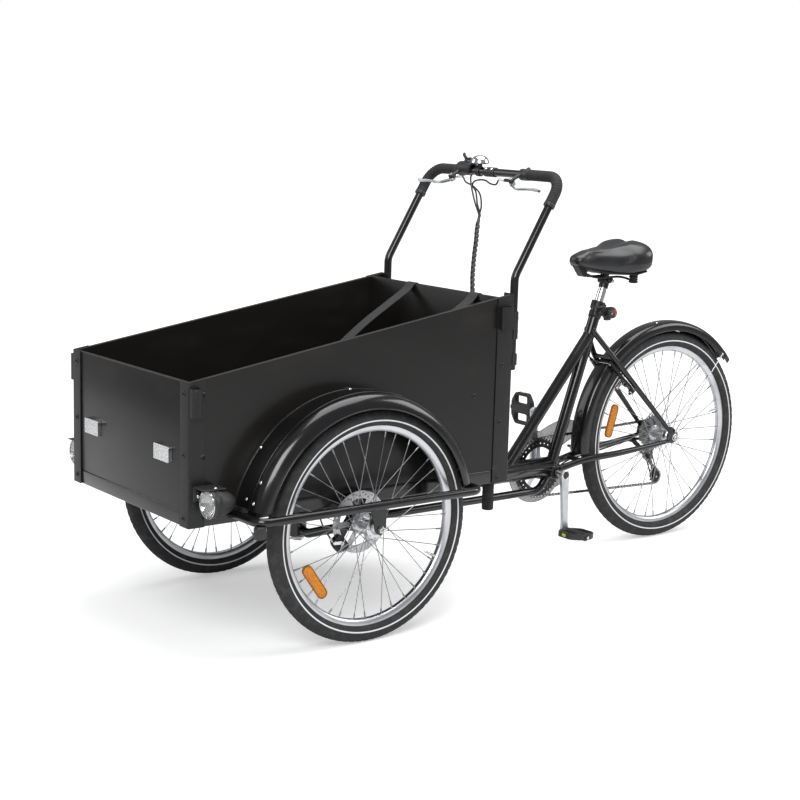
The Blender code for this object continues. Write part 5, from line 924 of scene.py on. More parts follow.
# Place, then yaw, pitch and roll in degrees, of the camera that was fitted to the photograph
CAMERA_PLACE = (3.5988, FRONT_Y - 2.3956, 1.3397)
CAMERA_TURN = (142.5266, -10.1886, 1.6032)
CAMERA_LENS = 75.094


def make_stage():
    """Pale floor, white surroundings for the camera, soft lamps and the photograph's camera."""
    f = Finish("pale_floor", (0.80, 0.80, 0.80), 0.9)
    seen = f.add("ShaderNodeLightPath", output="Is Camera Ray")
    f.set("Roughness", f.noise(3.0) * 0.1 + 0.85)
    across, back, _ = f.parts_of(f.here())
    far = ((across ** 2.0 + back ** 2.0) ** 0.5).step(1.6, 6.0) * 0.62 + 0.38
    f.set("Emission Color", f.blend(seen * far, (0.0, 0.0, 0.0), (1.0, 1.0, 1.0)))
    f.set("Emission Strength", 1.0)
    wide = 40
    corners = [(-wide, -wide, 0), (wide, -wide, 0), (wide, wide, 0), (-wide, wide, 0)]
    placed("floor", Shape(corners, [[(0, 1, 2, 3)]]), f.material)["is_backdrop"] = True

    world = bpy.data.worlds.new("studio")
    bpy.context.scene.world = world
    world.use_nodes = True
    tree = world.node_tree
    backdrop = tree.nodes["Background"]
    light_path = tree.nodes.new("ShaderNodeLightPath")
    colour = tree.nodes.new("ShaderNodeMix")
    colour.data_type = "RGBA"
    colour.inputs[6].default_value = SKY
    colour.inputs[7].default_value = WHITE
    tree.links.new(light_path.outputs["Is Camera Ray"], colour.inputs[0])
    tree.links.new(colour.outputs[2], backdrop.inputs["Color"])

    for name, (place, size, power) in STUDIO.items():
        lamp = bpy.data.lights.new(name, "AREA")
        lamp.size = size
        lamp.energy = power
        lit = linked(name, lamp)
        lit.location = place
        lit.rotation_euler = (Vector(LAMP_AIM) - Vector(place)).to_track_quat("-Z", "Y").to_euler()
        lit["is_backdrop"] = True

    yaw, pitch, roll = (math.radians(angle) for angle in CAMERA_TURN)
    ahead = Vector((math.cos(pitch) * math.cos(yaw), math.cos(pitch) * math.sin(yaw), math.sin(pitch)))
    side = ahead.cross((0, 0, 1)).normalized()
    up = side.cross(ahead)
    tilted = side * math.cos(roll) + up * math.sin(roll)
    upright = up * math.cos(roll) - side * math.sin(roll)
    camera = linked("camera", bpy.data.cameras.new("camera"))
    camera.data.lens = CAMERA_LENS
    camera.data.clip_end = 200.0
    turn = Matrix((tilted, upright, -ahead)).transposed().to_4x4()
    camera.matrix_world = Matrix.Translation(CAMERA_PLACE) @ turn
    bpy.context.scene.camera = camera
    bpy.context.scene.view_settings.view_transform = "Standard"


# Wheels

# Outer radius, bead radius and width
FRONT_TYRE = (FRONT_AXLE[2], 0.2535, 0.047)
REAR_TYRE = (REAR_AXLE[2], 0.2795, 0.050)
FRONT_STRIPE = 0.2682
REAR_STRIPE = 0.2986
RIM_HALF = 0.0125
TREAD = 0.0014
LUGS = 84


def tyre_shape(centre, outer, bead, width):
    """A ring whose cross-section is an ellipse from bead to bead, closed by a flat seat.

    The point at angle t from the crown is (r + a cos t, b sin t). Its distance from the axle also has
    a tread: a notched rib at the crown, then two rows of blocks on each side that alternate round the
    wheel.
    """
    a = (outer - TREAD - bead) * 0.56
    r = outer - TREAD - a
    t = np.linspace(-2.42, 2.42, 57)
    theta = around(LUGS * 6)[:, None]
    across = np.abs(t) * (a + width / 2) / 2
    turn = theta / (2 * np.pi) * LUGS
    shift = np.where(np.signbit(t), 0.5, 0.0)
    slope = 0.0007

    def band(low, high):
        """1 between two distances from the crown, falling to 0 over the slope of a knob's side."""
        return np.clip((across - low) / slope, 0, 1) * np.clip((high - across) / slope, 0, 1)

    def blocks(offset, gap):
        """1 on each knob and 0 in the gaps between them, once for each lug round the wheel."""
        phase = np.abs((turn + offset + shift) % 1.0 - 0.5)
        return np.clip((phase - gap) / 0.10, 0, 1)

    crown = np.clip((0.0042 - across) / slope, 0, 1) * (0.6 + 0.4 * blocks(0.0, 0.08))
    inner, outer = band(0.0055, 0.0115) * blocks(0.25, 0.10), band(0.0128, 0.0205) * blocks(0.75, 0.14)
    height = crown + inner + outer
    out = TREAD * np.minimum(height, 1.0)
    radius = r + (a + out) * np.cos(t)
    x = (width / 2 + 0.2 * out) * np.sin(t)
    seat = RIM_HALF - 0.0027
    low = np.full((len(theta), 1), bead + 0.0006)
    radius = np.hstack([low, radius, low])
    x = np.hstack([np.full_like(low, -seat), x, np.full_like(low, seat)])
    points = on_axle(x, radius, theta, centre)
    return Shape(points, [quads(len(theta), x.shape[1], True, True)]).outward()


def rim_shape(centre, bead):
    """A box-section rim: half of its outline mirrored across the wheel, then turned round the axle."""
    half = np.array(
        [
            (-0.0155, 0.0), (-0.0154, 0.0035), (-0.0140, 0.0070), (-0.0100, 0.0100), (-0.0045, 0.0119),
            (0.0010, 0.0124), (0.0052, 0.0125), (0.0060, 0.0119), (0.0057, 0.0107), (0.0030, 0.0104),
            (0.0008, 0.0100), (-0.0006, 0.0085), (-0.0008, 0.0),
        ]
    )
    half[:, 0] += bead
    profile = np.vstack([half, half[-2:0:-1] * (1, -1)])
    return turned(profile, centre, "X", 96)


def spoke_ends(centre, flanges, flange_r, reach, count):
    """Inner and outer ends of crossed spokes: left and right flange, leading and trailing in turn."""
    index = np.arange(count)
    side = np.where(index % 2 == 0, 1, -1)
    lead = np.where(index // 2 % 2 == 0, 1, -1)
    rim_angle = 2 * np.pi * index / count
    hub_angle = rim_angle + lead * np.radians(62)
    x = np.where(side > 0, flanges[0], flanges[1]) + lead * 0.0020
    inner = on_axle(x, flange_r - 0.0035, hub_angle, centre)
    return inner, on_axle(side * 0.0045 + lead * 0.0011, reach, rim_angle, centre)


def spokes_shape(centre, flanges, flange_r, bead, count):
    """Straight spokes with an elbow head at the flange and a nipple at the rim."""
    inner, outer = spoke_ends(centre, flanges, flange_r, bead - 0.0150, count)
    way = unit(outer - inner)
    shape = rods(inner, outer, 0.00105, 6) + rods(outer - way * 0.014, outer, 0.0021, 8)
    sideways = np.array([[0.0024, 0, 0]])
    return shape + rods(inner - sideways, inner + sideways, 0.0017, 6)


def flange_holes(centre, x, radius, count, size):
    """Raised rings round the spoke holes of a flange."""
    wide, half = size * 1.5, 0.0028
    ring = turned([(size, -half), (wide, -half), (wide, half), (size, half)], (0, 0, 0), "X", 10)
    matrices = np.tile(np.eye(4), (count, 1, 1))
    matrices[:, :3, 3] = on_axle(x, radius, around(count), centre)
    return copies(ring, matrices)


def front_hub_shape(centre):
    """A hub turned from half of its outline, mirrored across the wheel."""
    half = [
        (0.0118, 0.0), (0.0120, 0.012), (0.0145, 0.022), (0.0160, 0.0265), (0.0270, 0.0278),
        (0.0290, 0.0288), (0.0290, 0.0310), (0.0272, 0.0322), (0.0170, 0.0332), (0.0150, 0.0385),
        (0.0132, 0.0400), (0.0130, 0.0430), (0.0090, 0.0440), (0.0088, 0.0478), (0.0056, 0.0478),
    ]
    half = np.array(half)
    return turned(np.vstack([half, half[:0:-1] * (1, -1)]), centre, "X", 40)


def rotor_shape(centre, x):
    """A ground disc with six swept windows between its arms and three rows of round vent holes."""
    outlines = [circle(0.080, 96), circle(0.0205, 32)]
    u = np.linspace(0, 1, 7)
    for turn in around(6):
        window = [polar(0.028, turn + 0.30 + 0.62 * u), polar(0.0605, turn + 0.95 - 0.80 * u)]
        outlines.append(softened(np.vstack(window), 0.003, 3))
    for index, angle in enumerate(around(48)):
        outlines.append(circle(0.0021, 8) + polar((0.0665, 0.0705, 0.0745)[index % 3], angle))
    low, high = x - 0.0011, x + 0.0030
    ring = [(0.0210, low), (0.0210, high), (0.0145, high), (0.0145, low)]
    disc = cut_plate(outlines, 0.0018, "X", x).at(0, *centre[1:])
    return disc + turned(ring, (0, *centre[1:]), "X", 32)


def reflector_shape(centre, angle, distance, x):
    """An oblong reflector with round ends, whose back tray is a little larger, set along the rim."""
    turn = np.array(Matrix.Translation(Vector(centre)) @ Matrix.Rotation(math.radians(angle), 4, "X"))
    front = cut_plate([rounded_rectangle(0.0495, 0.0118, 0.010)], 0.0052).at(x, 0, distance)
    edges = [rounded_rectangle(0.0520, 0.0138, 0.012), rounded_rectangle(0.0500, 0.0122, 0.010)]
    rim = cut_plate(edges, 0.0066)
    behind = -math.copysign(0.0022, x)
    back = cut_plate([rounded_rectangle(0.0515, 0.0135, 0.012)], 0.0020, "X", behind)
    clips = block((-0.0045, -0.012, -0.006), (0.0045, 0.012, 0.006), 0.0015)
    tray = (rim + back).at(x, 0, distance) + clips.at(x - math.copysign(0.004, x), 0, distance)
    return front.by(turn), tray.by(turn)


def valve_shape(centre, angle, bead):
    """A valve stem towards the axle: a threaded stalk whose radius ripples, and a cap."""
    way = np.array([0, math.cos(angle), math.sin(angle)])
    start = np.asarray(centre) + way * (bead - 0.014)
    along = np.linspace(0, 1, 42)
    path = start - way * along[:, None] * 0.036
    radius = 0.0030 + 0.0003 * np.sin(along * 90) - 0.0006 * (along > 0.6)
    radius = np.where(along > 0.985, 0.0014, radius)
    nut = turned([(0.0031, 0.0), (0.0052, 0.0), (0.0052, 0.003), (0.0031, 0.003)], (0, 0, 0), "Z", 6)
    stem = tube(path, radius, 12, reference=(1, 0, 0))
    return stem + nut.by(facing(start - way * 0.002, -way, (1, 0, 0)))


ORANGE = (0.86, 0.29, 0.002)


def make_wheel(name, body, centre, tyre, stripe, flanges, flange_r, hub, reflector, valve):
    """Tyre, rim, spokes, hub, reflector and valve of one wheel."""
    outer, bead, width = tyre
    y, z = centre[1:]
    count = palette().spokes
    piece(name + "_tyre_tread", tyre_shape(centre, outer, bead, width), tyre_rubber(y, z, stripe), body,
          name + "_tyre", "tyre_rubber", 50)
    piece(
        name + "_rim_ring", rim_shape(centre, bead), rim_alloy(y, z), body, name + "_rim", "rim_alloy",
        60
    )
    piece(name + "_spokes", spokes_shape(centre, flanges, flange_r, bead, count), spoke_steel(), body,
          name + "_hub", "bright_steel", 50)
    piece(name + "_hub_shell", hub, rim_alloy(y, z), body, name + "_hub", "bright_steel", 35)
    angle, distance, x = reflector
    front, tray = reflector_shape(centre, angle, distance, x)
    piece(name + "_reflector", front, reflector_plastic(*ORANGE), body, name + "_hub", bevel=0.0008)
    piece(name + "_reflector_tray", tray, reflector_plastic(0.42, 0.14, 0.005), body, name + "_hub")
    piece(name + "_valve", valve_shape(centre, valve, bead), bright_steel(), body, name + "_rim")


# Reach of the spokes: the inscribed circle of the rim's 24-sided seat, less a small gap
FRONT_REACH = 0.2374 * math.cos(math.pi / 24) - 0.0007
REAR_REACH = (0.2795 - 0.0155) * math.cos(math.pi / 24) - 0.0007
REFLECTOR_IN = 0.030


def make_front_wheels():
    """Both front wheels, with their brake rotors on the inner side."""
    for side, name, angle in ((1, "front_left", 125), (-1, "front_right", 40)):
        centre = spot(side * 0.360, 0, FRONT_AXLE[2])
        hub = front_hub_shape(centre)
        for x in (0.0298, -0.0298):
            hub = hub + flange_holes(centre, x, 0.0255, 18, 0.0014)
        body = name + "_wheel"
        make_wheel(name, body, centre, FRONT_TYRE, FRONT_STRIPE, (0.029, -0.029), 0.029, hub,
                   (angle, FRONT_REACH - REFLECTOR_IN, side * 0.0115), math.radians(-27.3))
        rotor = rotor_shape(centre, 0.360 - 0.048 + 0.0075)
        rotor = rotor if side > 0 else rotor.mirror()
        piece(
            name + "_rotor", rotor, rotor_steel(centre[1], centre[2]), body, name + "_hub", bevel=0.0002
        )
        places = on_axle(side * 0.3166, 0.0225, around(6) + 0.2, (0, *centre[1:]))
        bolts = [facing(place, (-side, 0, 0), (0, 1, 0)) for place in places]
        piece(name + "_rotor_bolts", copies(dome_bolt(0.0035, 0.0024), bolts), bright_steel(), body)


def rear_hub_shape():
    """The rear hub's shell, whose drive side is the narrower one."""
    profile = [
        (0.0056, -0.0254), (0.0150, -0.0254), (0.0150, -0.0248), (0.0225, -0.0247), (0.0240, -0.0240),
        (0.0240, -0.0200), (0.0225, -0.0190), (0.0160, -0.0180), (0.0148, -0.0100), (0.0148, 0.0240),
        (0.0160, 0.0320), (0.0225, 0.0330), (0.0240, 0.0340), (0.0240, 0.0378), (0.0225, 0.0388),
        (0.0150, 0.0395), (0.0130, 0.0440), (0.0100, 0.0460), (0.0096, 0.0620), (0.0056, 0.0624),
    ]
    return turned(profile, REAR_AXLE, "X", 40)


def make_rear_wheel():
    """The driven wheel, with the clear spoke protector behind its cogs."""
    hub = rear_hub_shape()
    for x in (0.0358, -0.0220):
        hub = hub + flange_holes(REAR_AXLE, x, 0.0205, 18, 0.0014)
    make_wheel("rear", "rear_wheel", REAR_AXLE, REAR_TYRE, REAR_STRIPE, (0.0355, -0.0215), 0.024, hub,
               (74, REAR_REACH - REFLECTOR_IN, 0.0105), math.radians(12.8))
    profile = [
        (0.0245, -0.0238), (0.060, -0.0226), (0.0672, -0.0218), (0.0690, -0.0226), (0.0672, -0.0234),
        (0.060, -0.0240), (0.0245, -0.0250)
    ]
    piece("spoke_protector", turned(profile, REAR_AXLE, "X", 64), clear_disc(), "rear_wheel")


# Front carrier and box: sizes of the part's source

PANEL_SIDE = 0.2937
BOX_SIDE = 0.2965
BOX_FRONT = -0.478
BOX_REAR = 0.473
POST_BACK = 0.508
BASE_LOW, BASE_TOP = 0.337, 0.373
CROSS_TOP = 0.361
BASE_FRONT, BASE_BACK = -0.4752, 0.5052
RAIL_X, RAIL_Z, RAIL_FRONT, RAIL_REAR = 0.4215, 0.362, -0.361, 0.310
RAIL_R = 0.011
KING_Y = 0.030
PLY = 0.012
SHEET = 0.0025


def top_line(y):
    """Height of the box's sloping top edge."""
    return 0.683 + 0.1628 * (np.asarray(y) - BOX_FRONT)


def weld(path, radius, sides=10):
    """A bead of weld along a path: its radius ripples with the distance along it."""
    path = evenly(np.asarray(path, float), max(int(distances(np.asarray(path, float))[-1] / 0.0011), 6))
    ripple = radius * (1 + 0.16 * np.sin(np.arange(len(path)) * 2.1))
    ripple[[0, -1]] *= 0.5
    return tube(path, ripple, sides)


def collar_weld(centre, axis, radius, size=0.0022, count=90):
    """A bead of weld round a tube, on the circle of a radius about an axis."""
    basis = facing(centre, axis, (0.31, 0.57, 0.76))
    line = np.column_stack([circle(radius, count), np.zeros(count)]) @ basis[:3, :3].T
    ripple = size * (1 + 0.15 * np.sin(np.arange(count) * 2.2))
    return tube(line + centre, ripple, 8, closed=True, reference=axis)


def base_shape():
    """The base: four flat rails, welded at the corners, and three cross members."""
    width, edge = 0.022, 0.0025
    side = PANEL_SIDE
    inside = side - width

    def across(y_low, y_high, z_low, z_high):
        return block(spot(-inside - 0.001, y_low, z_low), spot(inside + 0.001, y_high, z_high), edge, 4)

    def upright(y, top):
        return both(weld([spot(inside, y, BASE_LOW + 0.003), spot(inside, y, top - 0.002)], 0.0018))

    made = [
        both(block(spot(inside, BASE_FRONT, BASE_LOW), spot(side, BASE_BACK, BASE_TOP), edge, 4)),
        across(BASE_FRONT, BASE_FRONT + width, BASE_LOW, BASE_TOP),
        across(BASE_BACK - width, BASE_BACK, BASE_LOW, BASE_TOP),
    ]
    for middle, half in ((-0.340, 0.015), (KING_Y, 0.035), (0.360, 0.015)):
        made.append(across(middle - half, middle + half, BASE_LOW + 0.0004, CROSS_TOP))
        made += [upright(y, CROSS_TOP) for y in (middle - half, middle + half)]
    made += [upright(y, BASE_TOP) for y in (BASE_FRONT + width, BASE_BACK - width)]
    return together(made)


def rail_shape():
    """Left outer rail with its plug, dropouts and their welds."""
    inside = PANEL_SIDE - 0.001
    route = [
        spot(inside, RAIL_FRONT, RAIL_Z), spot(RAIL_X, RAIL_FRONT, RAIL_Z),
        spot(RAIL_X, RAIL_REAR, RAIL_Z), spot(inside, RAIL_REAR, RAIL_Z)
    ]
    made = [tube(bent(route, 0.028, 10), RAIL_R, 24)]
    for y in (RAIL_FRONT, RAIL_REAR):
        made.append(collar_weld(spot(inside + 0.0015, y, RAIL_Z), (1, 0, 0), RAIL_R + 0.0006))
    z = FRONT_AXLE[2]
    outer = np.array(
        [
            (-0.034, RAIL_Z - 0.004), (0.016, RAIL_Z - 0.004), (0.014, z + 0.002), (0.008, z - 0.012),
            (-0.006, z - 0.014), (-0.016, z - 0.007)
        ]
    ) + (FRONT_Y, 0)
    inner = np.array(
        [
            (-0.020, RAIL_Z + 0.004), (0.020, RAIL_Z + 0.004), (0.016, z), (0.008, z - 0.013),
            (-0.006, z - 0.015), (-0.020, z - 0.008), (-0.046, z - 0.049), (-0.066, z - 0.036),
            (-0.026, z + 0.024)
        ]
    ) + (FRONT_Y, 0)
    made.append(cut_plate([softened(outer, 0.008)], 0.0048, "X", 0.411))
    made.append(cut_plate([softened(inner, 0.008)], 0.0048, "X", 0.309))
    made.append(
        block(spot(PANEL_SIDE - 0.001, -0.016, 0.344), spot(0.310, 0.016, RAIL_Z + 0.0015), 0.002)
    )
    for x in (0.411 - 0.0034, 0.411 + 0.0034):
        made.append(weld([spot(x, y, RAIL_Z - 0.0095) for y in (-0.030, 0.014)], 0.0017))
    return together(made)


def plug_shape():
    """Rubber bump stop under the front bend of the left rail, with two raised ribs."""
    low = spot(RAIL_X - 0.010, -0.372, RAIL_Z - 0.038)
    high = spot(RAIL_X + 0.010, -0.346, RAIL_Z - 0.007)
    ribs = [block(spot(RAIL_X - 0.0103, -0.3723, z), spot(RAIL_X + 0.0103, -0.3457, z + 0.004), 0.0015)
            for z in (RAIL_Z - 0.034, RAIL_Z - 0.026)]
    return block(low, high, 0.004, 4) + together(ribs)


def axle_shape():
    """Left axle: threaded ends, washers and nuts outside both dropouts."""
    z = FRONT_AXLE[2]
    along = np.linspace(0.2985, 0.428, 260)
    radius = 0.0046 + 0.00018 * np.sin(along * 2 * np.pi / 0.001)
    line = np.stack([along, np.full(260, FRONT_Y), np.full(260, z)], 1)
    made = [tube(line, radius, 14, reference=(0, 0, 1))]
    ring = [(0.0048, 0), (0.0092, 0), (0.0092, 0.0014), (0.0048, 0.0014)]
    for x, way in ((0.3065, -1), (0.4135, 1)):
        made.append(turned(ring, (0, 0, 0), "Z", 28).by(facing(spot(x, 0, z), (way, 0, 0))))
        made.append(hex_bolt(0.0094, 0.0062).by(facing(spot(x + way * 0.0013, 0, z), (way, 0, 0))))
    return together(made)


def brace_shape():
    """The bent cross tube under the base, the kingpin's two bosses and their welds."""
    half = [(0.279, 0.340), (0.270, 0.276), (0.052, 0.203)]
    line = half + [(-x, z) for x, z in half[::-1]]
    made = [tube(bent([spot(x, KING_Y, z) for x, z in line], 0.030, 8), 0.0125, 24)]
    made.append(both(collar_weld(spot(0.278, KING_Y, 0.3365), (0.1, 0, 1), 0.0132)))
    for low, high, radius in ((0.186, 0.2365, 0.0240), (0.3120, 0.3365, 0.0280)):
        profile = [(0.0124, low), (radius - 0.002, low), (radius, low + 0.002), (radius, high - 0.002),
                   (radius - 0.002, high), (0.0124, high)]
        made.append(turned(profile, spot(0, KING_Y, 0), "Z", 48))
    made.append(both(collar_weld(spot(0.0235, KING_Y, 0.203), (1, 0, 0.05), 0.0130)))
    return together(made)


def stop_shape():
    """Left steering stop: a ribbed rubber post below its tab."""
    profile = [(0.0158, 0.347)]
    for z in (0.336, 0.310, 0.288):
        profile += [(0.0158, z + 0.002), (0.0144, z), (0.0158, z - 0.002)]
    profile += [
        (0.0158, 0.262), (0.0150, 0.2575), (0.0118, 0.2562), (0.004, 0.2562), (0.004, 0.262),
        (0.003, 0.347)
    ]
    return turned(profile, spot(0.260, BOX_REAR - 0.001, 0), "Z", 36)


def make_carrier():
    """Welded carrier frame with its wheel rails, dropouts, brace, kingpin and steering stops."""
    paint = gloss_paint()
    piece("base_frame", base_shape(), paint, "carrier", "carrier_frame", "gloss_black_paint")
    piece("wheel_rails", both(rail_shape()), paint, "carrier", "carrier_frame", bevel=0.0007)
    piece("brace", brace_shape(), paint, "carrier", "carrier_frame")
    tab = block(
        spot(0.240, BOX_REAR - 0.023, 0.3378), spot(PANEL_SIDE - 0.003, BOX_REAR + 0.017, 0.3470), 0.002
    )
    piece("stop_tabs", both(tab), paint, "carrier", "carrier_frame")
    piece("steering_stops", both(stop_shape()), grip_rubber(), "carrier", "carrier_frame")
    piece("rail_plugs", both(plug_shape()), moulded_plastic(), "carrier", "carrier_frame")
    piece("front_axles", both(axle_shape()), bright_steel(), "carrier", "carrier_frame", angle=30)
    profile = [
        (0.0100, 0.1745), (0.0118, 0.1765), (0.0118, 0.3558), (0.0106, 0.3572), (0.003, 0.3572),
        (0.003, 0.1745)
    ]
    pin = turned(profile, spot(0, KING_Y, 0), "Z", 36)
    nut = hex_bolt(0.0176, 0.0100).by(facing(spot(0, KING_Y, 0.1855), (0, 0, -1), (1, 0, 0)))
    piece("kingpin_bolt", pin + nut, bright_steel(), "carrier", "kingpin", "bright_steel", 30)


def sloping_panel(x_low, x_high, y_low, y_high, z_low):
    """A panel whose top follows the sloping edge."""
    ends = [(y_low, z_low), (y_high, z_low), (y_high, top_line(y_high)), (y_low, top_line(y_low))]
    outline = softened(np.array(ends) + (FRONT_Y, 0), 0.004, 5)
    return cut_plate([outline], x_high - x_low, "X", (x_low + x_high) / 2)


def post_bolts():
    """Round-headed bolts through the corner posts, the front board and the clamps."""
    side = [
        (-0.440, 0.654), (-0.440, 0.506), (-0.440, 0.357), (0.382, 0.581), (0.472, 0.801),
        (0.472, 0.657), (0.472, 0.503), (0.472, 0.352)
    ]
    places = []
    for y, z in side:
        x = PANEL_SIDE if y == 0.382 else BOX_SIDE
        places += [(spot(way * x, y, z), (way, 0, 0)) for way in (1, -1)]
    for z in (0.656, 0.510, 0.358):
        places += [(spot(x, BOX_FRONT, z), (0, -1, 0)) for x in (0.274, -0.274)]
        places += [(spot(x, POST_BACK, z - 0.02), (0, 1, 0)) for x in (0.268, -0.268)]
    return copies(dome_bolt(0.0068, 0.0032), [facing(place, way) for place, way in places])


def inner_nuts():
    """Square washers and nuts on the inner faces of the side panels, behind the bolts seen there."""
    bolts = ((-0.440, 0.654), (-0.440, 0.506), (0.382, 0.581))
    places = [spot(PANEL_SIDE - PLY, y, z) for y, z in bolts]
    nuts = copies(hex_bolt(0.0070, 0.0050), [facing(place, (-1, 0, 0)) for place in places])
    plates = together(
        [
            block(place - (0.0012, 0.009, 0.009), place + (0.0001, 0.009, 0.009), 0.0005)
            for place in places
        ]
    )
    return both(nuts + plates)


def post_shape(front):
    """Left corner post as one folded sheet, its top cut to the slope and its outer corner rounded."""
    y0, sign, side_leg = (BOX_FRONT, 1, 0.044) if front else (POST_BACK, -1, 0.0545)
    face_leg, outer, inner = 0.041, 0.0035, 0.0012
    t = np.linspace(0, np.pi / 2, 5)
    big = np.stack([BOX_SIDE - outer + outer * np.cos(t), y0 + sign * (outer - outer * np.sin(t))], 1)
    small = np.stack(
        [BOX_SIDE - SHEET - inner + inner * np.sin(t), y0 + sign * (SHEET + inner - inner * np.cos(t))],
        1
    )
    ring = np.vstack(
        [
            [(BOX_SIDE, y0 + sign * side_leg)], big, [(BOX_SIDE - face_leg, y0)],
            [(BOX_SIDE - face_leg, y0 + sign * SHEET)], small,
            [(BOX_SIDE - SHEET, y0 + sign * side_leg)],
        ]
    )
    top = top_line(ring[:, 1]) + 0.001
    count = len(ring)
    low = np.column_stack([ring[:, 0], ring[:, 1] + FRONT_Y, np.full(count, BASE_LOW)])
    high = np.column_stack([low[:, :2], top])
    triangles = filled([ring])
    faces = [quads(2, count, False, True), triangles[:, ::-1], triangles + count]
    shape = Shape(np.vstack([low, high]), faces)
    corner = ring[triangles]
    if np.cross(corner[:, 1] - corner[:, 0], corner[:, 2] - corner[:, 0]).sum() < 0:
        shape.faces[1:] = [shape.faces[1][:, ::-1], shape.faces[2][:, ::-1]]
    return shape.outward()


def pocket_shape(y_low, y_high, z_low, z_high, depth):
    """Left stake pocket: a bent strap round three sides of its opening."""
    t = 0.003 / 2
    near, far, first, last = BOX_SIDE - 0.0005, BOX_SIDE + depth - t, y_low + t, y_high - t
    route = [(near, first), (far, first), (far, last), (near, last)]
    path = bent([spot(x, y, (z_low + z_high) / 2) for x, y in route], 0.004, 5)
    half = (z_high - z_low) / 2
    return swept(path, [(-t, -half), (t, -half), (t, half), (-t, half)], reference=(0, 0, 1))


def clamp_shape(low, high):
    """Left bar clamp on the rear post: a strap round the bar, with two lips against the post."""
    y = POST_BACK + 0.0118
    z = (low + high) / 2
    half = (high - low) / 2
    t = np.radians(np.linspace(-100, 100, 21))
    radius = 0.0128
    arc = np.stack([0.280 + radius * np.sin(t), y + radius * np.cos(t)], 1)
    first = [(0.280 - 0.0155, POST_BACK + 0.0012), (0.280 - 0.0140, POST_BACK + 0.004)]
    last = [(0.280 + 0.0140, POST_BACK + 0.004), (0.280 + 0.0155, POST_BACK + 0.0012)]
    path = np.vstack([first, arc, last])
    path = np.column_stack([path[:, 0], path[:, 1] + FRONT_Y, np.full(len(path), z)])
    t = 0.0014
    ring = [(-t, -half), (t, -half), (t, half), (-t, half)]
    return swept(evenly(path, 40), ring, reference=(0, 0, 1))


def make_box():
    """Plywood panels, folded corner posts with their pockets and bar clamps, and all their bolts."""
    film = ply_film()
    gap = 0.0003
    low = spot(-0.2714, BASE_FRONT + 0.022 + gap, CROSS_TOP + gap)
    high = spot(0.2714, BASE_BACK - 0.022 - gap, BASE_TOP + gap)
    piece("floor_board", block(low, high, 0.0012), film, "carrier", "floor_panel", "black_ply")
    bottom = BASE_TOP + gap
    left = sloping_panel(PANEL_SIDE - PLY, PANEL_SIDE, BASE_FRONT, BASE_BACK, bottom)
    piece("left_board", left, film, "carrier", "left_panel", "black_ply", bevel=0.0012)
    piece("right_board", left.mirror(), film, "carrier", "right_panel", "black_ply", bevel=0.0012)
    across = PANEL_SIDE - PLY - gap
    for name, y in (("front", BASE_FRONT), ("rear", BOX_REAR - PLY)):
        board = block(spot(-across, y, bottom), spot(across, y + PLY, float(top_line(y))), 0.0016)
        piece(name + "_board", board, film, "carrier", name + "_panel", "black_ply")
    steel = satin_steel()
    for name, front in (("front", True), ("rear", False)):
        post = post_shape(front)
        if front:
            post = post + pocket_shape(BOX_FRONT + 0.002, BOX_FRONT + 0.028, 0.603, 0.671, 0.019)
        else:
            post = post + pocket_shape(POST_BACK - 0.052, POST_BACK - 0.012, 0.753, 0.812, 0.017)
            post = post + clamp_shape(0.652, 0.682) + clamp_shape(0.722, 0.795)
        for side, shape in (("left", post), ("right", post.mirror())):
            node = name + "_" + side
            piece(
                node + "_angle", shape, steel, "carrier", node + "_post", "satin_black_steel",
                bevel=0.0004
            )
    piece("panel_bolts", post_bolts(), satin_steel(), "carrier", angle=50)
    piece("panel_nuts", inner_nuts(), bright_steel(), "carrier", angle=30)
    clamp_bolts = [
        facing(spot(side * 0.280, POST_BACK + 0.0265, z), (0, 1, 0)) for side in (1, -1)
        for z in (0.667, 0.741, 0.776)
    ]
    piece(
        "clamp_bolts", copies(hex_bolt(0.0058, 0.0008), clamp_bolts), bright_steel(), "carrier",
        angle=30
    )
    tiles, frames = [], []
    for x in (-0.180, 0.180):
        y = BOX_FRONT - 0.008
        low, high = spot(x - 0.0335, y + 0.0002, 0.4835), spot(x + 0.0335, BASE_FRONT + 0.001, 0.5165)
        tiles.append(block(low, high, 0.0010))
        outline = rounded_rectangle(0.0190, 0.0360, 0.003) + (0.500, x)
        hole = rounded_rectangle(0.0162, 0.0332, 0.002) + (0.500, x)
        frames.append(cut_plate([outline, hole], 0.0106, "Y", FRONT_Y + y + 0.0053))
    piece(
        "front_reflectors", together(tiles), reflector_plastic(0.86, 0.87, 0.88), "carrier",
        "front_panel"
    )
    piece("reflector_frames", together(frames), bright_steel(), "carrier", "front_panel", bevel=0.0006)


# Mudguards, lamps and front brakes

FENDER_SHEET = 0.0012


def thick(line, thickness):
    """A closed ring: an open line moved by half the thickness to each side along its normals."""
    line = np.asarray(line, float)
    way = unit(np.gradient(line, axis=0))
    normal = np.stack([-way[:, 1], way[:, 0]], 1) * thickness / 2
    return np.vstack([line + normal, (line - normal)[::-1]])


def guard_sheet(line, thickness, centre, start, end, count=97):
    """A (x, radius) line given a thickness and carried round an axle from one angle to another."""
    section = thick(line, thickness)
    t = np.radians(np.linspace(start, end, count))[:, None]
    u, r = section[None, :, 0], section[None, :, 1]
    points = on_axle(u, r, t, centre)
    columns = len(section)
    i = np.arange(columns // 2 - 1)
    cap = np.stack([i, i + 1, columns - 2 - i, columns - 1 - i], 1)
    last = (count - 1) * columns
    return Shape(points, [quads(count, columns, False, True), cap[:, ::-1], cap + last]).outward()


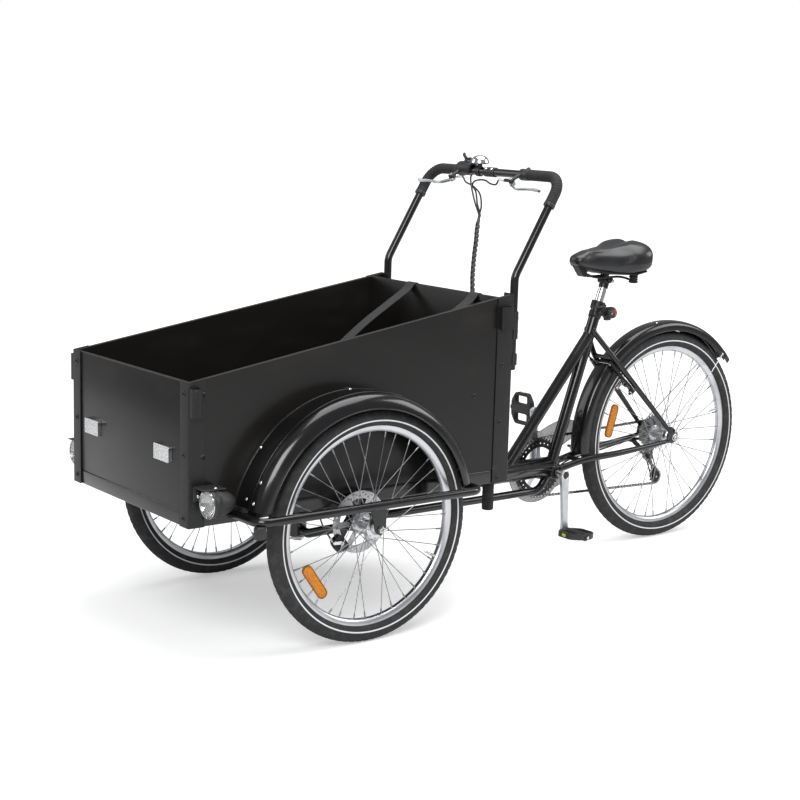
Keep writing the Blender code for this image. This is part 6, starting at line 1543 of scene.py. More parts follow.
def ring_bead(x, radius, centre, start, end, size, count=120):
    """A rolled edge: a thin bar on an arc round an axle."""
    line = on_axle(x, radius, np.radians(np.linspace(start, end, count)), centre)
    return tube(line, size, 10, reference=(1, 0, 0))


def around_axle(centre, x, radius, angle):
    """A place at an angle in degrees round an axle, and the direction out from it."""
    way = np.array([0.0, math.cos(math.radians(angle)), math.sin(math.radians(angle))])
    return np.asarray(centre) + (x, 0, 0) + way * radius, way


def front_fender_shapes():
    """Left mudguard, flat inside and round outside with rolled rims, then its feet and its bolts."""
    centre = spot(0.360, -0.0255, FRONT_AXLE[2])
    line = spline(
        [
            (-0.0623, 0.3362), (-0.030, 0.3385), (0.004, 0.3388), (0.020, 0.3375), (0.0315, 0.3325),
            (0.0400, 0.3225), (0.0440, 0.3110), (0.0448, 0.3030)
        ], 34
    )
    low, high = 14.3, 165.7
    sheet = guard_sheet(line, FENDER_SHEET, centre, low, high)
    for x, radius, size in (
        (0.0448, 0.3028, 0.0016), (-0.0612, 0.3366, 0.0014), (0.0050, 0.3388, 0.0013)
    ):
        sheet = sheet + ring_bead(x, radius, centre, low, high, size)
    feet, bolts = [], []
    for angle, rail_y in ((low, RAIL_REAR), (180 - low, RAIL_FRONT)):
        tip, _ = around_axle(centre, -0.0175, 0.338, angle)
        y0, y1 = sorted((tip[1], FRONT_Y + rail_y))
        feet.append(
            block((0.330, y0 - 0.003, RAIL_Z + RAIL_R), (0.355, y1 + 0.003, tip[2] + 0.003), 0.002)
        )
        inner = 4.0 if angle < 90 else -4.0
        for x, step in ((-0.0175, inner), (0.0150, inner * 0.8), (0.0150, inner * 3.0)):
            bolts.append(facing(*around_axle(centre, x, 0.3385, angle + step), (1, 0, 0)))
    for angle in (40, 90, 140):
        place, way = around_axle(centre, -0.0580, 0.3372, angle)
        bolts.append(facing(place, way, (1, 0, 0)))
    return sheet, together(feet), copies(dome_bolt(0.0046, 0.0024), bolts)


def headlight_shapes():
    """Left lamp: dark housing with a shelf bracket, chrome bowl with its bulb, and the ribbed lens."""
    centre = spot(0.338, -0.453, 0.402)
    outer = [
        (0.0338, 0.0035), (0.0350, 0.0055), (0.0350, 0.0115), (0.0341, 0.0130), (0.0338, 0.0200),
        (0.0330, 0.0290), (0.0305, 0.0400), (0.0270, 0.0510), (0.0225, 0.0610), (0.0165, 0.0690),
        (0.0090, 0.0732), (0.0030, 0.0740)
    ]
    inner = [(0.0030, 0.0280), (0.0160, 0.0240), (0.0268, 0.0150), (0.0322, 0.0050)]
    housing_shell = turned(outer + inner, centre, "Y", 56)
    for y in (0.0180, 0.0225):
        rib = [(0.0335, y), (0.0347, y + 0.0007), (0.0347, y + 0.0017), (0.0335, y + 0.0024)]
        housing_shell = housing_shell + turned(rib, centre, "Y", 56)
    top = 0.437
    shelf = block(
        spot(BOX_SIDE + 0.0003, -0.467, top - 0.001), spot(0.350, -0.407, top + 0.0018), 0.0014
    )
    flange = block(
        spot(BOX_SIDE + 0.0003, -0.467, 0.402), spot(BOX_SIDE + 0.0030, -0.437, top + 0.0015), 0.0012
    )
    neck = rod(spot(0.338, -0.430, top - 0.006), spot(0.338, -0.430, top), 0.0075, 20)
    bowl = turned(
        [
            (0.0322, 0.0040), (0.0262, 0.0130), (0.0155, 0.0215), (0.0040, 0.0260), (0.0040, 0.0250),
            (0.0150, 0.0203), (0.0252, 0.0120), (0.0310, 0.0040)
        ], centre, "Y", 56
    )
    t = np.linspace(0.05, np.pi / 2, 8)
    globe = np.stack([0.0046 * np.sin(t), 0.0130 - 0.0046 * np.cos(t)], 1)
    bulb = turned(np.vstack([globe, [(0.0040, 0.0260)]]), centre, "Y", 20, closed=False)
    bead = [(0.0338, 0.0030), (0.0346, 0.0012), (0.0340, -0.0002), (0.0322, 0.0004), (0.0318, 0.0030)]
    trim = turned(bead, centre, "Y", 56)
    face = [
        (0.0002, -0.0002), (0.010, 0.0000), (0.020, 0.0006), (0.028, 0.0016), (0.0325, 0.0028),
        (0.0325, 0.0042), (0.0280, 0.0032), (0.0200, 0.0022), (0.0002, 0.0014)
    ]
    glass = turned(face, centre, "Y", 56, closed=False)
    return housing_shell + shelf + flange + neck, bowl + bulb + trim, glass


def caliper_shapes():
    """Left disc caliper: two halves astride the rotor with a bridge, a cable arm and bolts."""
    way = np.array([0.0, -0.787, -0.617])
    along = np.cross(way, (1.0, 0.0, 0.0))
    place = np.eye(4)
    place[:3, 1], place[:3, 2] = along, way
    place[:3, 3] = spot(0, 0, FRONT_AXLE[2])
    half = softened(
        [
            (-0.022, 0.062), (-0.012, 0.060), (0.012, 0.060), (0.022, 0.064), (0.021, 0.090),
            (0.010, 0.094), (-0.010, 0.094), (-0.021, 0.090)
        ], 0.005
    )
    bridge = softened([(-0.019, 0.0832), (0.019, 0.0832), (0.016, 0.0935), (-0.016, 0.0935)], 0.003)
    body = cut_plate([half], 0.0050, "X", 0.3145) + cut_plate([half], 0.0070, "X", 0.3256)
    body = body + cut_plate([bridge], 0.0120, "X", 0.3200)
    face = [(0.0002, 0.3318), (0.0105, 0.3312), (0.0125, 0.3290), (0.0125, 0.3270), (0.0002, 0.3270)]
    cap = turned(face, (0, 0, 0), "X", 28, closed=False).at(0, 0, 0.0765)
    outline = softened([(-0.006, 0.070), (0.008, 0.072), (0.024, 0.092), (0.018, 0.096)], 0.004)
    arm = cut_plate([outline], 0.0022, "X", 0.3327)
    places = [facing((0.3290, y, z), (1, 0, 0)) for y, z in ((-0.016, 0.088), (0.0165, 0.0865))]
    bolts = copies(hex_bolt(0.0042, 0.0026), places)
    hub_bolt = hex_bolt(0.0046, 0.0020).by(facing((0.3336, 0.0, 0.0765), (1, 0, 0)))
    ferrule = rod((0.3207, 0.018, 0.088), (0.3207, 0.026, 0.088), 0.0032, 12)
    return (body + cap).by(place), (arm + bolts + hub_bolt + ferrule).by(place)


def make_front_fittings():
    """Front mudguards, headlights and disc calipers."""
    sheet, feet, bolts = front_fender_shapes()
    housing_shell, bowl, glass = headlight_shapes()
    caliper, hardware = caliper_shapes()
    places = [
        facing(spot(0.338, -0.430, 0.4388), (0, 0, 1), (1, 0, 0)),
        facing(spot(BOX_SIDE + 0.0030, -0.452, 0.414), (1, 0, 0))
    ]
    lamp_bolts = copies(dome_bolt(0.0052, 0.0026), places)
    bright = bright_steel()
    for side in ("left", "right"):
        fender, lamp, brake = "front_" + side + "_fender", side + "_headlight", side + "_caliper"
        for name, shape, finish, node, slot, angle, bevel in (
            (fender + "_sheet", sheet, gloss_paint(), fender, "gloss_black_paint", 50, 0),
            (fender + "_feet", feet, satin_steel(), fender, None, 40, 0),
            (fender + "_bolts", bolts, bright, fender, None, 50, 0),
            (lamp + "_housing", housing_shell, moulded_plastic(), lamp, "lamp_housing", 40, 0),
            (lamp + "_bowl", bowl, chrome(), lamp, None, 40, 0),
            (lamp + "_lens", glass, lens(0.50, 0.51, 0.50, 0.30), lamp, None, 40, 0),
            (lamp + "_bolts", lamp_bolts, bright, lamp, None, 50, 0),
            (brake + "_body", caliper, satin_steel(), brake, "satin_black_steel", 40, 0.0006),
            (brake + "_hardware", hardware, bright, brake, None, 30, 0),
        ):
            shape = shape if side == "left" else shape.mirror()
            piece(name, shape, finish, "carrier", node, slot, angle, bevel)


# Push bar and controls

BAR_X, BAR_Y, BAR_R = 0.280, 0.5198, 0.011
BAR_KNEE_Z, BAR_TOP_Z = 0.887, 1.147
BAR_TOP_Y = BAR_Y + (BAR_TOP_Z - BAR_KNEE_Z) * 0.599
LEVER_WAY = np.array([0.0, -0.880, -0.475])
LEVER_AXIS = np.array([0.0, 0.475, -0.880])
LEVER_X = 0.122
RIGHT_OUTSET = 0.017
GRIP_START = 0.140


def bar_ring(low, high, radius, inner=BAR_R + 0.0002, soft=0.0015, count=40):
    """A round collar on the crossbar, between two distances to the left."""
    profile = [
        (inner, low), (radius - soft, low), (radius, low + soft), (radius, high - soft),
        (radius - soft, high), (inner, high)
    ]
    return turned(profile, spot(0, BAR_TOP_Y, BAR_TOP_Z), "X", count)


def grip_shapes(start):
    """Left grip round the bar's corner: its radius ripples along it; then its two end collars."""
    corner = spot(BAR_X, BAR_TOP_Y, BAR_TOP_Z)
    down = unit(spot(BAR_X, BAR_Y, BAR_KNEE_Z) - corner)
    path = evenly(
        bent([corner + down * 0.090, corner, spot(start, BAR_TOP_Y, BAR_TOP_Z)], 0.050, 24), 190
    )
    along = distances(path)
    radius = 0.0149 + 0.00045 * np.sin(along * 2 * np.pi / 0.0064)
    radius[[0, -1]] = 0.0138
    cover = tube(path, radius, 32, reference=np.cross(down, (1, 0, 0)))
    foot, head = path[0], path[-1]
    ring = [
        (0.0112, 0.0), (0.0148, 0.0), (0.0158, 0.0012), (0.0158, 0.0095), (0.0150, 0.0108),
        (0.0112, 0.0108)
    ]
    ends = [facing(foot + down * 0.0005, -down), facing(head - (0.0003, 0, 0), (1, 0, 0))]
    collar = turned(ring, (0, 0, 0), "Z", 40)
    return cover, together([collar.by(end) for end in ends])


def lever_shapes():
    """Left brake lever: its clamp and body, its bright fittings, and the flat curved blade."""
    pivot = spot(LEVER_X, BAR_TOP_Y, BAR_TOP_Z) + LEVER_WAY * 0.046
    clamp = bar_ring(0.1157, 0.1397, 0.0163)
    lugs = block((-0.0115, -0.0045, -0.004), (0.0115, 0.0045, 0.0085), 0.002).by(
        facing(spot(0.1277, BAR_TOP_Y, BAR_TOP_Z) - LEVER_WAY * 0.0145, -LEVER_WAY, (1, 0, 0)))
    start = spot(0.1237, BAR_TOP_Y, BAR_TOP_Z) - LEVER_AXIS * 0.0064 + LEVER_WAY * 0.0125
    route = spline(
        [
            start, (start + pivot) / 2 - (0.002, 0, 0) - LEVER_AXIS * 0.003,
            pivot - LEVER_AXIS * 0.0068 + LEVER_WAY * 0.002
        ], 14
    )
    body = swept(
        route, circle(1.0, 20) * (0.0062, 0.0048), np.linspace(1.15, 0.95, 14), reference=LEVER_AXIS
    )
    disc = rod(pivot - LEVER_AXIS * 0.0112, pivot - LEVER_AXIS * 0.0014, 0.0085, 28, 0.0012)
    inner = pivot - LEVER_AXIS * 0.0064
    holder = rod(inner - (0.001, 0, 0), inner - (0.026, 0, 0), 0.0050, 20, 0.0008)
    along = np.linspace(0, 1, 40)
    screw = tube(
        inner - np.array([[0.026, 0, 0]]) - along[:, None] * [[0.014, 0, 0]],
        np.where(along < 0.55, 0.0050 + 0.0003 * np.sin(along * 90), 0.0036), 24, reference=(0, 0, 1)
    )
    bolt = hex_bolt(0.0050, 0.0024).by(facing(pivot - LEVER_AXIS * 0.0112, -LEVER_AXIS, (1, 0, 0)))
    pin = rod(pivot - LEVER_AXIS * 0.006, pivot + LEVER_AXIS * 0.0100, 0.0032, 16, 0.0004)
    place = spot(0.1300, BAR_TOP_Y, BAR_TOP_Z) - LEVER_WAY * 0.0190 + LEVER_AXIS * 0.0045
    clamp_bolt = hex_bolt(0.0040, 0.0030).by(facing(place, LEVER_AXIS, (1, 0, 0)))
    middle = pivot + LEVER_AXIS * 0.0042
    gap = 0.022
    points = [
        middle, middle + (0.018, 0, 0) + LEVER_WAY * 0.014,
        middle + (0.040, 0, 0) + LEVER_WAY * (gap + 0.001),
        middle + (0.085, 0, 0) + LEVER_WAY * (gap - 0.003), middle + (0.134, 0, 0) + LEVER_WAY * gap
    ]
    line = spline(points, 48)
    width = np.interp(
        np.linspace(0, 1, 48), [0, 0.15, 0.35, 0.7, 0.93, 0.975, 1.0],
        [1.15, 1.0, 0.85, 0.95, 1.1, 1.25, 0.75]
    )
    blade = swept(line, circle(1.0, 20) * (0.0034, 0.0050), width, reference=LEVER_AXIS)
    eye = rod(pivot - LEVER_AXIS * 0.0009, pivot + LEVER_AXIS * 0.0085, 0.0084, 28, 0.0008)
    return clamp + lugs + body + disc + holder, screw + bolt + pin + clamp_bolt, blade + eye


def shifter_shapes():
    """Gear shifter: barrel-like housing, small window, and the thumb lever with its cap."""
    x = -0.119
    half = np.array(
        [
            (0.0135, -0.0590), (0.0178, -0.0586), (0.0192, -0.0560), (0.0199, -0.0480),
            (0.0200, -0.0300), (0.0199, -0.0120), (0.0190, -0.0030), (0.0174, -0.0004), (0.0135, 0.0)
        ]
    )
    profile = half + (0, x + 0.025)
    shell = turned(
        np.vstack([profile, [(0.0114, x + 0.0248), (0.0114, x - 0.0338)]]),
        spot(0, BAR_TOP_Y, BAR_TOP_Z + 0.006), "X", 48
    )
    shell = shell + rod(
        spot(x, BAR_TOP_Y, BAR_TOP_Z + 0.015), spot(x, BAR_TOP_Y, BAR_TOP_Z + 0.0294), 0.0110, 28,
        0.0008
    )
    bar = spot(0, BAR_TOP_Y, BAR_TOP_Z)
    hood = block(bar + (-0.112, -0.012, 0.018), bar + (-0.097, 0.006, 0.0275), 0.003, 4)
    window = block(bar + (-0.1105, -0.0108, 0.0262), bar + (-0.0985, 0.0050, 0.0285), 0.001)
    hub = turned(
        [
            (0.0040, 0.0), (0.0100, 0.0), (0.0105, 0.0006), (0.0105, 0.0060), (0.0092, 0.0070),
            (0.0040, 0.0070)
        ], spot(x, BAR_TOP_Y, BAR_TOP_Z + 0.0300), "Z", 32
    )
    start = spot(x - 0.0055, BAR_TOP_Y, BAR_TOP_Z + 0.0340)
    line = spline([start, start + (-0.013, 0.005, 0.003), start + (-0.026, 0.0095, 0.0125)], 16)
    paddle = swept(
        line, circle(1.0, 18) * (0.0040, 0.0060),
        np.interp(np.linspace(0, 1, 16), [0, 0.5, 0.9, 1], [0.75, 0.85, 1.05, 0.6]),
        reference=(0.3, 0, 1)
    )
    cap = dome_bolt(0.0052, 0.0018).by(
        facing(spot(x, BAR_TOP_Y, BAR_TOP_Z + 0.0368), (0, 0, 1), (1, 0, 0))
    )
    return shell + hood, window, hub + paddle, cap


def bell_shapes():
    """Bell: clamp and stem, polished dome with a rolled rim, and its thumb striker."""
    x = -0.066
    place = spot(x, BAR_TOP_Y, BAR_TOP_Z)
    clamp = bar_ring(x - 0.008, x + 0.008, 0.0148)
    clamp = clamp + rod(place + (0, 0, 0.012), place + (0, 0, 0.0235), 0.0072, 24, 0.0006)
    base = turned(
        [(0.004, 0.0205), (0.0225, 0.0207), (0.0240, 0.0222), (0.0225, 0.0236), (0.004, 0.0236)], place,
        "Z", 40
    )
    dome = turned(
        [
            (0.0250, 0.0235), (0.0263, 0.0230), (0.0266, 0.0243), (0.0258, 0.0262), (0.0250, 0.0305),
            (0.0228, 0.0355), (0.0190, 0.0397), (0.0135, 0.0428), (0.0070, 0.0445), (0.0015, 0.0449),
            (0.0015, 0.0440), (0.0065, 0.0436), (0.0130, 0.0419), (0.0182, 0.0389), (0.0218, 0.0350),
            (0.0240, 0.0302)
        ], place, "Z", 56
    )
    screw = dome_bolt(0.0036, 0.0014).by(facing(place + (0, 0, 0.0446), (0, 0, 1), (1, 0, 0)))
    reach = [(0.012, -0.006, 0.022), (0.0255, -0.009, 0.0222), (0.034, -0.010, 0.0245)]
    striker = swept(
        spline(place + np.array(reach), 14), circle(1.0, 14) * (0.0035, 0.0014),
        np.linspace(0.8, 1.1, 14), reference=(0, 0, 1)
    )
    return clamp + base + striker, dome, screw


def centre_clamp():
    """Small two-bolt clamp at the middle of the crossbar, and its bolts."""
    ring = bar_ring(-0.038, 0.0065, 0.0138)
    bolts = [
        facing(spot(x, BAR_TOP_Y - 0.0098, BAR_TOP_Z + 0.0088), (0, -0.74, 0.67))
        for x in (-0.028, -0.003)
    ]
    return ring, copies(dome_bolt(0.0046, 0.0030), bolts)


def make_handle():
    """Push bar, grips, brake levers, gear shifter, bell and the centre clamp."""
    route = [
        spot(BAR_X, BAR_Y, 0.640), spot(BAR_X, BAR_Y, BAR_KNEE_Z), spot(BAR_X, BAR_TOP_Y, BAR_TOP_Z)
    ]
    route += [point * (-1, 1, 1) for point in route[::-1]]
    piece(
        "bar_tube", tube(bent(route, 0.050, 14), BAR_R, 32, reference=(0, 0.83, 0.55)), gloss_paint(),
        "carrier", "push_bar", "gloss_black_paint"
    )
    plug = dome_bolt(0.0104, 0.0030).by(facing(spot(BAR_X, BAR_Y, 0.6402), (0, 0, -1), (1, 0, 0)))
    piece("bar_plugs", both(plug), moulded_plastic(), "carrier", "push_bar")
    mount, bright, blade = lever_shapes()
    for side, shift in (("left", 0.0), ("right", RIGHT_OUTSET)):
        made = [*grip_shapes(GRIP_START + shift)]
        made += [shape.at(shift, 0, 0) for shape in (mount, bright, blade)]
        if shift:
            made = [shape.mirror() for shape in made]
        cover, collars, holder, fittings, lever = made
        piece(
            side + "_grip_rubber", cover, grip_rubber(), "carrier", side + "_grip", "black_rubber", 60
        )
        piece(side + "_grip_collars", collars, moulded_plastic(), "carrier", side + "_grip")
        piece(
            side + "_lever_body", holder, moulded_plastic(), "carrier", side + "_lever_mount",
            "black_plastic"
        )
        piece(
            side + "_lever_fittings", fittings, bright_steel(), "carrier", side + "_lever_mount",
            angle=30
        )
        piece(
            side + "_lever_blade", lever, cast_alloy(), side + "_lever", side + "_brake_lever",
            "crank_alloy", 50
        )
    shell, window, paddle, cap = shifter_shapes()
    piece("shifter_housing", shell, moulded_plastic(), "carrier", "right_lever_mount")
    piece("shifter_window", window, lens(0.10, 0.22, 0.34, 0.85), "carrier", "right_lever_mount")
    piece("shifter_paddle", paddle, moulded_plastic(), "shift_lever", "gear_lever", "black_plastic", 50)
    piece("shifter_cap", cap, bright_steel(), "shift_lever", "gear_lever")
    base, dome, screw = bell_shapes()
    piece("bell_base", base, moulded_plastic(), "carrier", "bell")
    piece("bell_dome", dome, chrome(), "carrier", "bell", "chrome", 60)
    ring, bolts = centre_clamp()
    piece("centre_clamp", ring, moulded_plastic(), "carrier", "bell")
    piece("centre_clamp_bolts", bolts + screw, bright_steel(), "carrier", "bell", angle=50)


# Straps and cables

CABLE_R = 0.0025
BUNDLE_R = 0.0045
CALIPER_WAY = np.array([0.0, -0.787, -0.617])
MEET = spot(-0.040, 0.100, 0.318)
MEET_WAY = unit([0, -0.75, -0.66])
BUNDLE_ROUTE = [
    (0.0265, 0.601, 1.019), (0.042, 0.583, 0.990), (0.0587, 0.5677, 0.9652), (0.073, 0.5515, 0.9325),
    (0.0889, 0.5353, 0.9002), (0.1064, 0.5192, 0.8682), (0.125, 0.505, 0.8335), (0.1315, 0.4965, 0.795),
    (0.132, 0.4945, 0.72), (0.132, 0.4945, 0.63), (0.132, 0.4945, 0.54), (0.132, 0.503, 0.45),
    (0.132, 0.5125, 0.385), (0.1318, 0.5130, 0.348), (0.1312, 0.5110, 0.3330), (0.1300, 0.5030, 0.3270),
    (0.1280, 0.4900, 0.3262), (0.110, 0.400, 0.3290), (0.075, 0.300, 0.3295), (0.020, 0.215, 0.3295),
    (-0.022, 0.160, 0.3290), (-0.036, 0.128, 0.3265),
]


def cable(points, count, radius=CABLE_R, sides=12):
    """A housing on the smooth curve through points."""
    return tube(spline(points, count), radius, sides)


def strap_shape(x):
    """A 38 mm webbing strap over the rear board and down to the floor."""
    near = 0.0013
    edge = float(top_line(BOX_REAR - PLY)) + near
    points = [
        (BOX_REAR + near, 0.772), (BOX_REAR + near, 0.800), (BOX_REAR + near, edge - 0.003),
        (BOX_REAR + near - 0.003, edge), (BOX_REAR - PLY - near + 0.003, edge),
        (BOX_REAR - PLY - near, edge - 0.003), (0.440, 0.8150), (0.380, 0.7790), (0.300, 0.7300),
        (0.210, 0.6640), (0.120, 0.5900), (0.045, 0.5150), (-0.020, 0.4400), (-0.060, 0.3930),
        (-0.080, 0.3745)
    ]
    line = spline([spot(x, y, z) for y, z in points], 150)
    ring = [
        (-0.0008, -0.0185), (-0.0004, -0.0190), (0.0004, -0.0190), (0.0008, -0.0185), (0.0008, 0.0185),
        (0.0004, 0.0190), (-0.0004, 0.0190), (-0.0008, 0.0185)
    ]
    strip = swept(line, ring, reference=(1, 0, 0))
    width = np.array(ring)[:, 1] / 0.038 + 0.5
    strip.place[:, 1] = np.tile(width, len(line))
    return strip


def strap_ends(x):
    """Steel plate and bolt that hold a strap to the floor, and the plate on the rear board."""
    foot = block(spot(x - 0.016, -0.088, 0.3738), spot(x + 0.016, -0.058, 0.3765), 0.0012)
    back = block(
        spot(x - 0.017, BOX_REAR + 0.0022, 0.775), spot(x + 0.017, BOX_REAR + 0.0040, 0.793), 0.0008
    )
    bolts = [
        facing(spot(x, -0.072, 0.3765), (0, 0, 1), (1, 0, 0)),
        facing(spot(x - 0.008, BOX_REAR + 0.004, 0.784), (0, 1, 0)),
        facing(spot(x + 0.008, BOX_REAR + 0.004, 0.784), (0, 1, 0))
    ]
    return foot + back + copies(dome_bolt(0.0045, 0.0022), bolts)


def wrap_shape(line):
    """Spiral wrap: a flat band on a helix round the bundle.

    A point of the band's middle at turn t is line(s) + r (across cos t + other sin t), with s in step
    with t, and the band's two edges lie half its width before and after that along the bundle.
    """
    steps, turns, length, band = 26, 17, 0.265, 0.0118
    along = distances(line)
    count = turns * steps + 1
    t = 2 * np.pi * np.arange(count) / steps
    middle = 0.012 + np.arange(count) * length / turns / steps

    def edge(shift, radius):
        """The helix at a radius, moved along the bundle."""
        where = np.clip(middle + shift, 0.0, along[-1] - 0.003)
        point = np.stack([np.interp(where, along, line[:, k]) for k in range(3)], 1)
        ahead = np.stack([np.interp(where + 0.002, along, line[:, k]) for k in range(3)], 1)
        way = unit(ahead - point)
        across = unit(np.cross(way, (0.0, 1.0, 0.0)))
        other = np.cross(way, across)
        return point + radius * (across * np.cos(t)[:, None] + other * np.sin(t)[:, None])

    rings = [
        edge(-band / 2, 0.0054), edge(0.0, 0.0053), edge(band / 2, 0.0054),
        edge(band / 2 - 0.0004, 0.0064), edge(0.0, 0.0068), edge(-band / 2 + 0.0004, 0.0064)
    ]
    points = np.stack(rings, 1)
    ends = np.arange(6)
    faces = [quads(count, 6, False, True), ends[None, ::-1], (count - 1) * 6 + ends[None]]
    return Shape(points, faces).outward()


def control_routes():
    """Routes of the housings from the levers and the shifter, side by side into the bundle's top."""
    pivot = spot(LEVER_X, BAR_TOP_Y, BAR_TOP_Z) + LEVER_WAY * 0.046
    end = pivot - LEVER_AXIS * 0.0064 - (0.040, 0, 0)
    left_end = end - (0.0003, 0, 0)
    right_end = np.array([-end[0] - RIGHT_OUTSET + 0.0003, end[1], end[2]])
    gear_end = spot(-0.0932, 0.6640, 1.1385)
    left = [left_end, left_end - (0.012, 0, 0), spot(0.052, 0.637, 1.1165), spot(0.010, 0.652, 1.1165),
            spot(-0.030, 0.669, 1.1225), spot(-0.056, 0.672, 1.1235), spot(-0.068, 0.660, 1.119),
            spot(-0.054, 0.641, 1.108), spot(-0.0239, 0.629, 1.092), spot(0.0007, 0.6155, 1.060)]
    gear = [
        gear_end, gear_end + (0.010, -0.004, -0.003), spot(-0.062, 0.640, 1.127),
        spot(-0.035, 0.622, 1.105), spot(-0.004, 0.609, 1.068)
    ]
    right = [
        right_end, right_end + (0.012, 0, 0), spot(-0.070, 0.630, 1.1165), spot(-0.0357, 0.628, 1.1075),
        spot(0.002, 0.622, 1.088), spot(0.0200, 0.614, 1.055)
    ]
    top = spot(*BUNDLE_ROUTE[0])
    way = unit(spot(*BUNDLE_ROUTE[1]) - top)
    across = unit(np.cross(way, (0, 1, 0)))
    routes = []
    for route, beside in ((left, across), (gear, np.cross(way, across)), (right, -across)):
        routes.append(
            route + [
                top - way * back + beside * out
                for back, out in ((0.016, 0.0026), (0.003, 0.0017), (-0.004, 0.0012))
            ]
        )
    return routes


def ferrule(start, toward, radius=0.0033, length=0.011):
    """A metal end sleeve with a stepped mouth on a cable."""
    way = unit(np.asarray(toward) - start)
    profile = [
        (radius * 0.78, 0.0), (radius, 0.0006), (radius, length * 0.7), (radius * 0.86, length * 0.72),
        (radius * 0.86, length), (radius * 0.78, length)
    ]
    return turned(profile, (0, 0, 0), "Z", 20).by(facing(start, way, (0.2, 0.3, 0.9)))


def make_cables_and_straps():
    """Webbing straps, the control cables with their spiral wrap, and the hoses to the front brakes."""
    for name, x in (("right", -0.093), ("left", 0.184)):
        piece(name + "_strap_webbing", strap_shape(x), webbing(), "carrier", name + "_strap", "webbing")
        piece(name + "_strap_plates", strap_ends(x), satin_steel(), "carrier", name + "_strap")
    routes = control_routes()
    line = spline([spot(*point) for point in BUNDLE_ROUTE], 420)
    made = [cable(route, 90) for route in routes] + [tube(line, BUNDLE_R, 16)]
    lead = [spot(-0.034, 0.132, 0.3270), spot(-0.0385, 0.112, 0.3235), MEET - MEET_WAY * 0.006, MEET]
    made.append(cable(lead, 24, 0.0042, 16))
    up = np.array([0, CALIPER_WAY[2], -CALIPER_WAY[1]])
    end = spot(0.3207, 0, FRONT_AXLE[2]) + CALIPER_WAY * 0.088 + up * 0.0223
    tips = []
    for side, first in ((1, (0.052, 0.262, 0.3297)), (-1, (-0.012, 0.174, 0.3293))):
        here = end * (side, 1, 1)
        route = [
            spot(*first), spot(side * 0.090, 0.150, 0.3300), spot(side * 0.150, 0.075, 0.3300),
            spot(side * 0.210, 0.0, 0.3300), spot(side * 0.258, -0.060, 0.3295),
            spot(side * 0.292, -0.100, 0.3235), spot(side * 0.313, -0.106, 0.300), here + up * 0.010,
            here
        ]
        made.append(cable(route, 90, 0.0022))
        tips.append(ferrule(here, here + up))
    piece("control_housings", together(made), housing(), "carrier", "control_cables", "cable_black", 60)
    tips += [ferrule(np.asarray(route[0]), route[1]) for route in routes]
    piece("cable_sleeves", together(tips), bright_steel(), "carrier", "control_cables")
    piece(
        "spiral_wrap", wrap_shape(line), moulded_plastic(), "carrier", "cable_wrap", "black_plastic", 40
    )


# Rear frame

SEAT_WAY = np.array([0.0, 0.326, math.sqrt(1 - 0.326 ** 2)])
SEAT_TOP = CRANK + SEAT_WAY * 0.528
STAY_WAY = np.array([0.0, -0.697, 0.717])
BOSS_WAY = np.array([0.0, 0.717, 0.697])
BEAM_R, BEAM_Z = 0.030, 0.274
TRUSS_R, TRUSS_Z = 0.0115, 0.2045
TUBE_R = 0.017
SHELL_R, SHELL_HALF = 0.021, 0.034
DROPOUT_X = 0.0655
BRAKE_X, BRAKE_REACH, BRAKE_TOP = 0.0515, 0.243, 0.374
REAR_FENDER_R = 0.360
CRANK_Y = CRANK[1] - FRONT_Y
REAR_Y = REAR_AXLE[1] - FRONT_Y


def meeting_weld(start, end, radius, other, other_way, other_radius, size=0.0021, count=110):
    """A bead of weld where a round tube enters a thicker one.

    Each line of the tube's surface, p + s d, is followed until its distance from the other tube's
    axis is that tube's radius: the nearer root of a quadratic in s.
    """
    start, other = np.asarray(start, float), np.asarray(other, float)
    way, other_way = unit(np.asarray(end, float) - start), unit(other_way)
    ring = np.column_stack([circle(radius, count), np.zeros(count)])
    ring = ring @ facing(start, way, (0.31, 0.57, 0.76))[:3, :3].T + start
    a = way - (way @ other_way) * other_way
    b = ring - other
    b = b - (b @ other_way)[:, None] * other_way
    half = b @ a / (a @ a)
    rest = ((b * b).sum(1) - other_radius ** 2) / (a @ a)
    reach = -half - np.sqrt(np.maximum(half ** 2 - rest, 0))
    ripple = size * (1 + 0.15 * np.sin(np.arange(count) * 2.2))
    return tube(ring + reach[:, None] * way, ripple, 8, closed=True, reference=way)


def tube_between(points, radius, shares, count=90):
    """A round tube on the smooth curve through points, whose radius follows the given shares."""
    share = np.interp(np.linspace(0, 1, count), np.linspace(0, 1, len(shares)), shares)
    return tube(spline(points, count), radius * share, 24)


